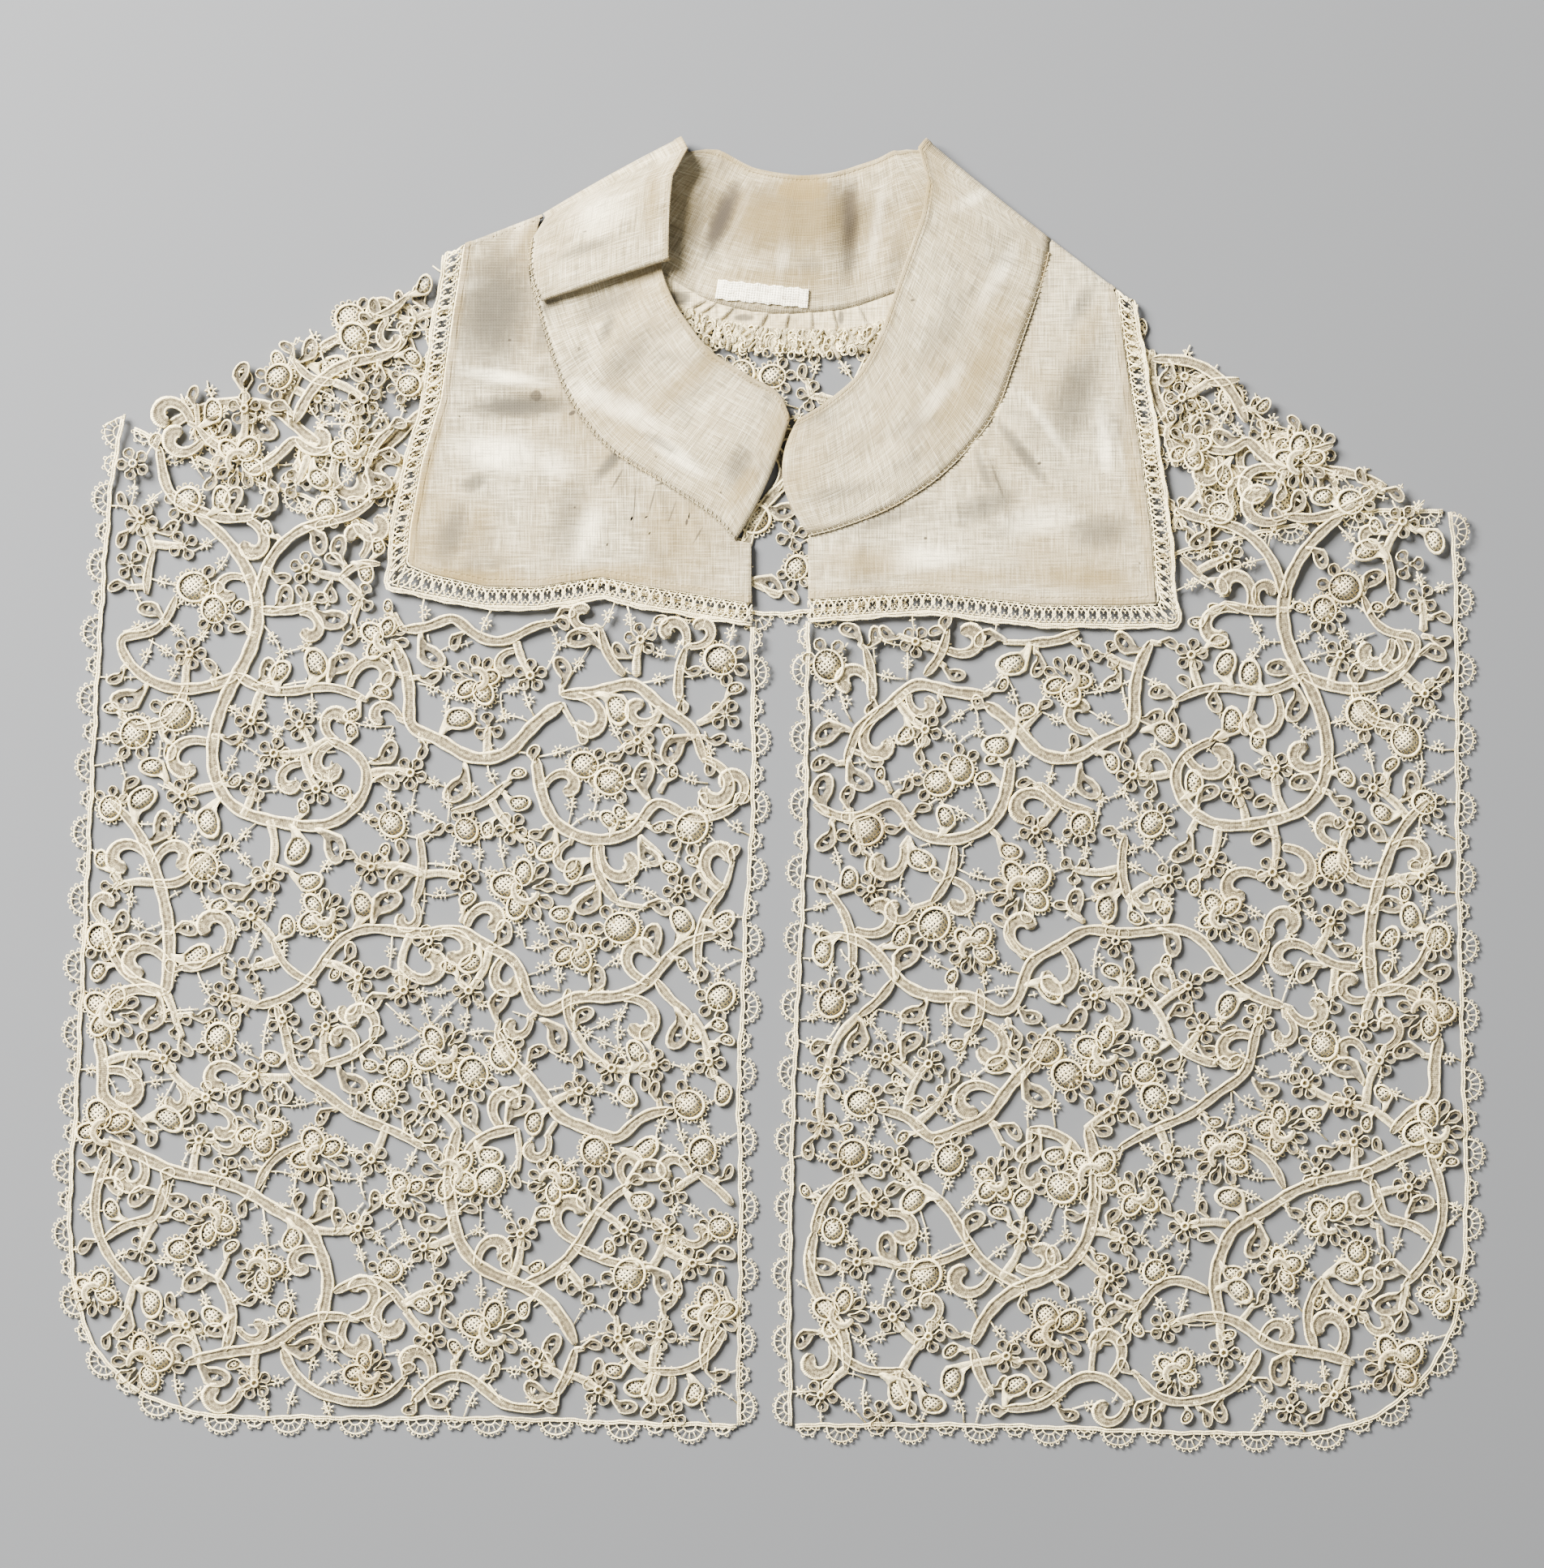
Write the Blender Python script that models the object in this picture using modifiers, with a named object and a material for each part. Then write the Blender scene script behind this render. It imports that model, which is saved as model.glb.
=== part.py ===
"""Lace collar laid flat: two lace fronts and a short lace back, linen yokes, insertion, back strip, neckband and tape.

The plan tables are in millimetres, X to the right and Y towards the top of the neck, as the collar lies front side up.
MM turns them into metres where a mesh is made. Z is height above the surface that the collar lies on.
Each cloth is an open surface, its underside or its middle, which Solidify turns into a wall.
"""

import math

import bpy
import numpy as np
from mathutils import Vector
from mathutils.geometry import delaunay_2d_cdt

MM = 0.001

# Middle of the whole collar in the plan tables, which becomes the origin
CENTRE = np.array([-0.449, -0.744, 0.0])

# Walls and gaps
CLOTH = 1.0
RAISED = 2.3
STEM_RAISED = 1.8
RIDGE_FROM = 3.9
RIDGE_STEP = 10.0
SEAM_GAP = 0.3
LAYER_HEIGHT = CLOTH + SEAM_GAP
FOLD_HEIGHT = 2.0
FOLD_INNER_RADIUS = 0.5
FOLD_RISE = 10.0
FOLD_TURNS = 4

# Scalloped edging: a large and a small scallop to each pitch, as (share of pitch, share of depth)
SCALLOP_PITCH = 21.0
SCALLOP_DEPTH = 5.3
SLIT_SCALLOP_DEPTH = 5.0
SCALLOP_STEPS = ((0.02, 0.0), (0.11, 0.8), (0.25, 1.0), (0.39, 0.8), (0.48, 0.0), (0.75, 0.44))

# The front lace comes down to the surface over this distance past the edge of the back
DRAPE_START = 12.0
DRAPE_END = 26.0

# Cord lines of the lace edges, from the shoulder down round the hem, then up the front slit: x, y
SIDE_EDGE = {
    "left": [
        (-198.6, 116.0), (-202.0, 100.0), (-204.0, 82.0), (-206.0, 54.0), (-207.5, 29.0), (-210.5, -31.0),
        (-213.5, -93.0), (-215.6, -134.0), (-214.5, -150.0), (-209.5, -168.0), (-201.0, -179.5), (-186.5, -188.5),
        (-172.0, -192.0), (-144.0, -192.7), (-79.0, -193.2), (-24.0, -195.0), (-9.6, -195.2),
    ],
    "right": [
        (209.2, 86.0), (210.8, 74.0), (211.4, 60.0), (211.8, 27.0), (212.2, -25.0), (213.6, -80.0),
        (214.6, -130.0), (213.6, -148.0), (208.0, -170.5), (200.0, -182.0), (187.0, -192.0),
        (173.0, -196.8), (147.5, -197.6), (73.0, -195.4), (40.0, -195.0), (6.6, -195.4),
    ],
}
SLIT_EDGE = {
    "left": [(-9.6, -195.2), (-9.5, -170.0), (-8.9, -121.0), (-9.6, -91.0), (-8.4, -66.0), (-7.4, -38.0), (-5.6, -14.0), (-5.4, 51.7)],
    "right": [(6.6, -195.4), (6.0, -170.0), (6.7, -121.0), (7.4, -93.0), (8.6, -66.0), (10.0, -38.0), (10.9, -14.0), (11.9, 52.7)],
}
BACK_EDGE = [
    (-197.5, 112.6), (-160.0, 96.5), (-131.0, 86.0), (-112.0, 76.0), (-60.0, 66.5), (-4.0, 55.0),
    (4.0, 55.0), (60.0, 64.5), (122.0, 73.0), (152.0, 80.0), (181.0, 86.0), (207.5, 86.6),
]

# Shoulder folds, from the outer corner to the neck seam: x, y
SHOULDER_FOLD = {
    "left": {"lace": ((-199.0, 116.4), (-99.9, 166.4)), "yoke": ((-94.0, 168.9), (-69.9, 178.2))},
    "right": {"lace": ((209.6, 88.0), (112.7, 151.4)), "yoke": ((106.5, 155.3), (86.9, 170.3))},
}

# Insertion between yoke and lace, from the shoulder to the slit: x, y of its inner and of its outer edge
INSERTION = {
    "left": [
        (-93.7, 168.6, -99.6, 166.2), (-97.3, 146.3, -103.6, 145.2), (-100.8, 121.3, -107.0, 120.0),
        (-106.8, 101.0, -112.8, 99.3), (-110.4, 81.0, -116.6, 80.3), (-111.2, 70.0, -117.5, 63.0),
        (-104.0, 67.0, -106.0, 60.5), (-87.3, 63.2, -87.6, 57.0), (-72.0, 63.0, -72.0, 56.7), (-52.0, 66.2, -51.6, 60.0),
        (-37.0, 63.2, -37.5, 57.0), (-7.8, 58.4, -8.5, 52.2), (-5.4, 58.0, -5.4, 51.8),
    ],
    "right": [
        (106.5, 155.0, 112.4, 151.2), (109.8, 131.3, 116.0, 130.6), (113.8, 106.0, 120.0, 105.3),
        (117.3, 81.0, 123.5, 80.5), (119.0, 58.0, 125.5, 51.4), (108.0, 57.4, 109.0, 51.2), (83.3, 57.7, 83.0, 51.5),
        (58.0, 60.6, 57.5, 54.4), (48.0, 61.6, 48.0, 55.4), (11.9, 59.3, 11.9, 53.0),
    ],
}

# Neck seam of the yokes, from the shoulder to the slit, and the short slit edge below it: x, y
NECK_SEAM = {
    "left": [(-69.9, 178.2), (-73.5, 168.3), (-74.0, 156.3), (-71.0, 146.3), (-64.0, 127.3), (-58.0, 116.0), (-48.0, 105.0), (-32.0, 95.0), (-15.8, 84.0), (-10.6, 77.6)],
    "right": [(86.9, 170.3), (84.3, 159.3), (78.3, 141.3), (70.0, 118.0), (63.0, 108.0), (52.0, 97.0), (38.0, 88.0), (23.0, 82.0), (12.3, 79.0)],
}
YOKE_SLIT_TOP = {"left": (-5.6, 76.4), "right": (11.9, 77.4)}

# Soft folds of the yokes: x, y of both ends, height, half width
YOKE_FOLDS = [
    (-97.0, 133.0, -63.0, 121.0, 1.8, 4.5),
    (70.0, 118.0, 93.0, 93.0, 1.6, 3.5),
    (63.0, 108.0, 73.0, 84.0, 1.4, 3.0),
    (84.0, 160.0, 108.0, 128.0, 1.2, 5.0),
]

# Neckband, a row for each section from the left front end round the back to the right front end:
# x, y at the seam, middle and free edge, then the height of the cloth's middle at the three
BAND_FRONT_LEFT = [
    (-10.3, 77.6, -1.2, 94.0, 6.4, 115.0, 2.2, 3.0, 3.2),
    (-15.8, 84.0, -5.2, 104.0, 3.2, 122.0, 2.2, 3.4, 3.6),
    (-32.0, 95.0, -19.3, 112.0, -6.8, 128.2, 2.2, 3.7, 4.3),
    (-48.0, 105.0, -32.8, 121.0, -18.8, 136.2, 2.2, 3.9, 4.7),
    (-58.0, 116.0, -42.3, 131.0, -25.8, 145.2, 2.2, 4.0, 5.0),
    (-64.0, 127.3, -47.3, 139.0, -29.0, 150.2, 2.2, 3.8, 5.0),
    (-68.0, 139.0, -50.4, 146.8, -32.0, 156.8, 2.1, 3.2, 4.0),
    (-71.0, 149.6, -52.2, 154.8, -33.6, 163.0, 2.0, 2.6, 2.8),
]
# The left side of the band is laid back over itself: the hidden turn, the edge that shows, and the shoulder fold
BAND_HIDDEN_TURN = (-73.2, 157.2, -54.2, 161.8, -35.4, 169.6, 2.0, 2.5, 2.7)
BAND_CREASE = (-70.4, 151.6, -51.0, 158.2, -31.0, 164.8, 3.4, 4.7, 5.1)
BAND_TOP_LEFT = [
    (-72.6, 157.6, -50.0, 166.5, -30.8, 172.0, 4.7, 7.0, 8.2),
    (-73.4, 163.6, -50.4, 172.6, -30.5, 179.0, 4.4, 7.0, 8.8),
    (-72.6, 170.6, -50.4, 181.0, -29.6, 188.6, 4.0, 6.8, 9.4),
]
BAND_FOLD_LEFT = (-69.9, 178.2, -48.2, 190.6, -27.2, 201.4, 3.5, 6.0, 9.2)
BAND_BACK = [
    (-58.0, 172.4, -39.4, 183.6, -20.6, 197.8, 0.5, 0.6, 1.2),
    (-46.0, 166.4, -30.6, 182.0, -17.4, 197.8, 0.5, 0.6, 0.8),
    (-33.0, 159.4, -22.5, 178.0, -14.0, 197.0, 0.5, 0.6, 0.8),
    (-26.0, 155.4, -16.5, 175.5, -6.8, 193.0, 0.5, 0.7, 1.0),
    (-17.8, 151.0, -9.0, 171.5, -1.0, 191.2, 0.5, 1.8, 1.8),
    (-6.5, 148.2, -1.0, 169.0, 4.2, 190.3, 0.5, 2.4, 2.0),
    (1.8, 147.2, 5.0, 168.5, 8.4, 189.8, 0.5, 2.6, 2.0),
    (13.0, 147.7, 13.4, 168.5, 14.0, 189.9, 0.5, 3.2, 2.4),
    (19.0, 148.1, 18.6, 169.0, 18.6, 190.4, 0.5, 3.3, 2.4),
    (25.4, 149.2, 23.8, 169.8, 22.6, 191.4, 0.5, 1.1, 1.4),
    (31.5, 151.2, 29.6, 171.6, 27.4, 193.0, 0.5, 0.7, 0.9),
    (38.0, 153.5, 35.0, 174.0, 32.8, 194.8, 0.5, 1.3, 1.2),
    (49.0, 157.6, 43.0, 178.0, 38.0, 197.4, 0.5, 1.4, 1.2),
    (60.0, 161.2, 49.6, 179.8, 39.6, 197.4, 0.5, 0.8, 1.0),
    (73.0, 165.4, 57.0, 182.0, 42.2, 197.8, 0.5, 0.6, 0.8),
]
BAND_FOLD_RIGHT = (86.9, 170.3, 66.2, 186.4, 48.2, 201.0, 2.9, 5.2, 8.0)
BAND_FRONT_RIGHT = [
    (85.8, 166.0, 65.8, 176.0, 48.4, 187.4, 2.6, 5.8, 7.8),
    (84.3, 159.3, 64.0, 168.8, 47.4, 180.0, 2.3, 4.6, 6.6),
    (78.3, 141.3, 60.8, 154.6, 44.0, 169.2, 2.2, 4.0, 5.6),
    (74.2, 129.6, 57.6, 144.0, 40.8, 160.2, 2.2, 3.9, 5.2),
    (70.0, 118.0, 53.8, 134.6, 38.0, 152.2, 2.2, 4.0, 5.0),
    (63.0, 108.0, 49.2, 125.6, 35.2, 144.0, 2.2, 4.0, 4.8),
    (52.0, 97.0, 42.2, 116.0, 31.8, 136.4, 2.2, 4.0, 4.6),
    (38.0, 88.0, 32.6, 107.8, 27.0, 128.2, 2.2, 3.8, 4.4),
    (23.0, 82.0, 20.2, 100.4, 17.8, 120.2, 2.2, 3.6, 3.8),
    (12.2, 79.0, 4.0, 96.6, 8.6, 114.4, 2.2, 3.2, 3.3),
]
BAND_CELLS = 6
BAND_SECTION_STEP = 9.0
BAND_TURN_CELLS = 4

# Back strip under the band's seam: x, y of its upper and of its lower edge, left to right
BACK_STRIP = [
    (-69.1, 175.2, -91.6, 166.2), (-50.0, 167.8, -60.0, 157.8), (-33.0, 159.0, -36.0, 151.4), (-26.0, 155.0, -28.3, 149.2),
    (-17.8, 150.6, -19.4, 145.9), (-6.5, 147.8, -7.0, 143.2), (3.0, 146.8, 3.2, 142.0), (13.0, 147.3, 13.6, 141.8),
    (25.4, 148.8, 26.6, 142.4), (38.0, 153.1, 41.0, 145.9), (61.0, 161.2, 68.0, 149.4), (84.6, 168.2, 104.2, 153.4),
]
# Pleats of the strip: x of each fold line at its lower edge. The outer ones are hidden and lie flat
PLEAT_LINES = (-84.0, -72.0, -58.0, -44.0, -34.5, -25.5, -22.2, -15.8, -3.2, 4.6, 13.0, 20.8, 30.3, 42.0, 55.0, 70.0, 86.0)
PLEAT_HEIGHT = 0.6
SHOWN_FROM, SHOWN_TO = -31.0, 38.0

# Gathered heading of the back lace
GATHER_WAVES = 24
GATHER_DEPTH = 7.0
GATHER_HEIGHT = 1.3

# Tape on the inside of the band: x, y of its four corners, and its side count
TAPE_CORNERS = ((-15.8, 157.6), (12.2, 154.6), (11.8, 148.9), (-16.8, 151.8))
TAPE_CELLS = 8

# Lace layout
PLAN_CELL = 1.0
PLAN_MARGIN = 1.6
STEM_STEP = 2.0
LEAF_SPACING = 12.5
LEAF_LENGTHS = (10.0, 8.0, 11.5, 9.0, 12.5)
LEAF_GAP = 1.0
LEAF_WIDTH_SHARE = 0.56
FILL_CLEARANCE = 7.0
FILL_RADIUS = 4.6
STALK_WIDTH = 2.4
GAP_REACH = 5.6
GAP_LEAST = 2.1
GAP_CORNERS = 6
GAP_SPREAD = (13.0, 10.0, 4.0)
BRIDE_WALL = 1.3
GAP_CUTS = {"left": 112, "right": 112, "back": 52}
INSERTION_STEP = 7.5
YOKE_STEP = 7.0
INSERTION_INSET = 0.06

# Stems of a lace front, drawn for the left one: x, y of both ends, bulge as a share of the length, width at both ends
STEMS = [
    (-188, 106, -187, 93, 0.05, 3.4, 4.2), (-187, 93, -178, 88, -0.2, 4.0, 4.0), (-178, 88, -158, 85, -0.15, 4.2, 3.6),
    (-176, 85, -157, 56, 0.12, 4.2, 5.0), (-157, 56, -164, 36, 0.08, 5.2, 5.4), (-164, 36, -172, 15, -0.06, 5.2, 4.8),
    (-172, 14, -150, -9, -0.28, 4.8, 4.8), (-150, -9, -129, -7, -0.16, 4.6, 4.4), (-129, -7, -136, 16, -0.42, 4.6, 3.6),
    (-164, 36, -192, 34, 0.14, 4.6, 4.4), (-192, 34, -202, 50, 0.12, 4.2, 3.6), (-180, 32, -195, 20, 0.3, 4.2, 3.4),
    (-202, 50, -183, 60, -0.35, 3.8, 3.2), (-192, 61, -190, 74, 0.1, 3.4, 3.0), (-164, 36, -140, 33, -0.18, 4.2, 3.6),
    (-140, 33, -124, 28, 0.1, 3.6, 3.0), (-157, 56, -140, 58, -0.12, 4.0, 3.4), (-186, -62, -191, -20, -0.08, 5.2, 4.4),
    (-191, -20, -203, -3, -0.1, 4.2, 3.2), (-190, -28, -176, -22, -0.3, 4.0, 3.4), (-186, -62, -205, -42, 0.2, 4.4, 3.2),
    (-186, -62, -208, -72, -0.28, 4.6, 4.0), (-182, -54, -168, -50, -0.2, 4.0, 3.4), (-158, -66, -136, -49, -0.16, 4.0, 3.6),
    (-136, -49, -118, -42, 0.18, 4.0, 3.8), (-118, -42, -95, -40, -0.14, 4.2, 4.0), (-95, -40, -76, -51, -0.14, 4.2, 4.4),
    (-76, -51, -71, -70, -0.12, 4.6, 4.4), (-108, -14, -109, -33, 0.12, 3.4, 3.8), (-140, -59, -153, -46, 0.2, 3.4, 3.0),
    (-116, 46, -113, 18, 0.14, 4.6, 4.8), (-113, 18, -94, 9, 0.18, 4.8, 5.0), (-94, 9, -80, 10, 0.04, 5.0, 5.0),
    (-80, 10, -64, 27, 0.1, 5.2, 5.0), (-64, 30, -41, 36, -0.1, 4.6, 4.6), (-41, 36, -22, 21, -0.14, 4.8, 4.2),
    (-22, 21, -20, 9, -0.1, 4.2, 3.4), (-113, 50, -97, 57, -0.2, 4.0, 4.0), (-97, 57, -78, 46, -0.25, 4.2, 4.0),
    (-78, 46, -66, 52, 0.25, 3.8, 3.0), (-28, 28, -26, 44, 0.1, 4.0, 3.6), (-45, 36, -52, 50, 0.15, 4.0, 3.4),
    (-72, 10, -66, -12, -0.06, 4.8, 4.8), (-66, -12, -54, -17, 0.12, 4.6, 4.6), (-54, -17, -40, -14, 0.12, 4.6, 4.4),
    (-40, -14, -34, 0, 0.12, 4.4, 4.0), (-34, 0, -10, -4, -0.3, 4.0, 3.6), (-54, -17, -47, -34, -0.16, 4.2, 3.6),
    (-82, 2, -98, -6, 0.16, 3.8, 3.2), (-71, -70, -62, -61, -0.2, 4.6, 4.6), (-62, -61, -35, -58, -0.16, 4.6, 4.6),
    (-35, -58, -16, -44, 0.2, 4.4, 3.4), (-35, -58, -24, -69, -0.12, 4.0, 3.4), (-62, -61, -60, -74, -0.2, 4.0, 3.4),
    (-207, -76, -208, -96, 0.14, 4.8, 4.8), (-208, -96, -192, -105, 0.2, 4.6, 4.0), (-205, -108, -184, -118, 0.06, 4.8, 4.8),
    (-184, -118, -158, -124, 0.06, 4.8, 4.6), (-158, -124, -140, -133, -0.12, 4.6, 5.0), (-140, -133, -134, -150, -0.1, 5.0, 4.8),
    (-134, -150, -138, -163, -0.08, 4.8, 4.4), (-134, -154, -112, -160, 0.35, 4.2, 3.4), (-186, -120, -188, -134, -0.1, 4.4, 4.0),
    (-188, -134, -205, -138, -0.25, 4.0, 3.4), (-158, -122, -142, -108, 0.2, 3.8, 3.2), (-152, -66, -148, -88, 0.08, 3.6, 4.0),
    (-148, -88, -130, -100, 0.12, 4.0, 4.0), (-130, -100, -106, -110, 0.06, 4.0, 3.2), (-137, -84, -122, -76, -0.14, 3.8, 3.2),
    (-84, -74, -76, -86, -0.15, 4.2, 4.6), (-76, -86, -66, -102, 0.1, 4.8, 4.8), (-66, -102, -46, -110, 0.12, 4.8, 4.6),
    (-46, -110, -30, -98, 0.25, 4.6, 3.8), (-96, -104, -98, -128, -0.08, 4.8, 5.0), (-98, -128, -78, -151, -0.22, 4.8, 5.0),
    (-78, -151, -60, -170, 0.14, 5.0, 4.8), (-60, -172, -66, -186, 0.1, 4.4, 3.8), (-94, -112, -78, -104, 0.2, 4.2, 4.2),
    (-76, -152, -56, -134, -0.14, 4.4, 4.0), (-56, -134, -43, -121, 0.1, 4.0, 3.4), (-60, -140, -36, -146, -0.1, 3.8, 3.2),
    (-10, -136, -22, -118, -0.18, 4.2, 3.2), (-10, -136, -12, -158, 0.14, 4.6, 4.6), (-12, -158, -20, -178, -0.2, 4.4, 3.8),
    (-14, -166, -38, -178, 0.25, 4.0, 3.0), (-180, -176, -152, -172, 0.06, 4.0, 4.6), (-152, -172, -130, -162, 0.22, 4.6, 4.0),
    (-168, -172, -170, -150, -0.2, 4.2, 3.4), (-150, -172, -132, -187, -0.2, 4.4, 3.8), (-132, -187, -112, -180, -0.25, 3.8, 3.2),
    (-110, -188, -84, -190, 0.42, 4.2, 4.0), (-84, -190, -70, -190, 0.0, 4.0, 3.4), (-22, -54, -14, -30, 0.15, 3.8, 3.2),
    (-204, -112, -196, -152, -0.2, 4.0, 3.6), (-160, 98, -146, 112, -0.16, 4.4, 4.0), (-146, 112, -133, 106, -0.45, 4.2, 3.4),
    (-146, 114, -124, 134, 0.16, 4.4, 4.0), (-124, 134, -112, 140, -0.3, 4.0, 3.4), (-134, 126, -146, 132, 0.3, 3.8, 3.0),
    (-158, 60, -138, 84, 0.16, 4.2, 4.0), (-138, 84, -122, 90, -0.2, 4.0, 3.2), (-164, 104, -176, 112, 0.2, 3.6, 3.0),
    (-132, 66, -120, 70, 0.3, 3.6, 3.0), (-116, 112, -124, 100, -0.2, 3.6, 3.2), (-112, 152, -122, 146, 0.2, 3.4, 3.0),
]
# Flowers of a lace front, drawn for the left one: x, y, radius
FLOWERS = [
    (-180, 89, 5.5), (-163, 102, 8.0), (-196, 101, 4.5), (-197, 70, 4.2), (-176, 63, 6.5), (-171, 55, 5.5), (-196, 17, 6.5),
    (-184, 23, 6.8), (-174, -24, 6.5), (-203, -4, 5.0), (-137, 86, 5.0), (-119, 47, 7.2), (-90, 34, 7.5), (-117, -9, 5.5),
    (-94, -11, 5.0), (-76, -30, 9.5), (-138, -38, 7.5), (-56, 8, 5.8), (-48, 3, 6.0), (-47, -42, 6.8), (-18, 52, 6.0),
    (-14, 40, 6.5), (-25, -12, 6.8), (-206, -46, 5.5), (-203, -68, 8.5), (-205, -104, 9.0), (-157, -104, 8.0), (-170, -77, 6.0),
    (-150, -70, 4.6), (-101, -80, 8.5), (-91, -88, 6.5), (-82, -80, 6.0), (-139, -112, 8.5), (-115, -86, 5.0),
    (-118, -95, 5.8), (-172, -132, 7.5), (-168, -117, 4.5), (-157, -147, 7.0), (-112, -124, 7.0), (-87, -121, 6.5),
    (-98, -118, 8.5), (-67, -120, 7.0), (-53, -112, 6.2), (-44, -150, 6.8), (-21, -112, 6.0), (-18, -161, 8.2),
    (-193, -176, 9.0), (-86, -166, 9.2), (-124, -179, 7.0), (-208, -154, 7.0), (-181, -141, 5.0), (-28, -30, 4.5),
    (-105, -46, 4.5), (-60, -48, 7.5), (-30, -192, 4.0), (-160, -190, 4.5), (-118, -147, 5.0), (-16, -64, 6.0),
    (-26, -96, 6.2), (-16, -134, 5.0), (-128, 106, 7.0), (-127, 139, 6.0), (-152, 127, 5.5), (-112, 125, 5.0),
]
# Stems and flowers of the back lace, which shows through the fronts and inside the neck
BACK_STEMS = [
    (-186, 112, -150, 118, 0.14, 4.2, 4.4), (-150, 118, -118, 104, -0.18, 4.4, 4.2), (-118, 104, -84, 120, 0.2, 4.2, 4.4),
    (-150, 118, -128, 142, 0.15, 4.2, 3.6), (-84, 120, -52, 96, -0.16, 4.4, 4.4), (-52, 96, -24, 118, 0.25, 4.4, 4.0),
    (-24, 118, -10, 100, -0.3, 4.0, 3.4), (-84, 120, -76, 146, -0.14, 4.0, 3.4), (-118, 104, -100, 82, 0.2, 4.0, 3.2),
    (-52, 96, -40, 74, -0.2, 4.0, 3.4), (-8, 66, 6, 96, 0.15, 4.2, 4.4), (6, 96, 22, 122, -0.12, 4.4, 3.8),
    (6, 96, 40, 82, -0.2, 4.4, 4.2), (40, 82, 66, 104, 0.25, 4.2, 4.4), (66, 104, 96, 96, -0.2, 4.4, 4.2),
    (66, 104, 60, 134, 0.14, 4.2, 3.6), (96, 96, 124, 112, 0.2, 4.2, 4.4), (124, 112, 156, 98, -0.15, 4.4, 4.2),
    (156, 98, 190, 94, 0.1, 4.2, 3.4), (124, 112, 118, 136, 0.12, 4.0, 3.4), (96, 96, 104, 78, -0.2, 4.0, 3.2),
    (-28, 118, -22, 132, 0.1, 3.6, 3.0), (22, 122, 30, 134, -0.2, 3.6, 3.0),
]
BACK_FLOWERS = [
    (-172, 110, 5.5), (-140, 102, 6.0), (-128, 146, 6.0), (-104, 128, 7.0), (-96, 98, 6.0), (-70, 104, 7.0), (-66, 134, 6.0),
    (-36, 108, 7.0), (-20, 134, 5.0), (-9, 130, 5.0), (2, 128, 5.2), (12, 136, 4.2), (22, 112, 6.0), (-6, 84, 6.5),
    (-14, 66, 4.5), (8, 68, 5.0), (24, 96, 6.5), (44, 118, 7.0), (52, 92, 6.0), (78, 124, 7.0), (84, 84, 6.0), (110, 90, 6.0),
    (104, 124, 6.5), (138, 96, 6.0), (142, 120, 5.5), (168, 106, 6.0), (-76, 82, 6.0), (-30, 88, 6.0), (32, 134, 4.6),
]

MIRROR_X = 2.0
MIRROR_SCALE = 0.978


def smooth_path(points, step):
    """A smooth curve through the points, in even steps: cubic pieces whose slopes come from the neighbours."""
    points = np.asarray(points, float)
    run = np.concatenate([[0.0], np.cumsum(np.linalg.norm(np.diff(points, axis=0), axis=1))])
    slope = np.gradient(points, run, axis=0) if len(points) > 2 else np.tile((points[1] - points[0]) / run[1], (2, 1))
    at = np.linspace(0.0, run[-1], max(2, int(round(run[-1] / step)) + 1))
    piece = np.clip(np.searchsorted(run, at, side="right") - 1, 0, len(points) - 2)
    span = (run[piece + 1] - run[piece])[:, None]
    t = (at - run[piece])[:, None] / span
    return (
        (2 * t**3 - 3 * t**2 + 1) * points[piece]
        + (t**3 - 2 * t**2 + t) * span * slope[piece]
        + (3 * t**2 - 2 * t**3) * points[piece + 1]
        + (t**3 - t**2) * span * slope[piece + 1]
    )


def run_of(path):
    return np.concatenate([[0.0], np.cumsum(np.linalg.norm(np.diff(path, axis=0), axis=1))])


def at_run(path, distances):
    run = run_of(path)
    return np.stack([np.interp(distances, run, path[:, axis]) for axis in range(path.shape[1])], axis=1)


def scalloped(path, depth, outward):
    """The cord line with its scallops: the steps of one pitch repeated along it, each moved out by its depth."""
    fine = smooth_path(path, 1.0)
    run = run_of(fine)
    pitches = int(round(run[-1] / SCALLOP_PITCH))
    shares = np.array([(i + step[0]) / pitches for i in range(pitches) for step in SCALLOP_STEPS])
    depths = np.array([step[1] * depth for _ in range(pitches) for step in SCALLOP_STEPS])
    tangent = np.gradient(fine, run, axis=0)
    tangent /= np.linalg.norm(tangent, axis=1)[:, None]
    normal = outward * np.stack([tangent[:, 1], -tangent[:, 0]], axis=1)
    return at_run(fine, shares * run[-1]) + at_run(np.hstack([fine, normal]), shares * run[-1])[:, 2:] * depths[:, None]


def segment_distance(points, starts, ends):
    """The distance from each point to the nearest of the segments."""
    best = np.full(len(points), np.inf)
    for a, b in zip(starts, ends):
        along = np.clip(((points - a) @ (b - a)) / max(float((b - a) @ (b - a)), 1e-12), 0.0, 1.0)
        best = np.minimum(best, np.linalg.norm(points - a - along[:, None] * (b - a), axis=1))
    return best


def inside(points, polygon):
    """True for each point inside the closed polygon, by counting crossings of a ray along X."""
    a, b = polygon, np.roll(polygon, -1, axis=0)
    crossed = np.zeros(len(points), bool)
    for (ax, ay), (bx, by) in zip(a, b):
        if ay == by:
            continue
        spans = (points[:, 1] > ay) != (points[:, 1] > by)
        crossed ^= spans & (points[:, 0] < ax + (points[:, 1] - ay) * (bx - ax) / (by - ay))
    return crossed


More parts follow.
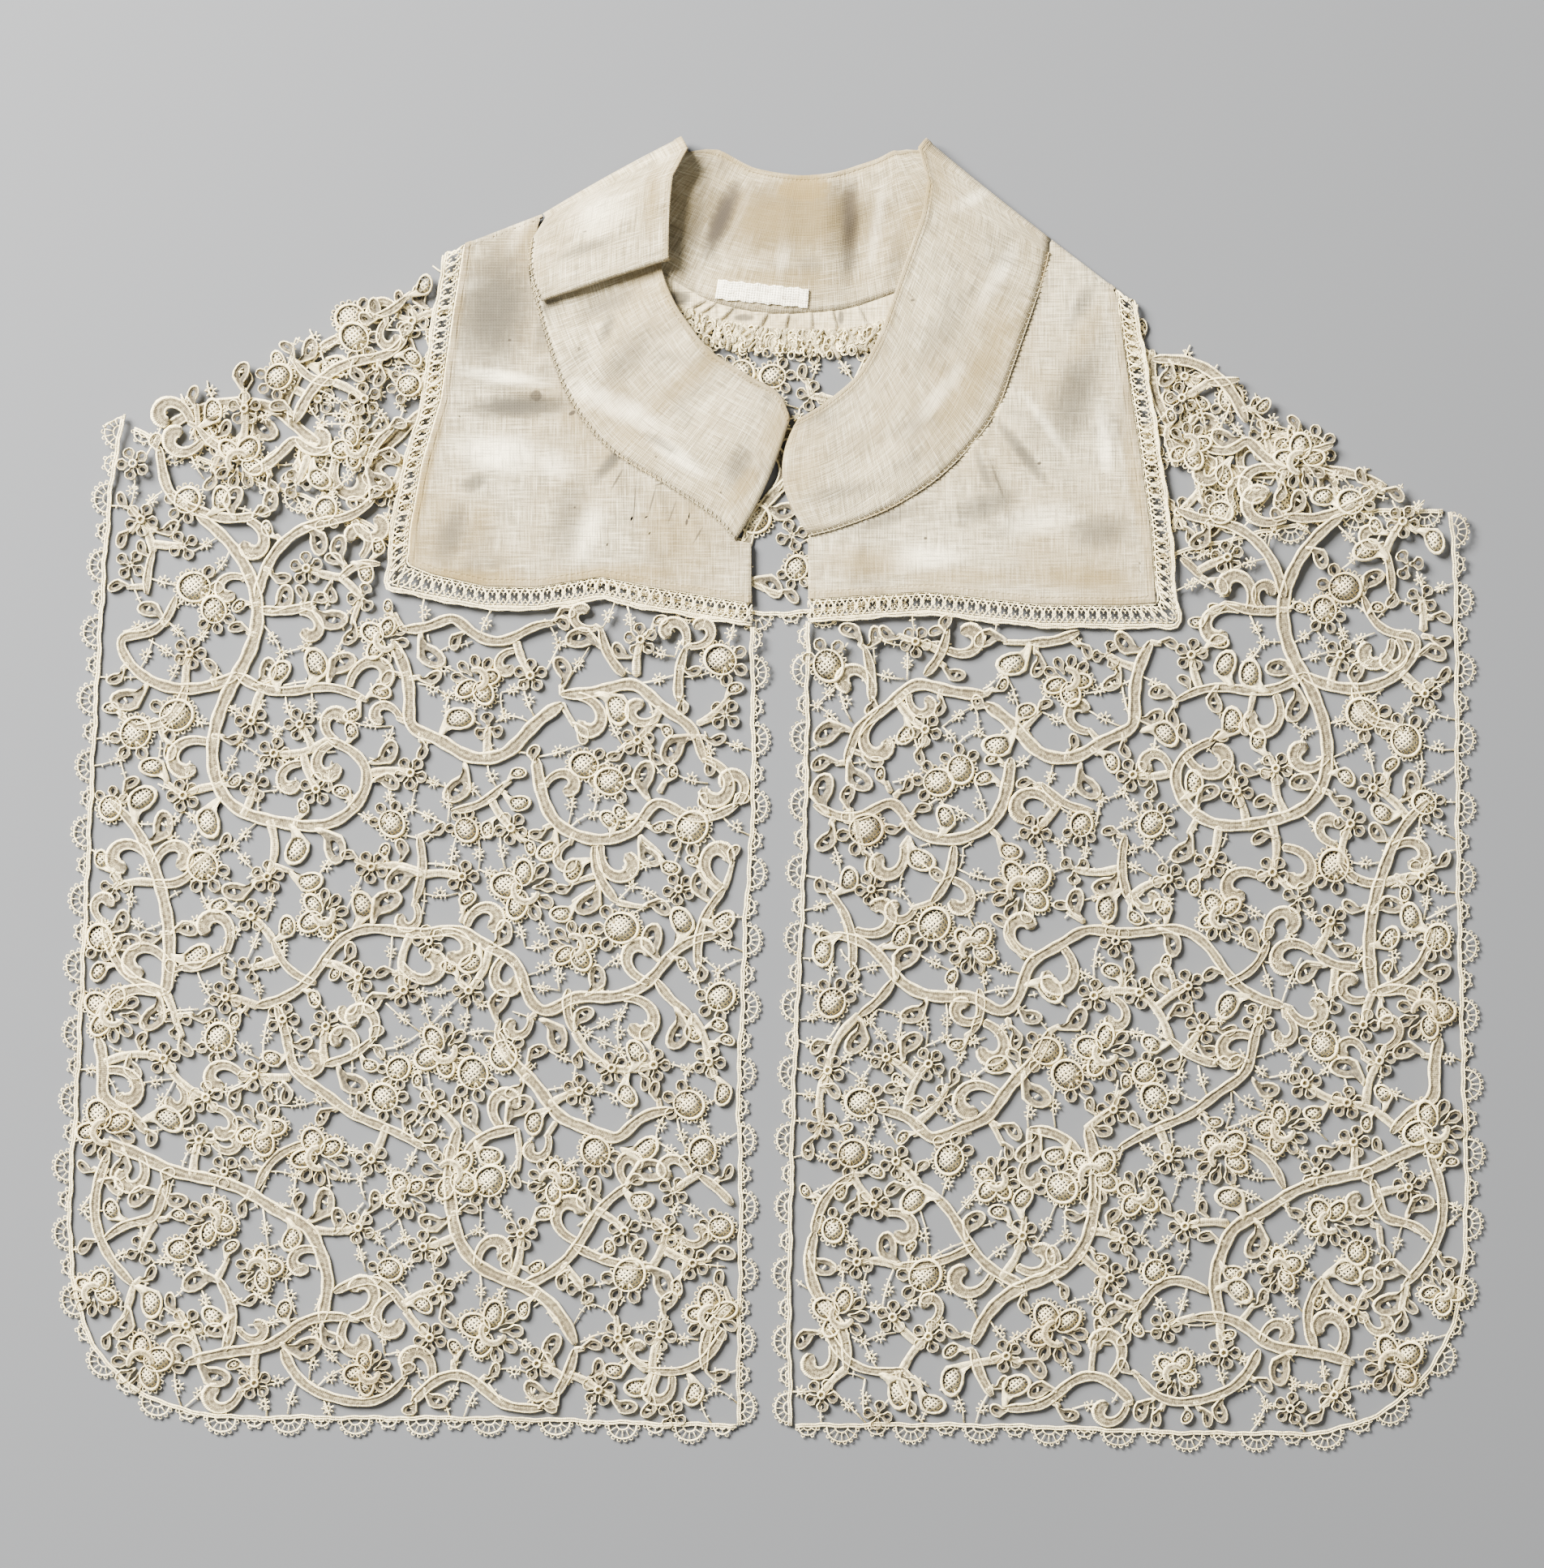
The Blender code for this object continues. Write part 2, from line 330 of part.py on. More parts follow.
def fold_line(fold):
    """The line where the cloth begins to turn, inside the edge that shows by the turn's radius and the wall."""
    a, b = np.array(fold[0]), np.array(fold[1])
    way = (b - a) / np.linalg.norm(b - a)
    outward = np.array([-way[1], way[0]]) * (1 if way[0] > 0 else -1)
    return a - outward * (FOLD_INNER_RADIUS + CLOTH), b - outward * (FOLD_INNER_RADIUS + CLOTH)


def fold_side(points, fold):
    """(how far each point lies past the line where the turn begins, how far along it, its outward normal)."""
    a, b = fold_line(fold)
    along = (b - a) / np.linalg.norm(b - a)
    outward = np.array([-along[1], along[0]])
    if outward[1] < 0:
        outward = -outward
    return (points - a) @ outward, (points - a) @ along, outward


def front_height(points, folds):
    """Height of a front's underside: over the back, down to the surface past its edge, and up at the shoulder fold."""
    edge = smooth_path(BACK_EDGE, 6.0)
    below = segment_distance(points, edge[:-1], edge[1:])
    over = points[:, 1] > np.interp(points[:, 0], edge[:, 0], edge[:, 1])
    past = np.where(over, 0.0, below)
    share = np.clip((DRAPE_END - past) / (DRAPE_END - DRAPE_START), 0.0, 1.0)
    height = LAYER_HEIGHT * share**2 * (3 - 2 * share)
    near = np.full(len(points), FOLD_RISE)
    for fold in folds:
        near = np.minimum(near, segment_distance(points, *(end[None] for end in fold_line(fold))))
    rise = 1 - near / FOLD_RISE
    return height + (FOLD_HEIGHT - height) * rise**2 * (3 - 2 * rise)


def wrapped(points, fold, height):
    """Points as (x, y, z): what lies past the fold line turns down round it in a half circle."""
    past, _, outward = fold_side(points, fold)
    past = np.maximum(past, 0.0)
    turn = np.minimum(past / FOLD_INNER_RADIUS, math.pi)
    centre = FOLD_HEIGHT - FOLD_INNER_RADIUS
    flat = points - past[:, None] * outward + (FOLD_INNER_RADIUS * np.sin(turn))[:, None] * outward
    z = np.where(past > 1e-6, centre + FOLD_INNER_RADIUS * np.cos(turn), height)
    return np.hstack([flat, z[:, None]])


def soft_folds(points, folds):
    """Height that soft folds add: a bell across each line that fades out towards its far end."""
    height = np.zeros(len(points))
    for x0, y0, x1, y1, rise, half in folds:
        a, b = np.array([x0, y0]), np.array([x1, y1])
        along = np.clip(((points - a) @ (b - a)) / float((b - a) @ (b - a)), 0.0, 1.0)
        away = np.linalg.norm(points - a - along[:, None] * (b - a), axis=1)
        height += rise * np.exp(-((away / half) ** 2)) * np.sin(math.pi * np.clip(0.15 + 0.75 * along, 0, 1))
    return height


class Plan:
    """The free room on a lace panel: for each cell of a grid, its distance to the nearest motif or edge."""

    def __init__(self, outline):
        low, high = outline.min(axis=0), outline.max(axis=0)
        self.low = low
        xs = np.arange(low[0], high[0] + PLAN_CELL, PLAN_CELL)
        ys = np.arange(low[1], high[1] + PLAN_CELL, PLAN_CELL)
        self.shape = (len(xs), len(ys))
        self.cells = np.stack(np.meshgrid(xs, ys, indexing="ij"), axis=-1)
        flat = self.cells.reshape(-1, 2)
        away = segment_distance(flat, outline, np.roll(outline, -1, axis=0))
        self.clear = np.where(inside(flat, outline), away, -away).reshape(self.shape) - PLAN_MARGIN

    def index(self, points):
        cell = np.round((points - self.low) / PLAN_CELL).astype(int)
        return np.clip(cell[:, 0], 0, self.shape[0] - 1), np.clip(cell[:, 1], 0, self.shape[1] - 1)

    def at(self, points):
        return self.clear[self.index(np.atleast_2d(points))]

    def add(self, centre, radius):
        """Takes a disc out of the free room, in the cells that it can bear on."""
        reach = int(math.ceil((radius + 14.0) / PLAN_CELL))
        i, j = (int(v[0]) for v in self.index(np.atleast_2d(centre)))
        box = (slice(max(0, i - reach), i + reach + 1), slice(max(0, j - reach), j + reach + 1))
        away = np.linalg.norm(self.cells[box] - np.asarray(centre), axis=-1) - radius
        self.clear[box] = np.minimum(self.clear[box], away)

    def largest(self):
        cell = np.unravel_index(int(np.argmax(self.clear)), self.shape)
        return self.cells[cell].copy(), float(self.clear[cell])


def stem_path(x0, y0, x1, y1, bulge):
    """A stem's middle line: a quadratic curve whose control point stands off the chord by twice the bulge."""
    a, b = np.array([x0, y0], float), np.array([x1, y1], float)
    chord = b - a
    control = (a + b) / 2 + 2 * bulge * np.array([-chord[1], chord[0]])
    t = np.linspace(0.0, 1.0, max(4, int(np.linalg.norm(chord) * (1 + 2 * abs(bulge)) / STEM_STEP)))[:, None]
    return (1 - t) ** 2 * a + 2 * t * (1 - t) * control + t**2 * b


def mirrored_x(x):
    return MIRROR_X + (MIRROR_X - x) * MIRROR_SCALE


def lace_layout(outline, stems, flowers, mirror):
    """Fills a lace panel: flowers and stems from the tables, leaves along the stems, and florets in the room left.

    Returns (plan, stems as (path, widths), leaves as (base, tip, width), flowers as (x, y, radius)).
    """
    plan = Plan(outline)
    placed, paths, leaves = [], [], []
    for x, y, radius in flowers:
        centre = np.array([mirrored_x(x) if mirror else x, y], float)
        if plan.at(centre)[0] > 0.6 * radius - PLAN_MARGIN:
            placed.append((centre[0], centre[1], float(radius)))
    for x0, y0, x1, y1, bulge, width0, width1 in stems:
        if mirror:
            x0, x1, bulge = mirrored_x(x0), mirrored_x(x1), -bulge
        path = stem_path(x0, y0, x1, y1, bulge)
        keep = plan.at(path) > 0.2
        if keep.sum() >= 4:
            widths = np.linspace(width0, width1, len(path))
            paths.append((path[keep], widths[keep]))
    for x, y, radius in placed:
        plan.add((x, y), radius)
    for path, widths in paths:
        for point, width in zip(path, widths):
            plan.add(point, width / 2)
    count = 0
    for path, widths in paths:
        run = run_of(path)
        for k, along in enumerate(np.arange(4.0, run[-1] + 3.0, LEAF_SPACING / 2)):
            here = at_run(path, [min(along, run[-1])])[0]
            ahead = at_run(path, [min(along + 1.0, run[-1])])[0] - at_run(path, [max(along - 1.0, 0.0)])[0]
            heading = math.atan2(ahead[1], ahead[0]) + (0.95 if (k + count) % 2 else -0.95)
            for shrink in (1.0, 0.75):
                length = LEAF_LENGTHS[(count + k) % len(LEAF_LENGTHS)] * shrink
                width = LEAF_WIDTH_SHARE * length
                way = np.array([math.cos(heading), math.sin(heading)])
                body, end = here + way * length * 0.62, here + way * length * 0.85
                if plan.at(body)[0] > 0.42 * width + LEAF_GAP and plan.at(end)[0] > 0.3 * width + LEAF_GAP:
                    leaves.append((here, here + way * length, width))
                    plan.add(body, 0.5 * width)
                    plan.add(here + way * length * 0.35, 0.34 * width)
                    count += 1
                    break
    stem_points = np.concatenate([path for path, _ in paths])
    while True:
        centre, room = plan.largest()
        if room < FILL_CLEARANCE:
            break
        nearest = stem_points[int(np.argmin(np.linalg.norm(stem_points - centre, axis=1)))]
        radius = min(room - 3.0, FILL_RADIUS)
        placed.append((centre[0], centre[1], radius))
        plan.add(centre, radius)
        side = 0.16 if len(placed) % 2 else -0.16
        stalk = stem_path(*nearest, *centre, side)
        stem_points = np.concatenate([stem_points, stalk])
        paths.append((stalk, np.linspace(STALK_WIDTH + 0.6, STALK_WIDTH, len(stalk))))
        for point in stalk:
            plan.add(point, STALK_WIDTH / 2)
    return plan, paths, leaves, placed


def lace_gaps(plan, most):
    """The corners of the largest gaps: rays from each gap's middle to the nearest motif, or halfway to the next gap."""
    room = Plan.__new__(Plan)
    room.low, room.shape, room.cells, room.clear = plan.low, plan.shape, plan.cells, plan.clear.copy()
    centres = []
    while True:
        centre, reach = room.largest()
        if reach < GAP_LEAST:
            break
        centres.append(centre)
        room.add(centre, GAP_REACH)
    centres = np.array(centres)
    gaps = []
    for k, centre in enumerate(centres):
        away = np.linalg.norm(centres - centre, axis=1)
        others = centres[(away > 0) & (away < 26.0)]
        turn = 0.7 * k
        corners = []
        for angle in turn + np.arange(GAP_CORNERS) * 2 * math.pi / GAP_CORNERS:
            way = np.array([math.cos(angle), math.sin(angle)])
            steps = centre + np.arange(0.4, 9.0, 0.2)[:, None] * way
            free = plan.at(steps) > 0.25
            if len(others):
                between = others - centre
                length = np.linalg.norm(between, axis=1)
                past = ((steps - centre) @ between.T) / length - length / 2
                free &= (past < -BRIDE_WALL / 2).all(axis=1)
            blocked = np.flatnonzero(~free)
            corners.append(steps[max(0, (blocked[0] if len(blocked) else len(steps)) - 1)])
        corners = np.array(corners)
        around = np.roll(corners, -1, axis=0)
        area = 0.5 * float((corners[:, 0] * around[:, 1] - around[:, 0] * corners[:, 1]).sum())
        least = float(np.linalg.norm(corners - centre, axis=1).min())
        if least > 1.0 and area > 13.0:
            gaps.append((area, corners))
    gaps.sort(key=lambda gap: -gap[0])
    chosen = []
    for apart in GAP_SPREAD:
        for _, corners in gaps:
            centre = corners.mean(axis=0)
            if len(chosen) < most and all(np.linalg.norm(centre - other.mean(axis=0)) > apart for other in chosen):
                chosen.append(corners)
    return chosen


def relief(paths, flowers, gaps, outline):
    """(rows of x, y, wall, chains of their indices) raised on the lace: ridges along wide stems, and flower rims."""
    loops = [*gaps, outline]
    starts = np.concatenate(loops)
    stops = np.concatenate([np.roll(loop, -1, axis=0) for loop in loops])
    rows, chains = [], []

    def clear(points):
        hit = segment_distance(points, starts, stops) < 1.1
        for gap in gaps:
            hit |= inside(points, gap)
        return ~hit & inside(points, outline)

    for x, y, radius in flowers:
        if radius < 6.4:
            continue
        angles = np.arange(5) * 2 * math.pi / 5 + 0.3 * x
        rim = np.column_stack([x + 0.62 * radius * np.cos(angles), y + 0.62 * radius * np.sin(angles)])
        for point, wall in [((x, y), CLOTH), *((tuple(point), RAISED) for point in rim)]:
            if clear(np.array([point]))[0] and all(math.dist(point, row[:2]) > 2.4 for row in rows):
                rows.append((*point, wall))
    for path, widths in paths:
        if widths.mean() < RIDGE_FROM:
            continue
        run = run_of(path)
        count = max(2, int(round(run[-1] / RIDGE_STEP)) + 1)
        chain = []
        for point in at_run(path, np.linspace(1.0, run[-1] - 1.0, count)):
            free = clear(point[None])[0] and all(math.dist(point, row[:2]) > 2.4 for row in rows)
            if free:
                rows.append((*point, STEM_RAISED))
            linked = free and chain and clear(np.linspace(rows[chain[-1]][:2], point, 7)).all()
            if not linked:
                chains.append(chain)
                chain = []
            if free:
                chain.append(len(rows) - 1)
        chains.append(chain)
    return np.array(rows), [chain for chain in chains if len(chain) > 1]


def triangulated(outline, gaps, extra, rows=()):
    """(points, triangles) of a flat panel with its gaps cut out. Rows are lines of points kept as edges."""
    points, edges = [], []
    for loop in [outline, *gaps]:
        first = len(points)
        points += [Vector(point) for point in loop]
        edges += [(first + i, first + (i + 1) % len(loop)) for i in range(len(loop))]
    for row in rows:
        first = len(points)
        points += [Vector(point) for point in row]
        edges += [(first + i, first + i + 1) for i in range(len(row) - 1)]
    points += [Vector(point) for point in extra]
    made, _, faces, _, _, _ = delaunay_2d_cdt(points, edges, [], 0, 1e-5)
    made = np.array([(point.x, point.y) for point in made])
    faces = np.array([face for face in faces if len(face) == 3])
    middle = made[faces].mean(axis=1)
    keep = inside(middle, outline)
    for gap in gaps:
        box = (middle >= gap.min(axis=0)).all(axis=1) & (middle <= gap.max(axis=0)).all(axis=1) & keep
        keep[box] &= ~inside(middle[box], gap)
    faces = faces[keep]
    a, b, c = (made[faces[:, i]] for i in range(3))
    twice_area = (b - a)[:, 0] * (c - a)[:, 1] - (b - a)[:, 1] * (c - a)[:, 0]
    faces[twice_area < 0] = faces[twice_area < 0][:, ::-1]
    faces = faces[np.abs(twice_area) > 1e-3]
    used, faces = np.unique(faces, return_inverse=True)
    return made[used], faces.reshape(-1, 3)


def grid_faces(rows, columns):
    """Quads of a grid of points stored row by row."""
    return [
        (i * columns + j, (i + 1) * columns + j, (i + 1) * columns + j + 1, i * columns + j + 1)
        for i in range(rows - 1)
        for j in range(columns - 1)
    ]


def material(name, colour, roughness):
    made = bpy.data.materials.new(name)
    made.use_nodes = True
    shader = made.node_tree.nodes["Principled BSDF"]
    shader.inputs["Base Color"].default_value = (*colour, 1.0)
    shader.inputs["Roughness"].default_value = roughness
    shader.inputs["Metallic"].default_value = 0.0
    return made


def cloth_object(name, points, faces, colour, collection, offset=1.0, walls=None):
    """An open surface in millimetres made a wall by Solidify. Walls, one for each point, vary its thickness."""
    mesh = bpy.data.meshes.new(name)
    placed = (np.asarray(points) - CENTRE) * MM
    mesh.from_pydata([tuple(point) for point in placed], [], [tuple(map(int, face)) for face in faces])
    mesh.materials.append(material(name, colour, 0.85))
    item = bpy.data.objects.new(name, mesh)
    collection.objects.link(item)
    solid = item.modifiers.new("wall", "SOLIDIFY")
    solid.thickness = CLOTH * MM
    solid.offset = offset
    solid.use_even_offset = False
    if walls is not None:
        most = float(np.max(walls))
        solid.thickness = most * MM
        group = item.vertex_groups.new(name="wall")
        for index, wall in enumerate(walls):
            group.add([index], float(wall) / most, "REPLACE")
        solid.vertex_group = "wall"
    return item


def insertion_edges(side):
    """(inner edge, outer edge) of the insertion, point by point, through all rows of its table."""
    table = np.array(INSERTION[side])
    run = run_of((table[:, :2] + table[:, 2:]) / 2)
    at = np.unique(np.concatenate([run, np.arange(0.0, run[-1], INSERTION_STEP)]))
    ours = np.isin(at, run)
    keep = ours | ~np.array([(np.abs(run - a) < 2.0).any() for a in at])
    grown = [np.interp(at[keep], run, table[:, axis]) for axis in range(4)]
    return np.stack(grown[:2], axis=1), np.stack(grown[2:], axis=1)


def under_fold(points, fold):
    """(rows of points that turn under round the fold line, its outer edge), for a panel that ends on the line."""
    line = np.array(points) - fold_side(np.array(points), fold)[0][:, None] * fold_side(np.array(points), fold)[2]
    reach = math.pi * FOLD_INNER_RADIUS * fold_side(line, fold)[2]
    return [line + reach * k / FOLD_TURNS for k in range(FOLD_TURNS + 1)]


def front_outline(side):
    """(cord outline, scalloped outline with the turn under at the shoulder, rows of that turn) of a lace front."""
    turn = 1 if side == "left" else -1
    hem, slit = SIDE_EDGE[side], SLIT_EDGE[side]
    inner = insertion_edges(side)[1][::-1]
    cord = np.vstack([smooth_path(hem, 3.0), smooth_path(slit, 3.0)[1:], inner])
    fold = SHOULDER_FOLD[side]["lace"]
    count = int(round(math.dist(*fold) / 11.0)) + 1
    rows = under_fold(np.linspace(fold[1], fold[0], count), fold)
    joined = np.vstack([
        scalloped(hem, SCALLOP_DEPTH, turn)[2:],
        scalloped(slit, SLIT_SCALLOP_DEPTH, turn),
        inner[:-1],
        [row[0] for row in rows[:-1]],
        rows[-1],
        [row[-1] for row in rows[-2::-1]],
    ])
    return cord, joined, [row[1:-1] for row in rows[:-1]]


def lace_front(side, collection):
    cord, outline, rows = front_outline(side)
    fold = SHOULDER_FOLD[side]["lace"]
    plan, paths, _, flowers = lace_layout(cord, STEMS, FLOWERS, side == "right")
    plan.add(np.array(INSERTION[side])[5 if side == "left" else 4, 2:], 3.5)
    gaps = lace_gaps(plan, GAP_CUTS[side])
    gaps = [gap for gap in gaps if (fold_side(gap, fold)[0] < -1.5).all()]
    raised_rows, chains = relief(paths, flowers, gaps, cord)
    guard = smooth_path(BACK_EDGE, 14.0) - [0.0, DRAPE_START - 3.0]
    guard = guard[inside(guard, cord)]
    loops = [*gaps, *(raised_rows[chain, :2] for chain in chains)]
    starts = np.concatenate([loop[:-1] for loop in loops] + [raised_rows[:, :2]])
    stops = np.concatenate([loop[1:] for loop in loops] + [raised_rows[:, :2]])
    guard = guard[segment_distance(guard, starts, stops) > 1.2]
    for gap in gaps:
        guard = guard[~inside(guard, gap)]
    flat = fold_side(raised_rows[:, :2], fold)[0] < -4.0
    ridges = [raised_rows[chain, :2] for chain in chains if flat[chain].all()]
    loose = raised_rows[flat, :2]
    points, faces = triangulated(outline, gaps, np.vstack([loose, guard]), [*rows, *ridges])
    walls = np.full(len(points), CLOTH)
    for x, y, wall in raised_rows[flat]:
        walls[np.argmin(np.hypot(points[:, 0] - x, points[:, 1] - y))] = wall
    shaped = wrapped(points, fold, front_height(points, [fold]))
    return cloth_object(f"lace_front_{side}", shaped, faces, (0.78, 0.72, 0.6), collection, walls=walls)


def gather_columns():
    """X of each crest and trough of the gathered heading."""
    return np.linspace(SHOWN_FROM, SHOWN_TO, 2 * GATHER_WAVES + 1)


def lace_back(collection):
    strip = np.array(BACK_STRIP)
    columns = gather_columns()
    left, right = SHOULDER_FOLD["left"], SHOULDER_FOLD["right"]
    lower = smooth_path(strip[:, 2:], 2.0) - [0.0, 1.5 * SEAM_GAP]
    outer = lower[(lower[:, 0] < SHOWN_FROM - 3) | (lower[:, 0] > SHOWN_TO + 3)][::4]
    shown = np.stack([columns, np.interp(columns, lower[:, 0], lower[:, 1])], axis=1)
    top = np.vstack([outer[outer[:, 0] < 0], shown, outer[outer[:, 0] > 0]])
    inset = SEAM_GAP + 0.1
    ends = []
    for fold in (left["lace"], right["lace"]):
        _, _, outward = fold_side(np.zeros((1, 2)), fold)
        ends.append(np.linspace(*fold_line(fold), 8) - outward * inset)
    cord = np.vstack([smooth_path(BACK_EDGE, 3.0)[::-1], ends[0], top, ends[1][::-1]])
    outline = np.vstack([scalloped(BACK_EDGE, SCALLOP_DEPTH, 1)[::-1], ends[0], top, ends[1][::-1]])
    plan, _, _, _ = lace_layout(cord, BACK_STEMS, BACK_FLOWERS, False)
    for x, y in shown[::2]:
        plan.add((x, y - GATHER_DEPTH / 2), GATHER_DEPTH / 2)
    gaps = lace_gaps(plan, GAP_CUTS["back"])
    crests = (np.arange(len(columns)) % 2).astype(float)
    fade = np.clip(np.minimum(columns - SHOWN_FROM, SHOWN_TO - columns) / 6.0, 0.0, 1.0)
    ruffle = np.vstack([
        np.column_stack([shown[:, 0], shown[:, 1], 0.5 * GATHER_HEIGHT * crests * fade]),
        np.column_stack([shown[:, 0], shown[:, 1] - GATHER_DEPTH / 2, GATHER_HEIGHT * crests * fade]),
    ])
    inner = ruffle[len(shown):, :2]
    foot = shown[::4] - [0.0, GATHER_DEPTH]
    points, faces = triangulated(outline, gaps, np.vstack([inner, foot]))
    height = np.zeros(len(points))
    for x, y, z in ruffle:
        height[np.argmin(np.hypot(points[:, 0] - x, points[:, 1] - y))] = z
    return cloth_object("lace_back", np.column_stack([points, height]), faces, (0.72, 0.66, 0.54), collection)


def insertion(side, collection):
    """The openwork strip between yoke and lace, short of both by the seam gap, turned under at the shoulder."""
    inner, outer = insertion_edges(side)
    flat = inner[:, None] + (outer - inner)[:, None] * np.array([INSERTION_INSET, 1 - INSERTION_INSET])[None, :, None]
    fold = (SHOULDER_FOLD[side]["yoke"][0], SHOULDER_FOLD[side]["lace"][1])
    rows = under_fold(flat[0], fold)
    grid = np.concatenate([rows[::-1], flat[1:]])
    points = grid.reshape(-1, 2)
    shaped = wrapped(points, fold, front_height(points, [fold]))
    faces = grid_faces(len(grid), 2)
    if side == "left":
        faces = [face[::-1] for face in faces]
    return cloth_object(f"insertion_{side}", shaped, faces, (0.74, 0.68, 0.55), collection)


def band_seam(side):
    """The neckband's edge on the seam of one front, from the shoulder to the slit, moved onto the front by the gap."""
    sections = spaced_sections([*BAND_FRONT_LEFT, BAND_HIDDEN_TURN])[::-1]
    if side == "right":
        sections = [folded(BAND_FOLD_RIGHT, CLOTH / 2, (1, 1), 2)[0], *spaced_sections(BAND_FRONT_RIGHT)]
    edge = np.array([section[0][:2] for section in sections])
    if side == "left":
        edge = np.vstack([NECK_SEAM["left"][0], NECK_SEAM["left"][1], edge])
    way = np.gradient(edge, axis=0)
    way /= np.linalg.norm(way, axis=1)[:, None]
    away = np.stack([way[:, 1], -way[:, 0]], axis=1) * (1 if side == "left" else -1)
    return edge + away * SEAM_GAP * 1.15


def yoke(side, collection):
    """A linen front between the neck seam and the insertion, turned under at the shoulder."""
    seam = band_seam(side)
    inner = insertion_edges(side)[0]
    fold = SHOULDER_FOLD[side]["yoke"]
    rows = under_fold(np.linspace(seam[0], inner[0], 4), fold)
    outline = np.vstack([
        seam[1:], [YOKE_SLIT_TOP[side]], inner[::-1][:-1],
        [row[-1] for row in rows[:-1]], rows[-1][::-1], [row[0] for row in rows[-2::-1]],
    ])
    low, high = outline.min(axis=0), outline.max(axis=0)
    across = [np.arange(low[axis] + YOKE_STEP / 2, high[axis], YOKE_STEP) for axis in (0, 1)]
    room = np.stack(np.meshgrid(*across, indexing="ij"), axis=-1).reshape(-1, 2)
    ridges = [
        np.array([[x0 + (x1 - x0) * share, y0 + (y1 - y0) * share] for share in (0.2, 0.5, 0.8)])
        for x0, y0, x1, y1, _, _ in YOKE_FOLDS
    ]
    ridges = np.concatenate(ridges)
    room = room[np.linalg.norm(room[:, None] - ridges[None], axis=2).min(axis=1) > 3.0]
    room = np.vstack([room, ridges])
    room = room[inside(room, outline) & (segment_distance(room, outline, np.roll(outline, -1, axis=0)) > 2.5)]
    room = room[fold_side(room, fold)[0] < -3.0]
    points, faces = triangulated(outline, [], room, [row[1:-1] for row in rows[:-1]])
    height = front_height(points, [fold]) + soft_folds(points, YOKE_FOLDS)
    return cloth_object(f"yoke_{side}", wrapped(points, fold, height), faces, (0.8, 0.75, 0.63), collection)


def section_curve(row, cells):
    """Points across the band: a quadratic curve through its seam, middle and free edge."""
    seam, middle, free = (np.array([row[2 * k], row[2 * k + 1], row[6 + k]]) for k in range(3))
    t = np.linspace(0.0, 1.0, cells + 1)[:, None]
    return seam * (1 - t) * (1 - 2 * t) + middle * 4 * t * (1 - t) + free * t * (2 * t - 1)


def half_turn(low, high, outward, cells):
    """Sections of a half circle from one curve to the other, which lie above each other, bulging outward."""
    centre, radius = (low + high) / 2, (high - low)[:, 2:] / 2
    made = []
    for angle in np.linspace(0.0, math.pi, cells + 1)[1:-1]:
        made.append(centre + outward * np.abs(radius) * math.sin(angle) - np.array([0, 0, 1]) * radius * math.cos(angle))
    return made


def folded(row, low, way, cells):
    """Sections of the turn at a shoulder fold, from the upper layer to the lower one, inside the edge that shows."""
    outward = outward_of(row, way)
    top, bottom = section_curve(row, BAND_CELLS), section_curve((*row[:6], low, low, low), BAND_CELLS)
    inset = outward * ((top - bottom)[:, 2:] / 2 + CLOTH / 2)
    top, bottom = top - inset, bottom - inset
    return [top, *half_turn(bottom, top, outward, cells)[::-1], bottom]


def raised(row, lift):
    return (*row[:6], *(row[6 + k] + lift[k] for k in range(3)))


def outward_of(row, way):
    """The unit vector across the section's line, on the side that way points to."""
    chord = np.array([row[4] - row[0], row[5] - row[1]])
    across = np.array([-chord[1], chord[0], 0.0]) / np.linalg.norm(chord)
    return across if across[:2] @ np.array(way) > 0 else -across


def spaced_sections(rows):
    """Curves along a run of table rows, with further ones where two rows lie far apart."""
    table = np.array(rows)
    middle = table[:, 2:4]
    run = run_of(middle)
    slope = np.gradient(table, run, axis=0)
    made = []
    for k in range(len(table) - 1):
        span = run[k + 1] - run[k]
        steps = max(1, int(round(span / BAND_SECTION_STEP)))
        for t in np.arange(steps) / steps:
            row = (
                (2 * t**3 - 3 * t**2 + 1) * table[k]
                + (t**3 - 2 * t**2 + t) * span * slope[k]
                + (3 * t**2 - 2 * t**3) * table[k + 1]
                + (t**3 - t**2) * span * slope[k + 1]
            )
            made.append(section_curve(row, BAND_CELLS))
    made.append(section_curve(table[-1], BAND_CELLS))
    return made


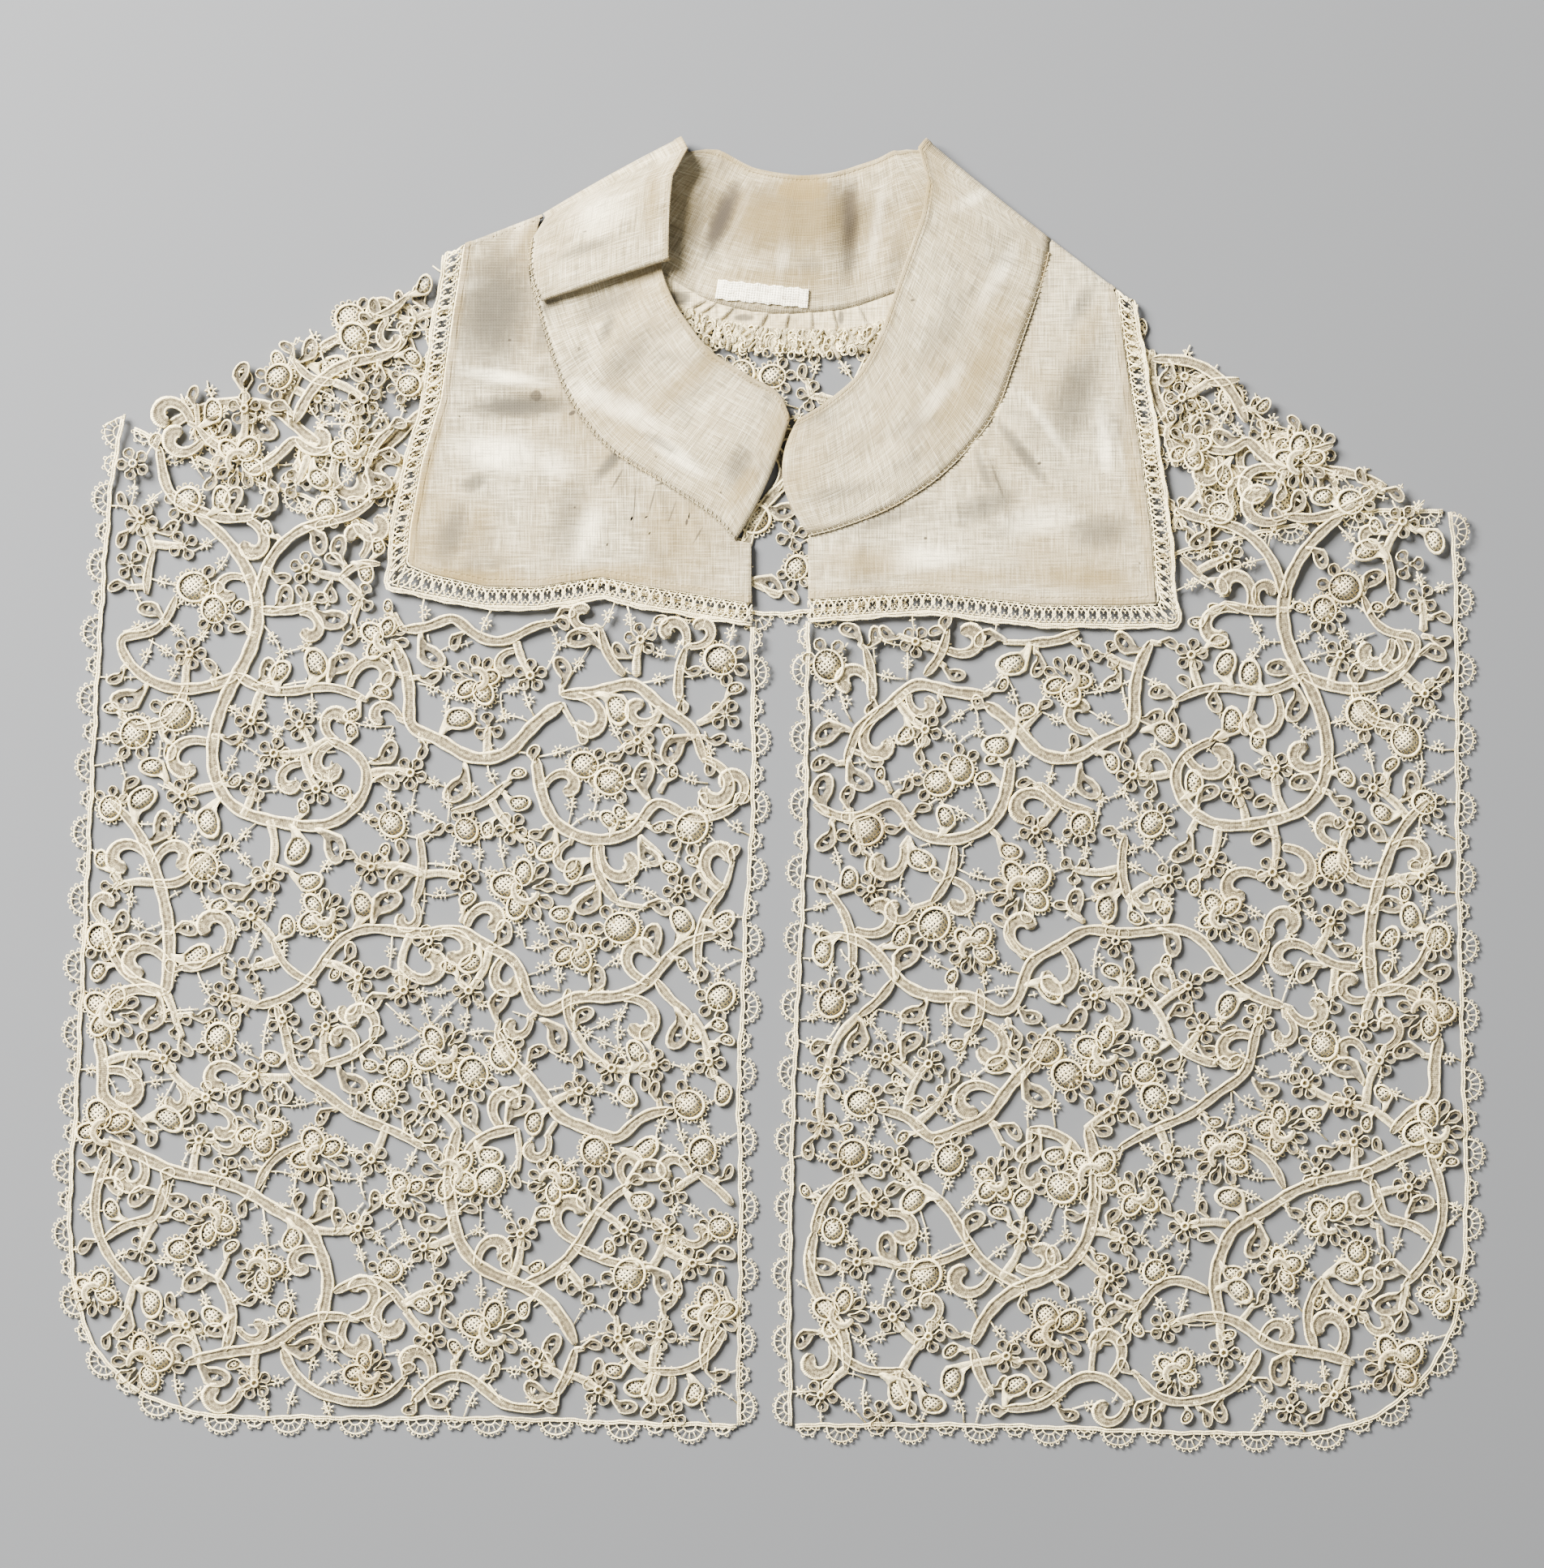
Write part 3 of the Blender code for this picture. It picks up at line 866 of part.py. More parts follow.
def band_sections():
    """All sections of the neckband in order, with the turns where it is folded."""
    layer = (1.4, 2.2, 2.4)
    hidden_low = section_curve(BAND_HIDDEN_TURN, BAND_CELLS)
    hidden_high = section_curve(raised(BAND_HIDDEN_TURN, layer), BAND_CELLS)
    crease_low = section_curve(BAND_CREASE, BAND_CELLS)
    crease_high = section_curve(raised(BAND_CREASE, layer), BAND_CELLS)
    sections = spaced_sections([*BAND_FRONT_LEFT, BAND_HIDDEN_TURN])
    sections += half_turn(hidden_low, hidden_high, outward_of(BAND_HIDDEN_TURN, (0, 1)), BAND_TURN_CELLS)
    sections += [hidden_high, crease_low]
    sections += half_turn(crease_low, crease_high, outward_of(BAND_CREASE, (0, -1)), BAND_TURN_CELLS)
    sections += spaced_sections([raised(BAND_CREASE, layer), *BAND_TOP_LEFT])
    sections += folded(BAND_FOLD_LEFT, CLOTH / 2, (-1, 1), BAND_TURN_CELLS + 2)
    sections += spaced_sections(BAND_BACK)
    sections += folded(BAND_FOLD_RIGHT, CLOTH / 2, (1, 1), BAND_TURN_CELLS + 2)[::-1]
    sections += spaced_sections(BAND_FRONT_RIGHT)
    sections = np.array(sections)
    sections[..., 2] = np.maximum(sections[..., 2], CLOTH / 2)
    return sections


def neckband(collection):
    sections = band_sections()
    points = sections.reshape(-1, 3)
    faces = grid_faces(*sections.shape[:2])
    return cloth_object("neckband", points, faces, (0.82, 0.77, 0.65), collection, offset=0.0)


def back_strip(collection):
    """The strip below the band's seam, its pleats raised in slow slopes that end in a step."""
    table = np.array(BACK_STRIP)
    upper, lower = table[:, :2], table[:, 2:]
    low, high = lower[0, 0] + 0.5, lower[-1, 0] - 0.5
    lines = np.array(PLEAT_LINES)
    columns, rises = [low], [0.0]
    for line, following in zip(lines, [*lines[1:], high]):
        columns += [line - 0.35, line + 0.35]
        rises += [1.0, 0.0]
        if following - line > 6.0:
            columns.append((line + following) / 2)
            rises.append(0.35)
    columns, rises = np.array([*columns, high]), np.array([*rises, 0.0])
    shown = np.clip(np.minimum(columns - SHOWN_FROM, SHOWN_TO - columns) / 3.0, 0.0, 1.0)
    foot = smooth_path(lower, 2.0)
    run = run_of(foot)
    at = np.interp(columns, foot[:, 0], run)
    foot = at_run(foot, at)
    ends = [folded(row, CLOTH / 2, (way, 1), 2)[-1] for row, way in ((BAND_FOLD_LEFT, -1), (BAND_FOLD_RIGHT, 1))]
    band = np.array([section[0][:2] for section in [ends[0], *spaced_sections(BAND_BACK), ends[1]]])
    head = at_run(upper, at / run[-1] * run_of(upper)[-1])
    head[:, 1] = np.interp(head[:, 0], band[:, 0], band[:, 1]) - 1.6 * SEAM_GAP
    grid = np.stack([head, (head + foot) / 2, foot], axis=1)
    walls = CLOTH + np.outer(rises * shown * PLEAT_HEIGHT, [0.6, 1.0, 1.0]).reshape(-1)
    points = np.column_stack([grid.reshape(-1, 2), np.zeros(grid.shape[0] * grid.shape[1])])
    faces = [face[::-1] for face in grid_faces(len(grid), 3)]
    return cloth_object("back_strip", points, faces, (0.8, 0.75, 0.62), collection, walls=walls)


def tape(collection):
    """The tape's own cloth, laid on the band's upper side: a grid between its corners, at the band's height."""
    band = band_sections().reshape(-1, 3)
    corners = np.array(TAPE_CORNERS)
    u = np.linspace(0.0, 1.0, TAPE_CELLS + 1)[:, None, None]
    v = np.linspace(0.0, 1.0, 3)[None, :, None]
    grid = (1 - u) * ((1 - v) * corners[0] + v * corners[3]) + u * ((1 - v) * corners[1] + v * corners[2])
    points = grid.reshape(-1, 2)
    back = band[band[:, 2] < 3.4]
    away = np.linalg.norm(points[:, None] - back[None, :, :2], axis=2)
    near = np.argsort(away, axis=1)[:, :4]
    weight = 1.0 / (np.take_along_axis(away, near, axis=1) + 0.3) ** 2
    height = (back[near, 2] * weight).sum(axis=1) / weight.sum(axis=1)
    highest = height.reshape(TAPE_CELLS + 1, 3).max(axis=1)
    height = np.repeat(highest, 3) + CLOTH / 2 + SEAM_GAP + 0.2
    faces = [face[::-1] for face in grid_faces(TAPE_CELLS + 1, 3)]
    return cloth_object("neck_tape", np.column_stack([points, height]), faces, (0.84, 0.81, 0.74), collection)


def clear_scene():
    for item in list(bpy.data.objects):
        bpy.data.objects.remove(item, do_unlink=True)


def build():
    clear_scene()
    collection = bpy.data.collections.new("lace_collar")
    bpy.context.scene.collection.children.link(collection)
    for side in ("left", "right"):
        lace_front(side, collection)
        insertion(side, collection)
        yoke(side, collection)
    lace_back(collection)
    back_strip(collection)
    neckband(collection)
    tape(collection)


build()
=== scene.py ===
"""Looks of the lace collar laid flat: needle lace, insertion, linen yoke and neckband, back strip and tape.

Plan tables are in millimetres, X to the right and Y up the picture, before the collar is centred.
Every lace piece is worked in the plan, with its own height above the cloth's underside. Drape lays it down.
"""

import logging
import math
from collections.abc import Callable, Sequence
from dataclasses import dataclass, field
from enum import Enum

import bmesh
import bpy
import numpy as np
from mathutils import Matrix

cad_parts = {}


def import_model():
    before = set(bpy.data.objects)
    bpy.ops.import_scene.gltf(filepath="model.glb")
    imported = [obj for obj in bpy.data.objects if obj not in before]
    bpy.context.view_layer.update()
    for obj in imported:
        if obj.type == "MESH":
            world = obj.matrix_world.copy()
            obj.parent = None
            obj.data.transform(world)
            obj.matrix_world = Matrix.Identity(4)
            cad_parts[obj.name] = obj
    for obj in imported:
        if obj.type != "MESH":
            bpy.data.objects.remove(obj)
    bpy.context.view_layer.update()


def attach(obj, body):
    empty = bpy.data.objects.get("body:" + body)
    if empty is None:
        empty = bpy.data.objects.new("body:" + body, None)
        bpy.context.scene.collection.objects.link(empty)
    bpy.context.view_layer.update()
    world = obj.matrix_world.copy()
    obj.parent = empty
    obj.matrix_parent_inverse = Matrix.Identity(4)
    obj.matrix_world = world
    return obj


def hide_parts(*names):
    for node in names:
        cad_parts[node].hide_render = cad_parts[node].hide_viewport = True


LOG = logging.getLogger("lace_collar")
MM = 0.001
CENTRE = np.array([-0.449, -0.744, 0.0])

CLOTH = 1.0
SEAM_GAP = 0.3
LAYER_HEIGHT = CLOTH + SEAM_GAP
FOLD_HEIGHT = 2.0
FOLD_INNER_RADIUS = 0.5
FOLD_RISE = 10.0
DRAPE_START = 12.0
DRAPE_END = 26.0
SCALLOP_PITCH = 21.0
MIRROR_X = 2.0
MIRROR_SCALE = 0.978
# Turn of a side leaf from the run of its stem, in radians
LEAF_TURN = 0.95
# A hook's swell: places along it, and its share of the width there. Then the least and greatest width
HOOK_SWELL = ((0, 0.2, 0.6, 0.85, 1), (0.5, 0.56, 0.78, 1.0, 0.72))
HOOK_WIDTHS = (3.9, 5.0)
# Step in millimetres that keeps undersides out of one plane, and how many steps before they start over
PATCH_STEP = 0.004
PATCH_TURNS = 23
WARM = (1.0, 0.96, 0.90)

Table = Sequence[Sequence[float]]

# Cord lines of the lace edges, from the shoulder down round the hem, then up the front slit: x, y
SIDE_EDGE: dict[str, Table] = {
    "left": [
        (-198.6, 116.0), (-202.0, 100.0), (-204.0, 82.0), (-206.0, 54.0), (-207.5, 29.0), (-210.5, -31.0),
        (-213.5, -93.0), (-215.6, -134.0), (-214.5, -150.0), (-209.5, -168.0), (-201.0, -179.5),
        (-186.5, -188.5),
        (-172.0, -192.0), (-144.0, -192.7), (-79.0, -193.2), (-24.0, -195.0), (-9.6, -195.2),
    ],
    "right": [
        (209.2, 86.0), (210.8, 74.0), (211.4, 60.0), (211.8, 27.0), (212.2, -25.0), (213.6, -80.0),
        (214.6, -130.0), (213.6, -148.0), (208.0, -170.5), (200.0, -182.0), (187.0, -192.0),
        (173.0, -196.8), (147.5, -197.6), (73.0, -195.4), (40.0, -195.0), (6.6, -195.4),
    ],
}
SLIT_EDGE: dict[str, Table] = {
    "left": [
        (-9.6, -195.2), (-9.5, -170.0), (-8.9, -121.0), (-9.6, -91.0), (-8.4, -66.0), (-7.4, -38.0),
        (-5.6, -14.0), (-5.4, 51.7),
    ],
    "right": [
        (6.6, -195.4), (6.0, -170.0), (6.7, -121.0), (7.4, -93.0), (8.6, -66.0), (10.0, -38.0),
        (10.9, -14.0), (11.9, 52.7),
    ],
}
BACK_EDGE: Table = [
    (-197.5, 112.6), (-160.0, 96.5), (-131.0, 86.0), (-112.0, 76.0), (-60.0, 66.5), (-4.0, 55.0),
    (4.0, 55.0), (60.0, 64.5), (122.0, 73.0), (152.0, 80.0), (181.0, 86.0), (207.5, 86.6),
]
SHOULDER_FOLD: dict[str, dict[str, Table]] = {
    "left": {"lace": ((-199.0, 116.4), (-99.9, 166.4)), "yoke": ((-94.0, 168.9), (-69.9, 178.2))},
    "right": {"lace": ((209.6, 88.0), (112.7, 151.4)), "yoke": ((106.5, 155.3), (86.9, 170.3))},
}
# Insertion between yoke and lace, from the shoulder to the slit: x, y of its inner and of its outer edge
INSERTION: dict[str, Table] = {
    "left": [
        (-93.7, 168.6, -99.6, 166.2), (-97.3, 146.3, -103.6, 145.2), (-100.8, 121.3, -107.0, 120.0),
        (-106.8, 101.0, -112.8, 99.3), (-110.4, 81.0, -116.6, 80.3), (-111.2, 70.0, -117.5, 63.0),
        (-104.0, 67.0, -106.0, 60.5), (-87.3, 63.2, -87.6, 57.0), (-72.0, 63.0, -72.0, 56.7),
        (-52.0, 66.2, -51.6, 60.0),
        (-37.0, 63.2, -37.5, 57.0), (-7.8, 58.4, -8.5, 52.2), (-5.4, 58.0, -5.4, 51.8),
    ],
    "right": [
        (106.5, 155.0, 112.4, 151.2), (109.8, 131.3, 116.0, 130.6), (113.8, 106.0, 120.0, 105.3),
        (117.3, 81.0, 123.5, 80.5), (119.0, 58.0, 125.5, 51.4), (108.0, 57.4, 109.0, 51.2),
        (83.3, 57.7, 83.0, 51.5),
        (58.0, 60.6, 57.5, 54.4), (48.0, 61.6, 48.0, 55.4), (11.9, 59.3, 11.9, 53.0),
    ],
}
INSERTION_STEP = 7.5
YOKE_SLIT_TOP = {"left": (-5.6, 76.4), "right": (11.9, 77.4)}

# Soft folds of the linen: x, y of both ends, height, half width
YOKE_FOLDS: Table = [
    (-97.0, 133.0, -63.0, 121.0, 1.8, 4.5), (70.0, 118.0, 93.0, 93.0, 1.6, 3.5),
    (63.0, 108.0, 73.0, 84.0, 1.4, 3.0), (84.0, 160.0, 108.0, 128.0, 1.2, 5.0),
]
FINE_FOLDS: Table = [
    (-96.0, 126.0, -66.0, 118.0, -0.5, 2.4), (-92.0, 141.0, -76.0, 128.0, 0.5, 3.0),
    (-70.0, 112.0, -58.0, 92.0, 0.5, 2.2),
    (-50.0, 104.0, -44.0, 82.0, 0.45, 2.0), (-84.0, 108.0, -60.0, 100.0, 0.35, 3.2),
    (-36.0, 96.0, -30.0, 76.0, 0.5, 1.6),
    (-28.0, 92.0, -20.0, 74.0, 0.45, 1.4), (-104.0, 92.0, -80.0, 82.0, 0.35, 4.0),
    (-60.0, 78.0, -30.0, 72.0, 0.3, 3.0),
    (66.0, 112.0, 84.0, 88.0, 0.8, 1.8), (74.0, 122.0, 98.0, 104.0, 0.6, 2.2),
    (60.0, 104.0, 66.0, 84.0, 0.6, 1.6),
    (56.0, 100.0, 58.0, 80.0, 0.4, 1.6), (90.0, 150.0, 106.0, 136.0, 0.6, 2.4),
    (80.0, 138.0, 100.0, 118.0, 0.5, 2.8),
    (44.0, 90.0, 42.0, 74.0, 0.35, 1.8), (88.0, 78.0, 110.0, 70.0, 0.4, 3.4),
    (30.0, 84.0, 26.0, 70.0, 0.35, 1.8),
]

# Neckband: x, y at the seam, middle and free edge, then the height of the cloth's middle at the three
BAND_FRONT_LEFT: Table = [
    (-10.3, 77.6, -1.2, 94.0, 6.4, 115.0, 2.2, 3.0, 3.2),
    (-15.8, 84.0, -5.2, 104.0, 3.2, 122.0, 2.2, 3.4, 3.6),
    (-32.0, 95.0, -19.3, 112.0, -6.8, 128.2, 2.2, 3.7, 4.3),
    (-48.0, 105.0, -32.8, 121.0, -18.8, 136.2, 2.2, 3.9, 4.7),
    (-58.0, 116.0, -42.3, 131.0, -25.8, 145.2, 2.2, 4.0, 5.0),
    (-64.0, 127.3, -47.3, 139.0, -29.0, 150.2, 2.2, 3.8, 5.0),
    (-68.0, 139.0, -50.4, 146.8, -32.0, 156.8, 2.1, 3.2, 4.0),
    (-71.0, 149.6, -52.2, 154.8, -33.6, 163.0, 2.0, 2.6, 2.8),
]
BAND_HIDDEN_TURN = (-73.2, 157.2, -54.2, 161.8, -35.4, 169.6, 2.0, 2.5, 2.7)
BAND_CREASE = (-70.4, 151.6, -51.0, 158.2, -31.0, 164.8, 3.4, 4.7, 5.1)
BAND_LAYER = (1.4, 2.2, 2.4)
BAND_TOP_LEFT: Table = [
    (-72.6, 157.6, -50.0, 166.5, -30.8, 172.0, 4.7, 7.0, 8.2),
    (-73.4, 163.6, -50.4, 172.6, -30.5, 179.0, 4.4, 7.0, 8.8),
    (-72.6, 170.6, -50.4, 181.0, -29.6, 188.6, 4.0, 6.8, 9.4),
]
BAND_FOLD_LEFT = (-69.9, 178.2, -48.2, 190.6, -27.2, 201.4, 3.5, 6.0, 9.2)
BAND_BACK: Table = [
    (-58.0, 172.4, -39.4, 183.6, -20.6, 197.8, 0.5, 0.6, 1.2),
    (-46.0, 166.4, -30.6, 182.0, -17.4, 197.8, 0.5, 0.6, 0.8),
    (-33.0, 159.4, -22.5, 178.0, -14.0, 197.0, 0.5, 0.6, 0.8),
    (-26.0, 155.4, -16.5, 175.5, -6.8, 193.0, 0.5, 0.7, 1.0),
    (-17.8, 151.0, -9.0, 171.5, -1.0, 191.2, 0.5, 1.8, 1.8),
    (-6.5, 148.2, -1.0, 169.0, 4.2, 190.3, 0.5, 2.4, 2.0),
    (1.8, 147.2, 5.0, 168.5, 8.4, 189.8, 0.5, 2.6, 2.0),
    (13.0, 147.7, 13.4, 168.5, 14.0, 189.9, 0.5, 3.2, 2.4),
    (19.0, 148.1, 18.6, 169.0, 18.6, 190.4, 0.5, 3.3, 2.4),
    (25.4, 149.2, 23.8, 169.8, 22.6, 191.4, 0.5, 1.1, 1.4),
    (31.5, 151.2, 29.6, 171.6, 27.4, 193.0, 0.5, 0.7, 0.9),
    (38.0, 153.5, 35.0, 174.0, 32.8, 194.8, 0.5, 1.3, 1.2),
    (49.0, 157.6, 43.0, 178.0, 38.0, 197.4, 0.5, 1.4, 1.2),
    (60.0, 161.2, 49.6, 179.8, 39.6, 197.4, 0.5, 0.8, 1.0),
    (73.0, 165.4, 57.0, 182.0, 42.2, 197.8, 0.5, 0.6, 0.8),
]
BAND_FOLD_RIGHT = (86.9, 170.3, 66.2, 186.4, 48.2, 201.0, 2.9, 5.2, 8.0)
BAND_FRONT_RIGHT: Table = [
    (85.8, 166.0, 65.8, 176.0, 48.4, 187.4, 2.6, 5.8, 7.8),
    (84.3, 159.3, 64.0, 168.8, 47.4, 180.0, 2.3, 4.6, 6.6),
    (78.3, 141.3, 60.8, 154.6, 44.0, 169.2, 2.2, 4.0, 5.6),
    (74.2, 129.6, 57.6, 144.0, 40.8, 160.2, 2.2, 3.9, 5.2),
    (70.0, 118.0, 53.8, 134.6, 38.0, 152.2, 2.2, 4.0, 5.0),
    (63.0, 108.0, 49.2, 125.6, 35.2, 144.0, 2.2, 4.0, 4.8),
    (52.0, 97.0, 42.2, 116.0, 31.8, 136.4, 2.2, 4.0, 4.6),
    (38.0, 88.0, 32.6, 107.8, 27.0, 128.2, 2.2, 3.8, 4.4),
    (23.0, 82.0, 20.2, 100.4, 17.8, 120.2, 2.2, 3.6, 3.8),
    (12.2, 79.0, 4.0, 96.6, 8.6, 114.4, 2.2, 3.2, 3.3),
]
NECK_SEAM_TOP_LEFT = ((-69.9, 178.2), (-73.5, 168.3))

# Back strip: x, y of its upper and of its lower edge, left to right, and x of each pleat at its lower edge
BACK_STRIP: Table = [
    (-69.1, 175.2, -91.6, 166.2), (-50.0, 167.8, -60.0, 157.8), (-33.0, 159.0, -36.0, 151.4),
    (-26.0, 155.0, -28.3, 149.2),
    (-17.8, 150.6, -19.4, 145.9), (-6.5, 147.8, -7.0, 143.2), (3.0, 146.8, 3.2, 142.0),
    (13.0, 147.3, 13.6, 141.8),
    (25.4, 148.8, 26.6, 142.4), (38.0, 153.1, 41.0, 145.9), (61.0, 161.2, 68.0, 149.4),
    (84.6, 168.2, 104.2, 153.4),
]
PLEAT_LINES = (
    -84.0, -72.0, -58.0, -44.0, -34.5, -25.5, -22.2, -15.8, -3.2, 4.6, 13.0, 20.8, 30.3, 42.0, 55.0, 70.0,
    86.0,
)
SHOWN_FROM, SHOWN_TO = -31.0, 38.0
GATHER_WAVES = 24
GATHER_DEPTH = 7.0
TAPE_CORNERS: Table = ((-15.8, 157.6), (12.2, 154.6), (11.8, 148.9), (-16.8, 151.8))

# Stems of the left lace front: x, y of both ends, bulge as a share of the length, width at both ends
STEMS: Table = [
    (-188, 106, -187, 93, 0.05, 3.4, 4.2), (-187, 93, -178, 88, -0.2, 4.0, 4.0),
    (-178, 88, -158, 85, -0.15, 4.2, 3.6),
    (-176, 85, -157, 56, 0.12, 4.2, 5.0), (-157, 56, -164, 36, 0.08, 5.2, 5.4),
    (-164, 36, -172, 15, -0.06, 5.2, 4.8),
    (-172, 14, -150, -9, -0.28, 4.8, 4.8), (-150, -9, -129, -7, -0.16, 4.6, 4.4),
    (-129, -7, -136, 16, -0.42, 4.6, 3.6),
    (-164, 36, -192, 34, 0.14, 4.6, 4.4), (-192, 34, -202, 50, 0.12, 4.2, 3.6),
    (-180, 32, -195, 20, 0.3, 4.2, 3.4),
    (-202, 50, -183, 60, -0.35, 3.8, 3.2), (-192, 61, -190, 74, 0.1, 3.4, 3.0),
    (-164, 36, -140, 33, -0.18, 4.2, 3.6),
    (-140, 33, -124, 28, 0.1, 3.6, 3.0), (-157, 56, -140, 58, -0.12, 4.0, 3.4),
    (-186, -62, -191, -20, -0.08, 5.2, 4.4),
    (-191, -20, -203, -3, -0.1, 4.2, 3.2), (-190, -28, -176, -22, -0.3, 4.0, 3.4),
    (-186, -62, -205, -42, 0.2, 4.4, 3.2),
    (-186, -62, -208, -72, -0.28, 4.6, 4.0), (-182, -54, -168, -50, -0.2, 4.0, 3.4),
    (-158, -66, -136, -49, -0.16, 4.0, 3.6),
    (-136, -49, -118, -42, 0.18, 4.0, 3.8), (-118, -42, -95, -40, -0.14, 4.2, 4.0),
    (-95, -40, -76, -51, -0.14, 4.2, 4.4),
    (-76, -51, -71, -70, -0.12, 4.6, 4.4), (-108, -14, -109, -33, 0.12, 3.4, 3.8),
    (-140, -59, -153, -46, 0.2, 3.4, 3.0),
    (-116, 46, -113, 18, 0.14, 4.6, 4.8), (-113, 18, -94, 9, 0.18, 4.8, 5.0),
    (-94, 9, -80, 10, 0.04, 5.0, 5.0),
    (-80, 10, -64, 27, 0.1, 5.2, 5.0), (-64, 30, -41, 36, -0.1, 4.6, 4.6),
    (-41, 36, -22, 21, -0.14, 4.8, 4.2),
    (-22, 21, -20, 9, -0.1, 4.2, 3.4), (-113, 50, -97, 57, -0.2, 4.0, 4.0),
    (-97, 57, -78, 46, -0.25, 4.2, 4.0),
    (-78, 46, -66, 52, 0.25, 3.8, 3.0), (-28, 28, -26, 44, 0.1, 4.0, 3.6), (-45, 36, -52, 50, 0.15, 4.0, 3.4),
    (-72, 10, -66, -12, -0.06, 4.8, 4.8), (-66, -12, -54, -17, 0.12, 4.6, 4.6),
    (-54, -17, -40, -14, 0.12, 4.6, 4.4),
    (-40, -14, -34, 0, 0.12, 4.4, 4.0), (-34, 0, -10, -4, -0.3, 4.0, 3.6),
    (-54, -17, -47, -34, -0.16, 4.2, 3.6),
    (-82, 2, -98, -6, 0.16, 3.8, 3.2), (-71, -70, -62, -61, -0.2, 4.6, 4.6),
    (-62, -61, -35, -58, -0.16, 4.6, 4.6),
    (-35, -58, -16, -44, 0.2, 4.4, 3.4), (-35, -58, -24, -69, -0.12, 4.0, 3.4),
    (-62, -61, -60, -74, -0.2, 4.0, 3.4),
    (-207, -76, -208, -96, 0.14, 4.8, 4.8), (-208, -96, -192, -105, 0.2, 4.6, 4.0),
    (-205, -108, -184, -118, 0.06, 4.8, 4.8),
    (-184, -118, -158, -124, 0.06, 4.8, 4.6), (-158, -124, -140, -133, -0.12, 4.6, 5.0),
    (-140, -133, -134, -150, -0.1, 5.0, 4.8),
    (-134, -150, -138, -163, -0.08, 4.8, 4.4), (-134, -154, -112, -160, 0.35, 4.2, 3.4),
    (-186, -120, -188, -134, -0.1, 4.4, 4.0),
    (-188, -134, -205, -138, -0.25, 4.0, 3.4), (-158, -122, -142, -108, 0.2, 3.8, 3.2),
    (-152, -66, -148, -88, 0.08, 3.6, 4.0),
    (-148, -88, -130, -100, 0.12, 4.0, 4.0), (-130, -100, -106, -110, 0.06, 4.0, 3.2),
    (-137, -84, -122, -76, -0.14, 3.8, 3.2),
    (-84, -74, -76, -86, -0.15, 4.2, 4.6), (-76, -86, -66, -102, 0.1, 4.8, 4.8),
    (-66, -102, -46, -110, 0.12, 4.8, 4.6),
    (-46, -110, -30, -98, 0.25, 4.6, 3.8), (-96, -104, -98, -128, -0.08, 4.8, 5.0),
    (-98, -128, -78, -151, -0.22, 4.8, 5.0),
    (-78, -151, -60, -170, 0.14, 5.0, 4.8), (-60, -172, -66, -186, 0.1, 4.4, 3.8),
    (-94, -112, -78, -104, 0.2, 4.2, 4.2),
    (-76, -152, -56, -134, -0.14, 4.4, 4.0), (-56, -134, -43, -121, 0.1, 4.0, 3.4),
    (-60, -140, -36, -146, -0.1, 3.8, 3.2),
    (-10, -136, -22, -118, -0.18, 4.2, 3.2), (-10, -136, -12, -158, 0.14, 4.6, 4.6),
    (-12, -158, -20, -178, -0.2, 4.4, 3.8),
    (-14, -166, -38, -178, 0.25, 4.0, 3.0), (-180, -176, -152, -172, 0.06, 4.0, 4.6),
    (-152, -172, -130, -162, 0.22, 4.6, 4.0),
    (-168, -172, -170, -150, -0.2, 4.2, 3.4), (-150, -172, -132, -187, -0.2, 4.4, 3.8),
    (-132, -187, -112, -180, -0.25, 3.8, 3.2),
    (-110, -188, -84, -190, 0.42, 4.2, 4.0), (-84, -190, -70, -190, 0.0, 4.0, 3.4),
    (-22, -54, -14, -30, 0.15, 3.8, 3.2),
    (-204, -112, -196, -152, -0.2, 4.0, 3.6), (-160, 98, -146, 112, -0.16, 4.4, 4.0),
    (-146, 112, -133, 106, -0.45, 4.2, 3.4),
    (-146, 114, -124, 134, 0.16, 4.4, 4.0), (-124, 134, -112, 140, -0.3, 4.0, 3.4),
    (-134, 126, -146, 132, 0.3, 3.8, 3.0),
    (-158, 60, -138, 84, 0.16, 4.2, 4.0), (-138, 84, -122, 90, -0.2, 4.0, 3.2),
    (-164, 104, -176, 112, 0.2, 3.6, 3.0),
    (-132, 66, -120, 70, 0.3, 3.6, 3.0), (-116, 112, -124, 100, -0.2, 3.6, 3.2),
    (-112, 152, -122, 146, 0.2, 3.4, 3.0),
]
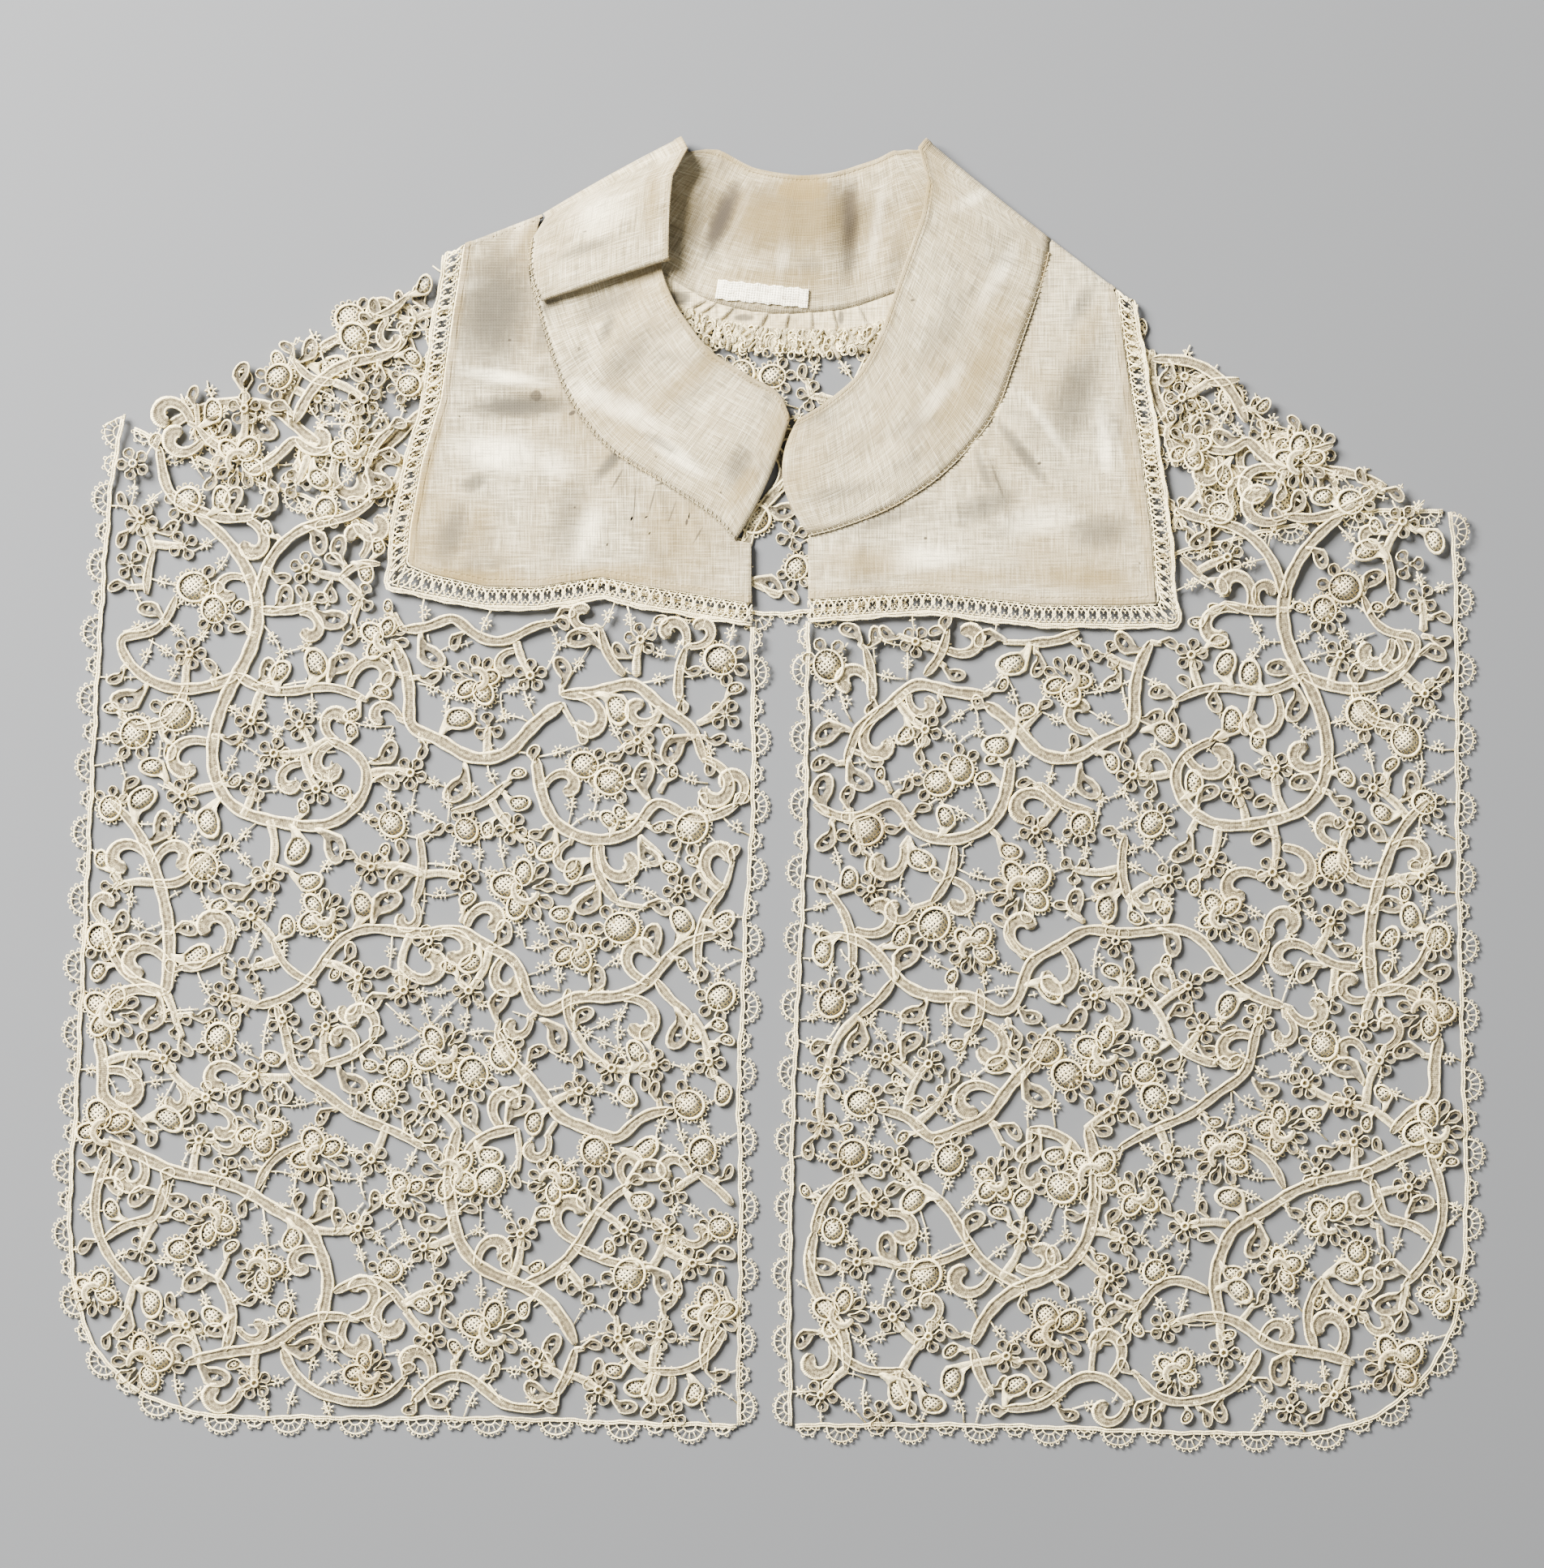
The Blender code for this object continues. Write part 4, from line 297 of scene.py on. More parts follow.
# Flowers of the left lace front: x, y, radius
FLOWERS: Table = [
    (-180, 89, 5.5), (-163, 102, 8.0), (-196, 101, 4.5), (-197, 70, 4.2), (-176, 63, 6.5), (-171, 55, 5.5),
    (-196, 17, 6.5),
    (-184, 23, 6.8), (-174, -24, 6.5), (-203, -4, 5.0), (-137, 86, 5.0), (-119, 47, 7.2), (-90, 34, 7.5),
    (-117, -9, 5.5),
    (-94, -11, 5.0), (-76, -30, 9.5), (-138, -38, 7.5), (-56, 8, 5.8), (-48, 3, 6.0), (-47, -42, 6.8),
    (-18, 52, 6.0),
    (-14, 40, 6.5), (-25, -12, 6.8), (-206, -46, 5.5), (-203, -68, 8.5), (-205, -104, 9.0),
    (-157, -104, 8.0), (-170, -77, 6.0),
    (-150, -70, 4.6), (-101, -80, 8.5), (-91, -88, 6.5), (-82, -80, 6.0), (-139, -112, 8.5), (-115, -86, 5.0),
    (-118, -95, 5.8), (-172, -132, 7.5), (-168, -117, 4.5), (-157, -147, 7.0), (-112, -124, 7.0),
    (-87, -121, 6.5),
    (-98, -118, 8.5), (-67, -120, 7.0), (-53, -112, 6.2), (-44, -150, 6.8), (-21, -112, 6.0),
    (-18, -161, 8.2),
    (-193, -176, 9.0), (-86, -166, 9.2), (-124, -179, 7.0), (-208, -154, 7.0), (-181, -141, 5.0),
    (-28, -30, 4.5),
    (-105, -46, 4.5), (-60, -48, 7.5), (-30, -192, 4.0), (-160, -190, 4.5), (-118, -147, 5.0),
    (-16, -64, 6.0),
    (-26, -96, 6.2), (-16, -134, 5.0), (-128, 106, 7.0), (-127, 139, 6.0), (-152, 127, 5.5), (-112, 125, 5.0),
]
BACK_STEMS: Table = [
    (-186, 112, -150, 118, 0.14, 4.2, 4.4), (-150, 118, -118, 104, -0.18, 4.4, 4.2),
    (-118, 104, -84, 120, 0.2, 4.2, 4.4),
    (-150, 118, -128, 142, 0.15, 4.2, 3.6), (-84, 120, -52, 96, -0.16, 4.4, 4.4),
    (-52, 96, -24, 118, 0.25, 4.4, 4.0),
    (-24, 118, -10, 100, -0.3, 4.0, 3.4), (-84, 120, -76, 146, -0.14, 4.0, 3.4),
    (-118, 104, -100, 82, 0.2, 4.0, 3.2),
    (-52, 96, -40, 74, -0.2, 4.0, 3.4), (-8, 66, 6, 96, 0.15, 4.2, 4.4), (6, 96, 22, 122, -0.12, 4.4, 3.8),
    (6, 96, 40, 82, -0.2, 4.4, 4.2), (40, 82, 66, 104, 0.25, 4.2, 4.4), (66, 104, 96, 96, -0.2, 4.4, 4.2),
    (66, 104, 60, 134, 0.14, 4.2, 3.6), (96, 96, 124, 112, 0.2, 4.2, 4.4),
    (124, 112, 156, 98, -0.15, 4.4, 4.2),
    (156, 98, 190, 94, 0.1, 4.2, 3.4), (124, 112, 118, 136, 0.12, 4.0, 3.4),
    (96, 96, 104, 78, -0.2, 4.0, 3.2),
    (-28, 118, -22, 132, 0.1, 3.6, 3.0), (22, 122, 30, 134, -0.2, 3.6, 3.0),
]
BACK_FLOWERS: Table = [
    (-172, 110, 5.5), (-140, 102, 6.0), (-128, 146, 6.0), (-104, 128, 7.0), (-96, 98, 6.0),
    (-70, 104, 7.0), (-66, 134, 6.0),
    (-36, 108, 7.0), (-20, 134, 5.0), (-9, 130, 5.0), (2, 128, 5.2), (12, 136, 4.2), (22, 112, 6.0),
    (-6, 84, 6.5),
    (-14, 66, 4.5), (8, 68, 5.0), (24, 96, 6.5), (44, 118, 7.0), (52, 92, 6.0), (78, 124, 7.0),
    (84, 84, 6.0), (110, 90, 6.0),
    (104, 124, 6.5), (138, 96, 6.0), (142, 120, 5.5), (168, 106, 6.0), (-76, 82, 6.0), (-30, 88, 6.0),
    (32, 134, 4.6),
]


class Side(Enum):
    """The wearer's halves as they lie in the picture."""

    LEFT = "left"
    RIGHT = "right"


class Blossom(Enum):
    """How a flower is worked."""

    GREAT = "great"
    ROUND = "round"
    PETALS = "petals"
    FLORET = "floret"

    @classmethod
    def of(cls, radius: float) -> "Blossom":
        """How a flower of this radius is worked."""
        if radius >= 6.9:
            return cls.GREAT
        return cls.ROUND if radius > 4.9 else cls.PETALS if radius > 4.4 else cls.FLORET


class Leaf(Enum):
    """How a leaf is worked."""

    SLIT = "slit"
    NET = "net"
    SCROLL = "scroll"


def run_of(path: np.ndarray) -> np.ndarray:
    """Distance along the path at each of its points."""
    return np.concatenate([[0.0], np.cumsum(np.linalg.norm(np.diff(path, axis=0), axis=1))])


def angles_round(count: int) -> np.ndarray:
    """Even angles round a circle, from nought."""
    return np.arange(count) * 2 * math.pi / count


def at_run(path: np.ndarray, distances: np.ndarray) -> np.ndarray:
    """The path's points at these distances along it, read between its own points."""
    run = run_of(path[:, :2])
    return np.stack([np.interp(distances, run, path[:, axis]) for axis in range(path.shape[1])], axis=1)


def cubic(
    t: float | np.ndarray, a: np.ndarray, b: np.ndarray, slope_a: np.ndarray, slope_b: np.ndarray,
    span: float | np.ndarray,
) -> np.ndarray:
    """The cubic from a to b with these slopes at its ends, over a span, at a share t of the way."""
    return (
        (2 * t**3 - 3 * t**2 + 1) * a
        + (t**3 - 2 * t**2 + t) * span * slope_a
        + (3 * t**2 - 2 * t**3) * b
        + (t**3 - t**2) * span * slope_b
    )


def smooth_path(points: Table | np.ndarray, step: float) -> np.ndarray:
    """A smooth curve through the points in even steps: cubic pieces whose slopes come from the neighbours.

    Args:
        points: the points to pass through.
        step: the distance between the points made.

    Returns:
        The curve's points.
    """
    points = np.asarray(points, float)
    run = run_of(points)
    slope = np.gradient(points, run, axis=0) if len(points) > 2 else np.tile(
        (points[1] - points[0]) / run[1], (2, 1),
    )
    at = np.linspace(0.0, run[-1], max(2, int(round(run[-1] / step)) + 1))
    piece = np.clip(np.searchsorted(run, at, side="right") - 1, 0, len(points) - 2)
    span = (run[piece + 1] - run[piece])[:, None]
    t = (at - run[piece])[:, None] / span
    return cubic(t, points[piece], points[piece + 1], slope[piece], slope[piece + 1], span)


def across(path: np.ndarray) -> np.ndarray:
    """Unit vectors square to the path, to the left of its run."""
    way = np.gradient(path[:, :2], axis=0)
    way /= np.maximum(np.linalg.norm(way, axis=1), 1e-9)[:, None]
    return np.stack([-way[:, 1], way[:, 0]], axis=1)


def segment_distance(points: np.ndarray, starts: np.ndarray, ends: np.ndarray) -> np.ndarray:
    """The distance from each point to the nearest of the segments."""
    best = np.full(len(points), np.inf)
    for a, b in zip(starts, ends):
        along = np.clip(((points - a) @ (b - a)) / max(float((b - a) @ (b - a)), 1e-12), 0.0, 1.0)
        best = np.minimum(best, np.linalg.norm(points - a - along[:, None] * (b - a), axis=1))
    return best


def inside(points: np.ndarray, polygon: np.ndarray) -> np.ndarray:
    """True for each point inside the closed polygon, by counting crossings of a ray along X."""
    crossed = np.zeros(len(points), bool)
    for (ax, ay), (bx, by) in zip(polygon, np.roll(polygon, -1, axis=0)):
        if ay == by:
            continue
        spans = (points[:, 1] > ay) != (points[:, 1] > by)
        crossed ^= spans & (points[:, 0] < ax + (points[:, 1] - ay) * (bx - ax) / (by - ay))
    return crossed


def fold_line(fold: Table) -> tuple[np.ndarray, np.ndarray]:
    """The line where the cloth begins to turn, inside the shown edge by the turn's radius and the wall."""
    a, b = np.array(fold[0]), np.array(fold[1])
    way = (b - a) / np.linalg.norm(b - a)
    outward = np.array([-way[1], way[0]]) * (1 if way[0] > 0 else -1)
    return a - outward * (FOLD_INNER_RADIUS + CLOTH), b - outward * (FOLD_INNER_RADIUS + CLOTH)


def fold_side(points: np.ndarray, fold: Table) -> tuple[np.ndarray, np.ndarray]:
    """(how far each point lies past the line where the turn begins, the line's outward normal)."""
    a, b = fold_line(fold)
    along = (b - a) / np.linalg.norm(b - a)
    outward = np.array([-along[1], along[0]])
    if outward[1] < 0:
        outward = -outward
    return (points - a) @ outward, outward


def soft_folds(points: np.ndarray, folds: Table) -> np.ndarray:
    """Height that soft folds add: a bell across each line that fades towards its far end."""
    height = np.zeros(len(points))
    for x0, y0, x1, y1, rise, half in folds:
        a, b = np.array([x0, y0]), np.array([x1, y1])
        along = np.clip(((points - a) @ (b - a)) / float((b - a) @ (b - a)), 0.0, 1.0)
        away = np.linalg.norm(points - a - along[:, None] * (b - a), axis=1)
        height += rise * np.exp(-((away / half) ** 2)) * np.sin(math.pi * np.clip(0.15 + 0.75 * along, 0, 1))
    return height


def insertion_edges(side: Side) -> tuple[np.ndarray, np.ndarray]:
    """(inner edge, outer edge) of the insertion, point by point, through all rows of its table."""
    table = np.array(INSERTION[side.value])
    run = run_of((table[:, :2] + table[:, 2:]) / 2)
    at = np.unique(np.concatenate([run, np.arange(0.0, run[-1], INSERTION_STEP)]))
    ours = np.isin(at, run)
    keep = ours | ~np.array([(np.abs(run - a) < 2.0).any() for a in at])
    grown = [np.interp(at[keep], run, table[:, axis]) for axis in range(4)]
    return np.stack(grown[:2], axis=1), np.stack(grown[2:], axis=1)


@dataclass
class Drape:
    """Lays plan points on the cloth's underside: over the back, down past its edge, up at the shoulder.

    The underside's height is worked out once on a grid of nodes and read between them.
    """

    fold: Table | None
    level: float | None = None
    cell: float = 2.0
    low: np.ndarray = field(default_factory=lambda: np.array([-226.0, -208.0]))
    high: np.ndarray = field(default_factory=lambda: np.array([226.0, 208.0]))

    def __post_init__(self) -> None:
        """Works out the grid of heights."""
        xs = np.arange(self.low[0], self.high[0] + self.cell, self.cell)
        ys = np.arange(self.low[1], self.high[1] + self.cell, self.cell)
        points = np.stack(np.meshgrid(xs, ys, indexing="ij"), axis=-1).reshape(-1, 2)
        if self.level is not None:
            self.heights = np.full((len(xs), len(ys)), self.level)
            return
        edge = smooth_path(BACK_EDGE, 6.0)
        over = points[:, 1] > np.interp(points[:, 0], edge[:, 0], edge[:, 1])
        past = np.where(over, 0.0, segment_distance(points, edge[:-1], edge[1:]))
        share = np.clip((DRAPE_END - past) / (DRAPE_END - DRAPE_START), 0.0, 1.0)
        height = LAYER_HEIGHT * share**2 * (3 - 2 * share)
        if self.fold is not None:
            ends = [end[None] for end in fold_line(self.fold)]
            rise = 1 - np.minimum(segment_distance(points, *ends), FOLD_RISE) / FOLD_RISE
            height = height + (FOLD_HEIGHT - height) * rise**2 * (3 - 2 * rise)
        self.heights = height.reshape(len(xs), len(ys))

    def underside(self, points: np.ndarray) -> np.ndarray:
        """The underside's height at plan points, read between the grid's nodes."""
        at = (points[:, :2] - self.low) / self.cell
        most = np.array(self.heights.shape) - 2
        cell = np.clip(np.floor(at).astype(int), 0, most)
        u, v = np.clip(at - cell, 0.0, 1.0).T
        i, j = cell.T
        h = self.heights
        near = h[i, j] * (1 - u) + h[i + 1, j] * u
        far = h[i, j + 1] * (1 - u) + h[i + 1, j + 1] * u
        return near * (1 - v) + far * v

    def place(self, points: np.ndarray) -> np.ndarray:
        """Plan points with heights above the underside, laid down; those past the fold turn under round it.

        Args:
            points: x, y and height above the underside.

        Returns:
            x, y and height above the surface, in the plan's millimetres.
        """
        flat, above = points[:, :2], points[:, 2]
        z = self.underside(points) + above
        if self.fold is None:
            return np.column_stack([flat, z])
        past, outward = fold_side(flat, self.fold)
        past = np.maximum(past, 0.0)
        turn = np.minimum(past / (FOLD_INNER_RADIUS + 0.3), math.pi)
        radius = FOLD_INNER_RADIUS + np.minimum(above, CLOTH)
        moved = flat - past[:, None] * outward + (radius * np.sin(turn))[:, None] * outward
        turned = np.where(past > 1e-6, FOLD_HEIGHT - FOLD_INNER_RADIUS + radius * np.cos(turn), z)
        return np.column_stack([moved, turned])


class Needlework:
    """Collects one piece's closed patches of mesh in plan millimetres, each point with a UV, a tone and a
    depth that the lace finish paints as shade.
    """

    def __init__(self) -> None:
        """Starts with nothing."""
        self.points: list[np.ndarray] = []
        self.uvs: list[np.ndarray] = []
        self.tones: list[np.ndarray] = []
        self.lows: list[np.ndarray] = []
        self.quads: list[np.ndarray] = []
        self.triangles: list[np.ndarray] = []
        self.count = 0
        self.patches = 0

    def apart(self) -> float:
        """A height of a few microns, another for each patch, so that no two undersides lie in one plane."""
        self.patches += 1
        return PATCH_STEP * (self.patches % PATCH_TURNS)

    def take(self, points: np.ndarray, uv: np.ndarray, tone: float, low: float | np.ndarray = 0.0) -> int:
        """Adds points and gives the index of the first."""
        first = self.count
        flat = points.reshape(-1, 3)
        self.points.append(flat)
        self.uvs.append(np.broadcast_to(uv, (*points.shape[:-1], 2)).reshape(-1, 2))
        self.tones.append(np.broadcast_to(tone, points.shape[:-1]).reshape(-1))
        self.lows.append(np.broadcast_to(low, points.shape[:-1]).reshape(-1))
        self.count += len(flat)
        return first

    def grid(self, points: np.ndarray, uv: np.ndarray, tone: float, low: np.ndarray, round_rows: bool) -> int:
        """Adds a grid of points joined by quads.

        Args:
            points: rows by columns by 3.
            uv: rows by columns by 2.
            tone: 0 plain to 1 yellowed.
            low: how deep each column lies between raised edges, 0 to 1; the lace finish paints shade by it.
            round_rows: the last row joins the first, as the last column always does.

        Returns:
            The index of the grid's first point.
        """
        first = self.take(points, uv, tone, low)
        n, m = points.shape[:2]
        index = first + np.arange(n * m).reshape(n, m)
        if round_rows:
            index = np.vstack([index, index[:1]])
        index = np.hstack([index, index[:, :1]])
        self.quads.append(grid_quads(index))
        return first

    def cap(self, ring: np.ndarray, centre: np.ndarray, tone: float) -> None:
        """Closes a ring of point indices with triangles to a new centre point."""
        middle = self.take(centre[None], np.zeros(2), tone)
        self.triangles.append(np.stack([ring, np.roll(ring, -1), np.full(len(ring), middle)], axis=1))

    def ribbon(
        self, path: np.ndarray, widths: np.ndarray, profile: np.ndarray, lift: float, relief: float,
        tone: float,
    ) -> None:
        """Carries a closed cross profile along a path: sideways by half the width, up by the relief.

        Args:
            path: the ribbon's middle line.
            widths: its width at each point.
            profile: (share of half width, height) round the cross-section.
            lift: height of its underside.
            relief: factor on the profile's heights.
            tone: 0 plain to 1 yellowed.
        """
        aside = across(path)
        lift = lift + self.apart()
        s, z = profile.T
        flat = path[:, None, :] + aside[:, None, :] * (s[None, :, None] * widths[:, None, None] / 2)
        height = np.broadcast_to(lift + relief * z, flat.shape[:2])
        points = np.concatenate([flat, height[..., None]], axis=2)
        uv = np.stack(np.broadcast_arrays(run_of(path)[:, None], s[None, :] * widths[:, None] / 2), axis=2)
        # Depth for painted shade: the lower the profile lies, the darker, and none at the outer edges.
        first = self.grid(
            points, uv, tone, np.where(np.abs(s) > 0.9, 0.0, np.clip(1.0 - z / 1.15, 0.0, 1.0)), False,
        )
        columns = len(profile)
        ends = ((0, -0.3), (len(path) - 1, 0.3))
        for row, reach in ends:
            ring = first + row * columns + np.arange(columns)
            way = np.array([aside[row, 1], -aside[row, 0]]) * reach * widths[row]
            centre = np.array([*(path[row] + way), lift + relief * 0.35])
            self.cap(ring if reach > 0 else ring[::-1], centre, tone)

    def annulus(
        self, outer: np.ndarray, inner: np.ndarray, profile: np.ndarray, lift: float,
        relief: float | np.ndarray, tone: float,
    ) -> None:
        """A closed band between two outlines with the same count of points: a cross profile carried round it.

        Args:
            outer: outline points.
            inner: as many points of the inner outline.
            profile: (share of the way inwards, height) round the cross-section.
            lift: height of its underside.
            relief: factor on the heights, one value or one for each outline point.
            tone: 0 plain to 1 yellowed.
        """
        lift = lift + self.apart()
        s, z = profile.T
        flat = outer[:, None, :] + (inner - outer)[:, None, :] * s[None, :, None]
        raised_by = np.broadcast_to(np.asarray(relief, float).reshape(-1, 1), (len(outer), 1))
        height = lift + raised_by * z[None, :]
        height = np.where(z[None, :] <= 0.1, lift + 0.1, height)
        points = np.concatenate([flat, height[..., None]], axis=2)
        run = run_of(np.vstack([outer, outer[:1]]))[:-1]
        depth = np.linalg.norm(inner - outer, axis=1)
        uv = np.stack(np.broadcast_arrays(run[:, None], s[None, :] * depth[:, None]), axis=2)
        # Depth for painted shade inside the rim, at most 0.6, and none at its outer edge.
        self.grid(points, uv, tone, np.where(s < 0.1, 0.0, np.clip(1.0 - z / 1.15, 0.0, 0.6)), True)

    def plate(self, outline: np.ndarray, lift: float, dome: float, tone: float) -> None:
        """A thin closed plate: the outline joined to a point above and a point below its middle."""
        centre = outline.mean(axis=0)
        ring = np.column_stack([outline, np.full(len(outline), lift)])
        first = self.take(ring, outline, tone)
        index = first + np.arange(len(outline))
        for height in (lift + dome, lift - 0.12):
            middle = self.take(np.array([[*centre, height]]), centre[None], tone)
            self.triangles.append(np.stack([index, np.roll(index, -1), np.full(len(index), middle)], axis=1))

    def tubes(self, paths: np.ndarray, radius: float, sides: int, tone: float, closed: bool = False) -> None:
        """Round threads along many paths at once: rings square to each path, closed at both ends or round.

        Args:
            paths: threads by points by 3.
            radius: the thread's.
            sides: 3, 4 or 6.
            tone: 0 plain to 1 yellowed.
            closed: each path joins its own start.
        """
        if len(paths) == 0:
            return
        paths = np.asarray(paths, float)
        if closed:
            way = np.roll(paths, -1, axis=1) - np.roll(paths, 1, axis=1)
        else:
            way = np.gradient(paths, axis=1)
        way /= np.maximum(np.linalg.norm(way, axis=2), 1e-9)[..., None]
        aside = np.cross(way, [0.0, 0.0, 1.0])
        aside += np.where(np.linalg.norm(aside, axis=2)[..., None] < 1e-3, [1.0, 0.0, 0.0], 0.0)
        aside /= np.linalg.norm(aside, axis=2)[..., None]
        up = np.cross(aside, way)
        angle = (np.arange(sides) + 0.5) * 2 * math.pi / sides
        rings = paths[:, :, None] + radius * (
            np.cos(angle)[None, None, :, None] * aside[:, :, None]
            + np.sin(angle)[None, None, :, None] * up[:, :, None]
        )
        k, n = paths.shape[:2]
        step = np.linalg.norm(np.diff(paths, axis=1), axis=2)
        run = np.concatenate([np.zeros((k, 1)), np.cumsum(step, axis=1)], axis=1)
        uv = np.stack(np.broadcast_arrays(run[:, :, None], (angle * radius)[None, None, :]), axis=3)
        first = self.take(rings, uv, tone)
        index = first + np.arange(k * n * sides).reshape(k, n, sides)
        if closed:
            index = np.concatenate([index, index[:, :1]], axis=1)
        around = np.roll(index, -1, axis=2)
        quads = np.stack([index[:, :-1], index[:, 1:], around[:, 1:], around[:, :-1]], axis=-1)
        self.quads.append(quads.reshape(-1, 4))
        if closed:
            return
        for end, turn in ((index[:, 0], 1), (index[:, -1], -1)):
            end = end[:, ::turn]
            if sides == 3:
                self.triangles.append(end)
            else:
                self.quads.append(end[:, :4])
            if sides == 6:
                self.quads.append(end[:, [0, 3, 4, 5]])

    def join(self, other: "Needlework") -> None:
        """Takes in all the patches of another."""
        self.quads += [faces + self.count for faces in other.quads]
        self.triangles += [faces + self.count for faces in other.triangles]
        self.points, self.uvs = self.points + other.points, self.uvs + other.uvs
        self.tones, self.lows = self.tones + other.tones, self.lows + other.lows
        self.count += other.count

    def finish(self, name: str, place: Callable[[np.ndarray], np.ndarray]) -> bpy.types.Object:
        """Makes the object, with faces turned outwards, at the origin.

        Args:
            name: the piece's name.
            place: lays plan points with heights down in the plan's millimetres.

        Returns:
            The new object.
        """
        points = (place(np.concatenate(self.points)) - CENTRE) * MM
        quads = np.concatenate(self.quads) if self.quads else np.zeros((0, 4), int)
        triangles = np.concatenate(self.triangles) if self.triangles else np.zeros((0, 3), int)
        corners = np.concatenate([quads.reshape(-1), triangles.reshape(-1)])
        sizes = np.concatenate([np.full(len(quads), 4), np.full(len(triangles), 3)])
        starts = np.concatenate([[0], np.cumsum(sizes)[:-1]])
        mesh = bpy.data.meshes.new(name)
        mesh.vertices.add(len(points))
        mesh.vertices.foreach_set("co", points.reshape(-1))
        mesh.loops.add(len(corners))
        mesh.loops.foreach_set("vertex_index", corners)
        mesh.polygons.add(len(sizes))
        mesh.polygons.foreach_set("loop_start", starts)
        mesh.update(calc_edges=True)
        mesh.validate()
        set_thread_uv(mesh, np.concatenate(self.uvs))
        # tone: yellowing of the thread; low: the depth that the lace finish paints as shade.
        for label, values in (("tone", self.tones), ("low", self.lows)):
            attribute = mesh.attributes.new(label, "FLOAT", "POINT")
            attribute.data.foreach_set("value", np.concatenate(values).astype(np.float32))
        return outward_object(name, mesh)


def placed(name: str, data: bpy.types.ID) -> bpy.types.Object:
    """A new object for a mesh, lamp or camera, put in the scene."""
    item = bpy.data.objects.new(name, data)
    bpy.context.scene.collection.objects.link(item)
    return item


def set_thread_uv(mesh: bpy.types.Mesh, uv: np.ndarray) -> None:
    """Gives each corner of a mesh its point's UV, in millimetres along and across the threads."""
    layer = mesh.uv_layers.new(name="thread")
    order = np.empty(len(mesh.loops), int)
    mesh.loops.foreach_get("vertex_index", order)
    layer.data.foreach_set("uv", (uv.reshape(-1, 2)[order] * MM).reshape(-1))


def grid_quads(index: np.ndarray) -> np.ndarray:
    """The quads that join the neighbours of a grid of point indices."""
    return np.stack([index[:-1, :-1], index[1:, :-1], index[1:, 1:], index[:-1, 1:]], axis=-1).reshape(-1, 4)


def outward_object(name: str, mesh: bpy.types.Mesh) -> bpy.types.Object:
    """Turns a closed mesh's faces outwards, shades it smooth and puts it in the scene."""
    form = bmesh.new()
    form.from_mesh(mesh)
    bmesh.ops.recalc_face_normals(form, faces=form.faces)
    form.to_mesh(mesh)
    form.free()
    mesh.shade_smooth()
    return placed(name, mesh)


def ride(item: bpy.types.Object, slot: str, *nodes: str) -> bpy.types.Object:
    """Puts a piece on the one body, hides the solids that it stands for, and logs it."""
    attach(item, "root")
    if nodes:
        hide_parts(*nodes)
    LOG.info("%s: %d triangles", item.name, sum(len(face.vertices) - 2 for face in item.data.polygons))
    return item


class Plan:
    """The free room on a lace panel: for each cell of a grid, its distance to the nearest motif or edge."""

    CELL = 1.0
    MARGIN = 1.6

    def __init__(self, outline: np.ndarray) -> None:
        """Starts with all the room inside the outline."""
        low, high = outline.min(axis=0), outline.max(axis=0)
        self.low = low
        xs = np.arange(low[0], high[0] + self.CELL, self.CELL)
        ys = np.arange(low[1], high[1] + self.CELL, self.CELL)
        self.shape = (len(xs), len(ys))
        self.cells = np.stack(np.meshgrid(xs, ys, indexing="ij"), axis=-1)
        flat = self.cells.reshape(-1, 2)
        away = segment_distance(flat, outline, np.roll(outline, -1, axis=0))
        self.clear = np.where(inside(flat, outline), away, -away).reshape(self.shape) - self.MARGIN

    def index(self, points: np.ndarray) -> tuple[np.ndarray, np.ndarray]:
        """The cell of each point."""
        cell = np.round((points - self.low) / self.CELL).astype(int)
        return np.clip(cell[:, 0], 0, self.shape[0] - 1), np.clip(cell[:, 1], 0, self.shape[1] - 1)

    def at(self, points: np.ndarray) -> np.ndarray:
        """The free room at each point."""
        return self.clear[self.index(np.atleast_2d(points))]

    def add(self, centre: Sequence[float] | np.ndarray, radius: float) -> None:
        """Takes a disc out of the free room, in the cells that it can bear on."""
        reach = int(math.ceil((radius + 14.0) / self.CELL))
        i, j = (int(v[0]) for v in self.index(np.atleast_2d(centre)))
        box = (slice(max(0, i - reach), i + reach + 1), slice(max(0, j - reach), j + reach + 1))
        away = np.linalg.norm(self.cells[box] - np.asarray(centre), axis=-1) - radius
        self.clear[box] = np.minimum(self.clear[box], away)

    def largest(self) -> tuple[np.ndarray, float]:
        """The freest cell and its room."""
        cell = np.unravel_index(int(np.argmax(self.clear)), self.shape)
        return self.cells[cell].copy(), float(self.clear[cell])

    def copy(self) -> "Plan":
        """Another plan with the same room."""
        other = Plan.__new__(Plan)
        other.low, other.shape, other.cells, other.clear = self.low, self.shape, self.cells, self.clear.copy()
        return other


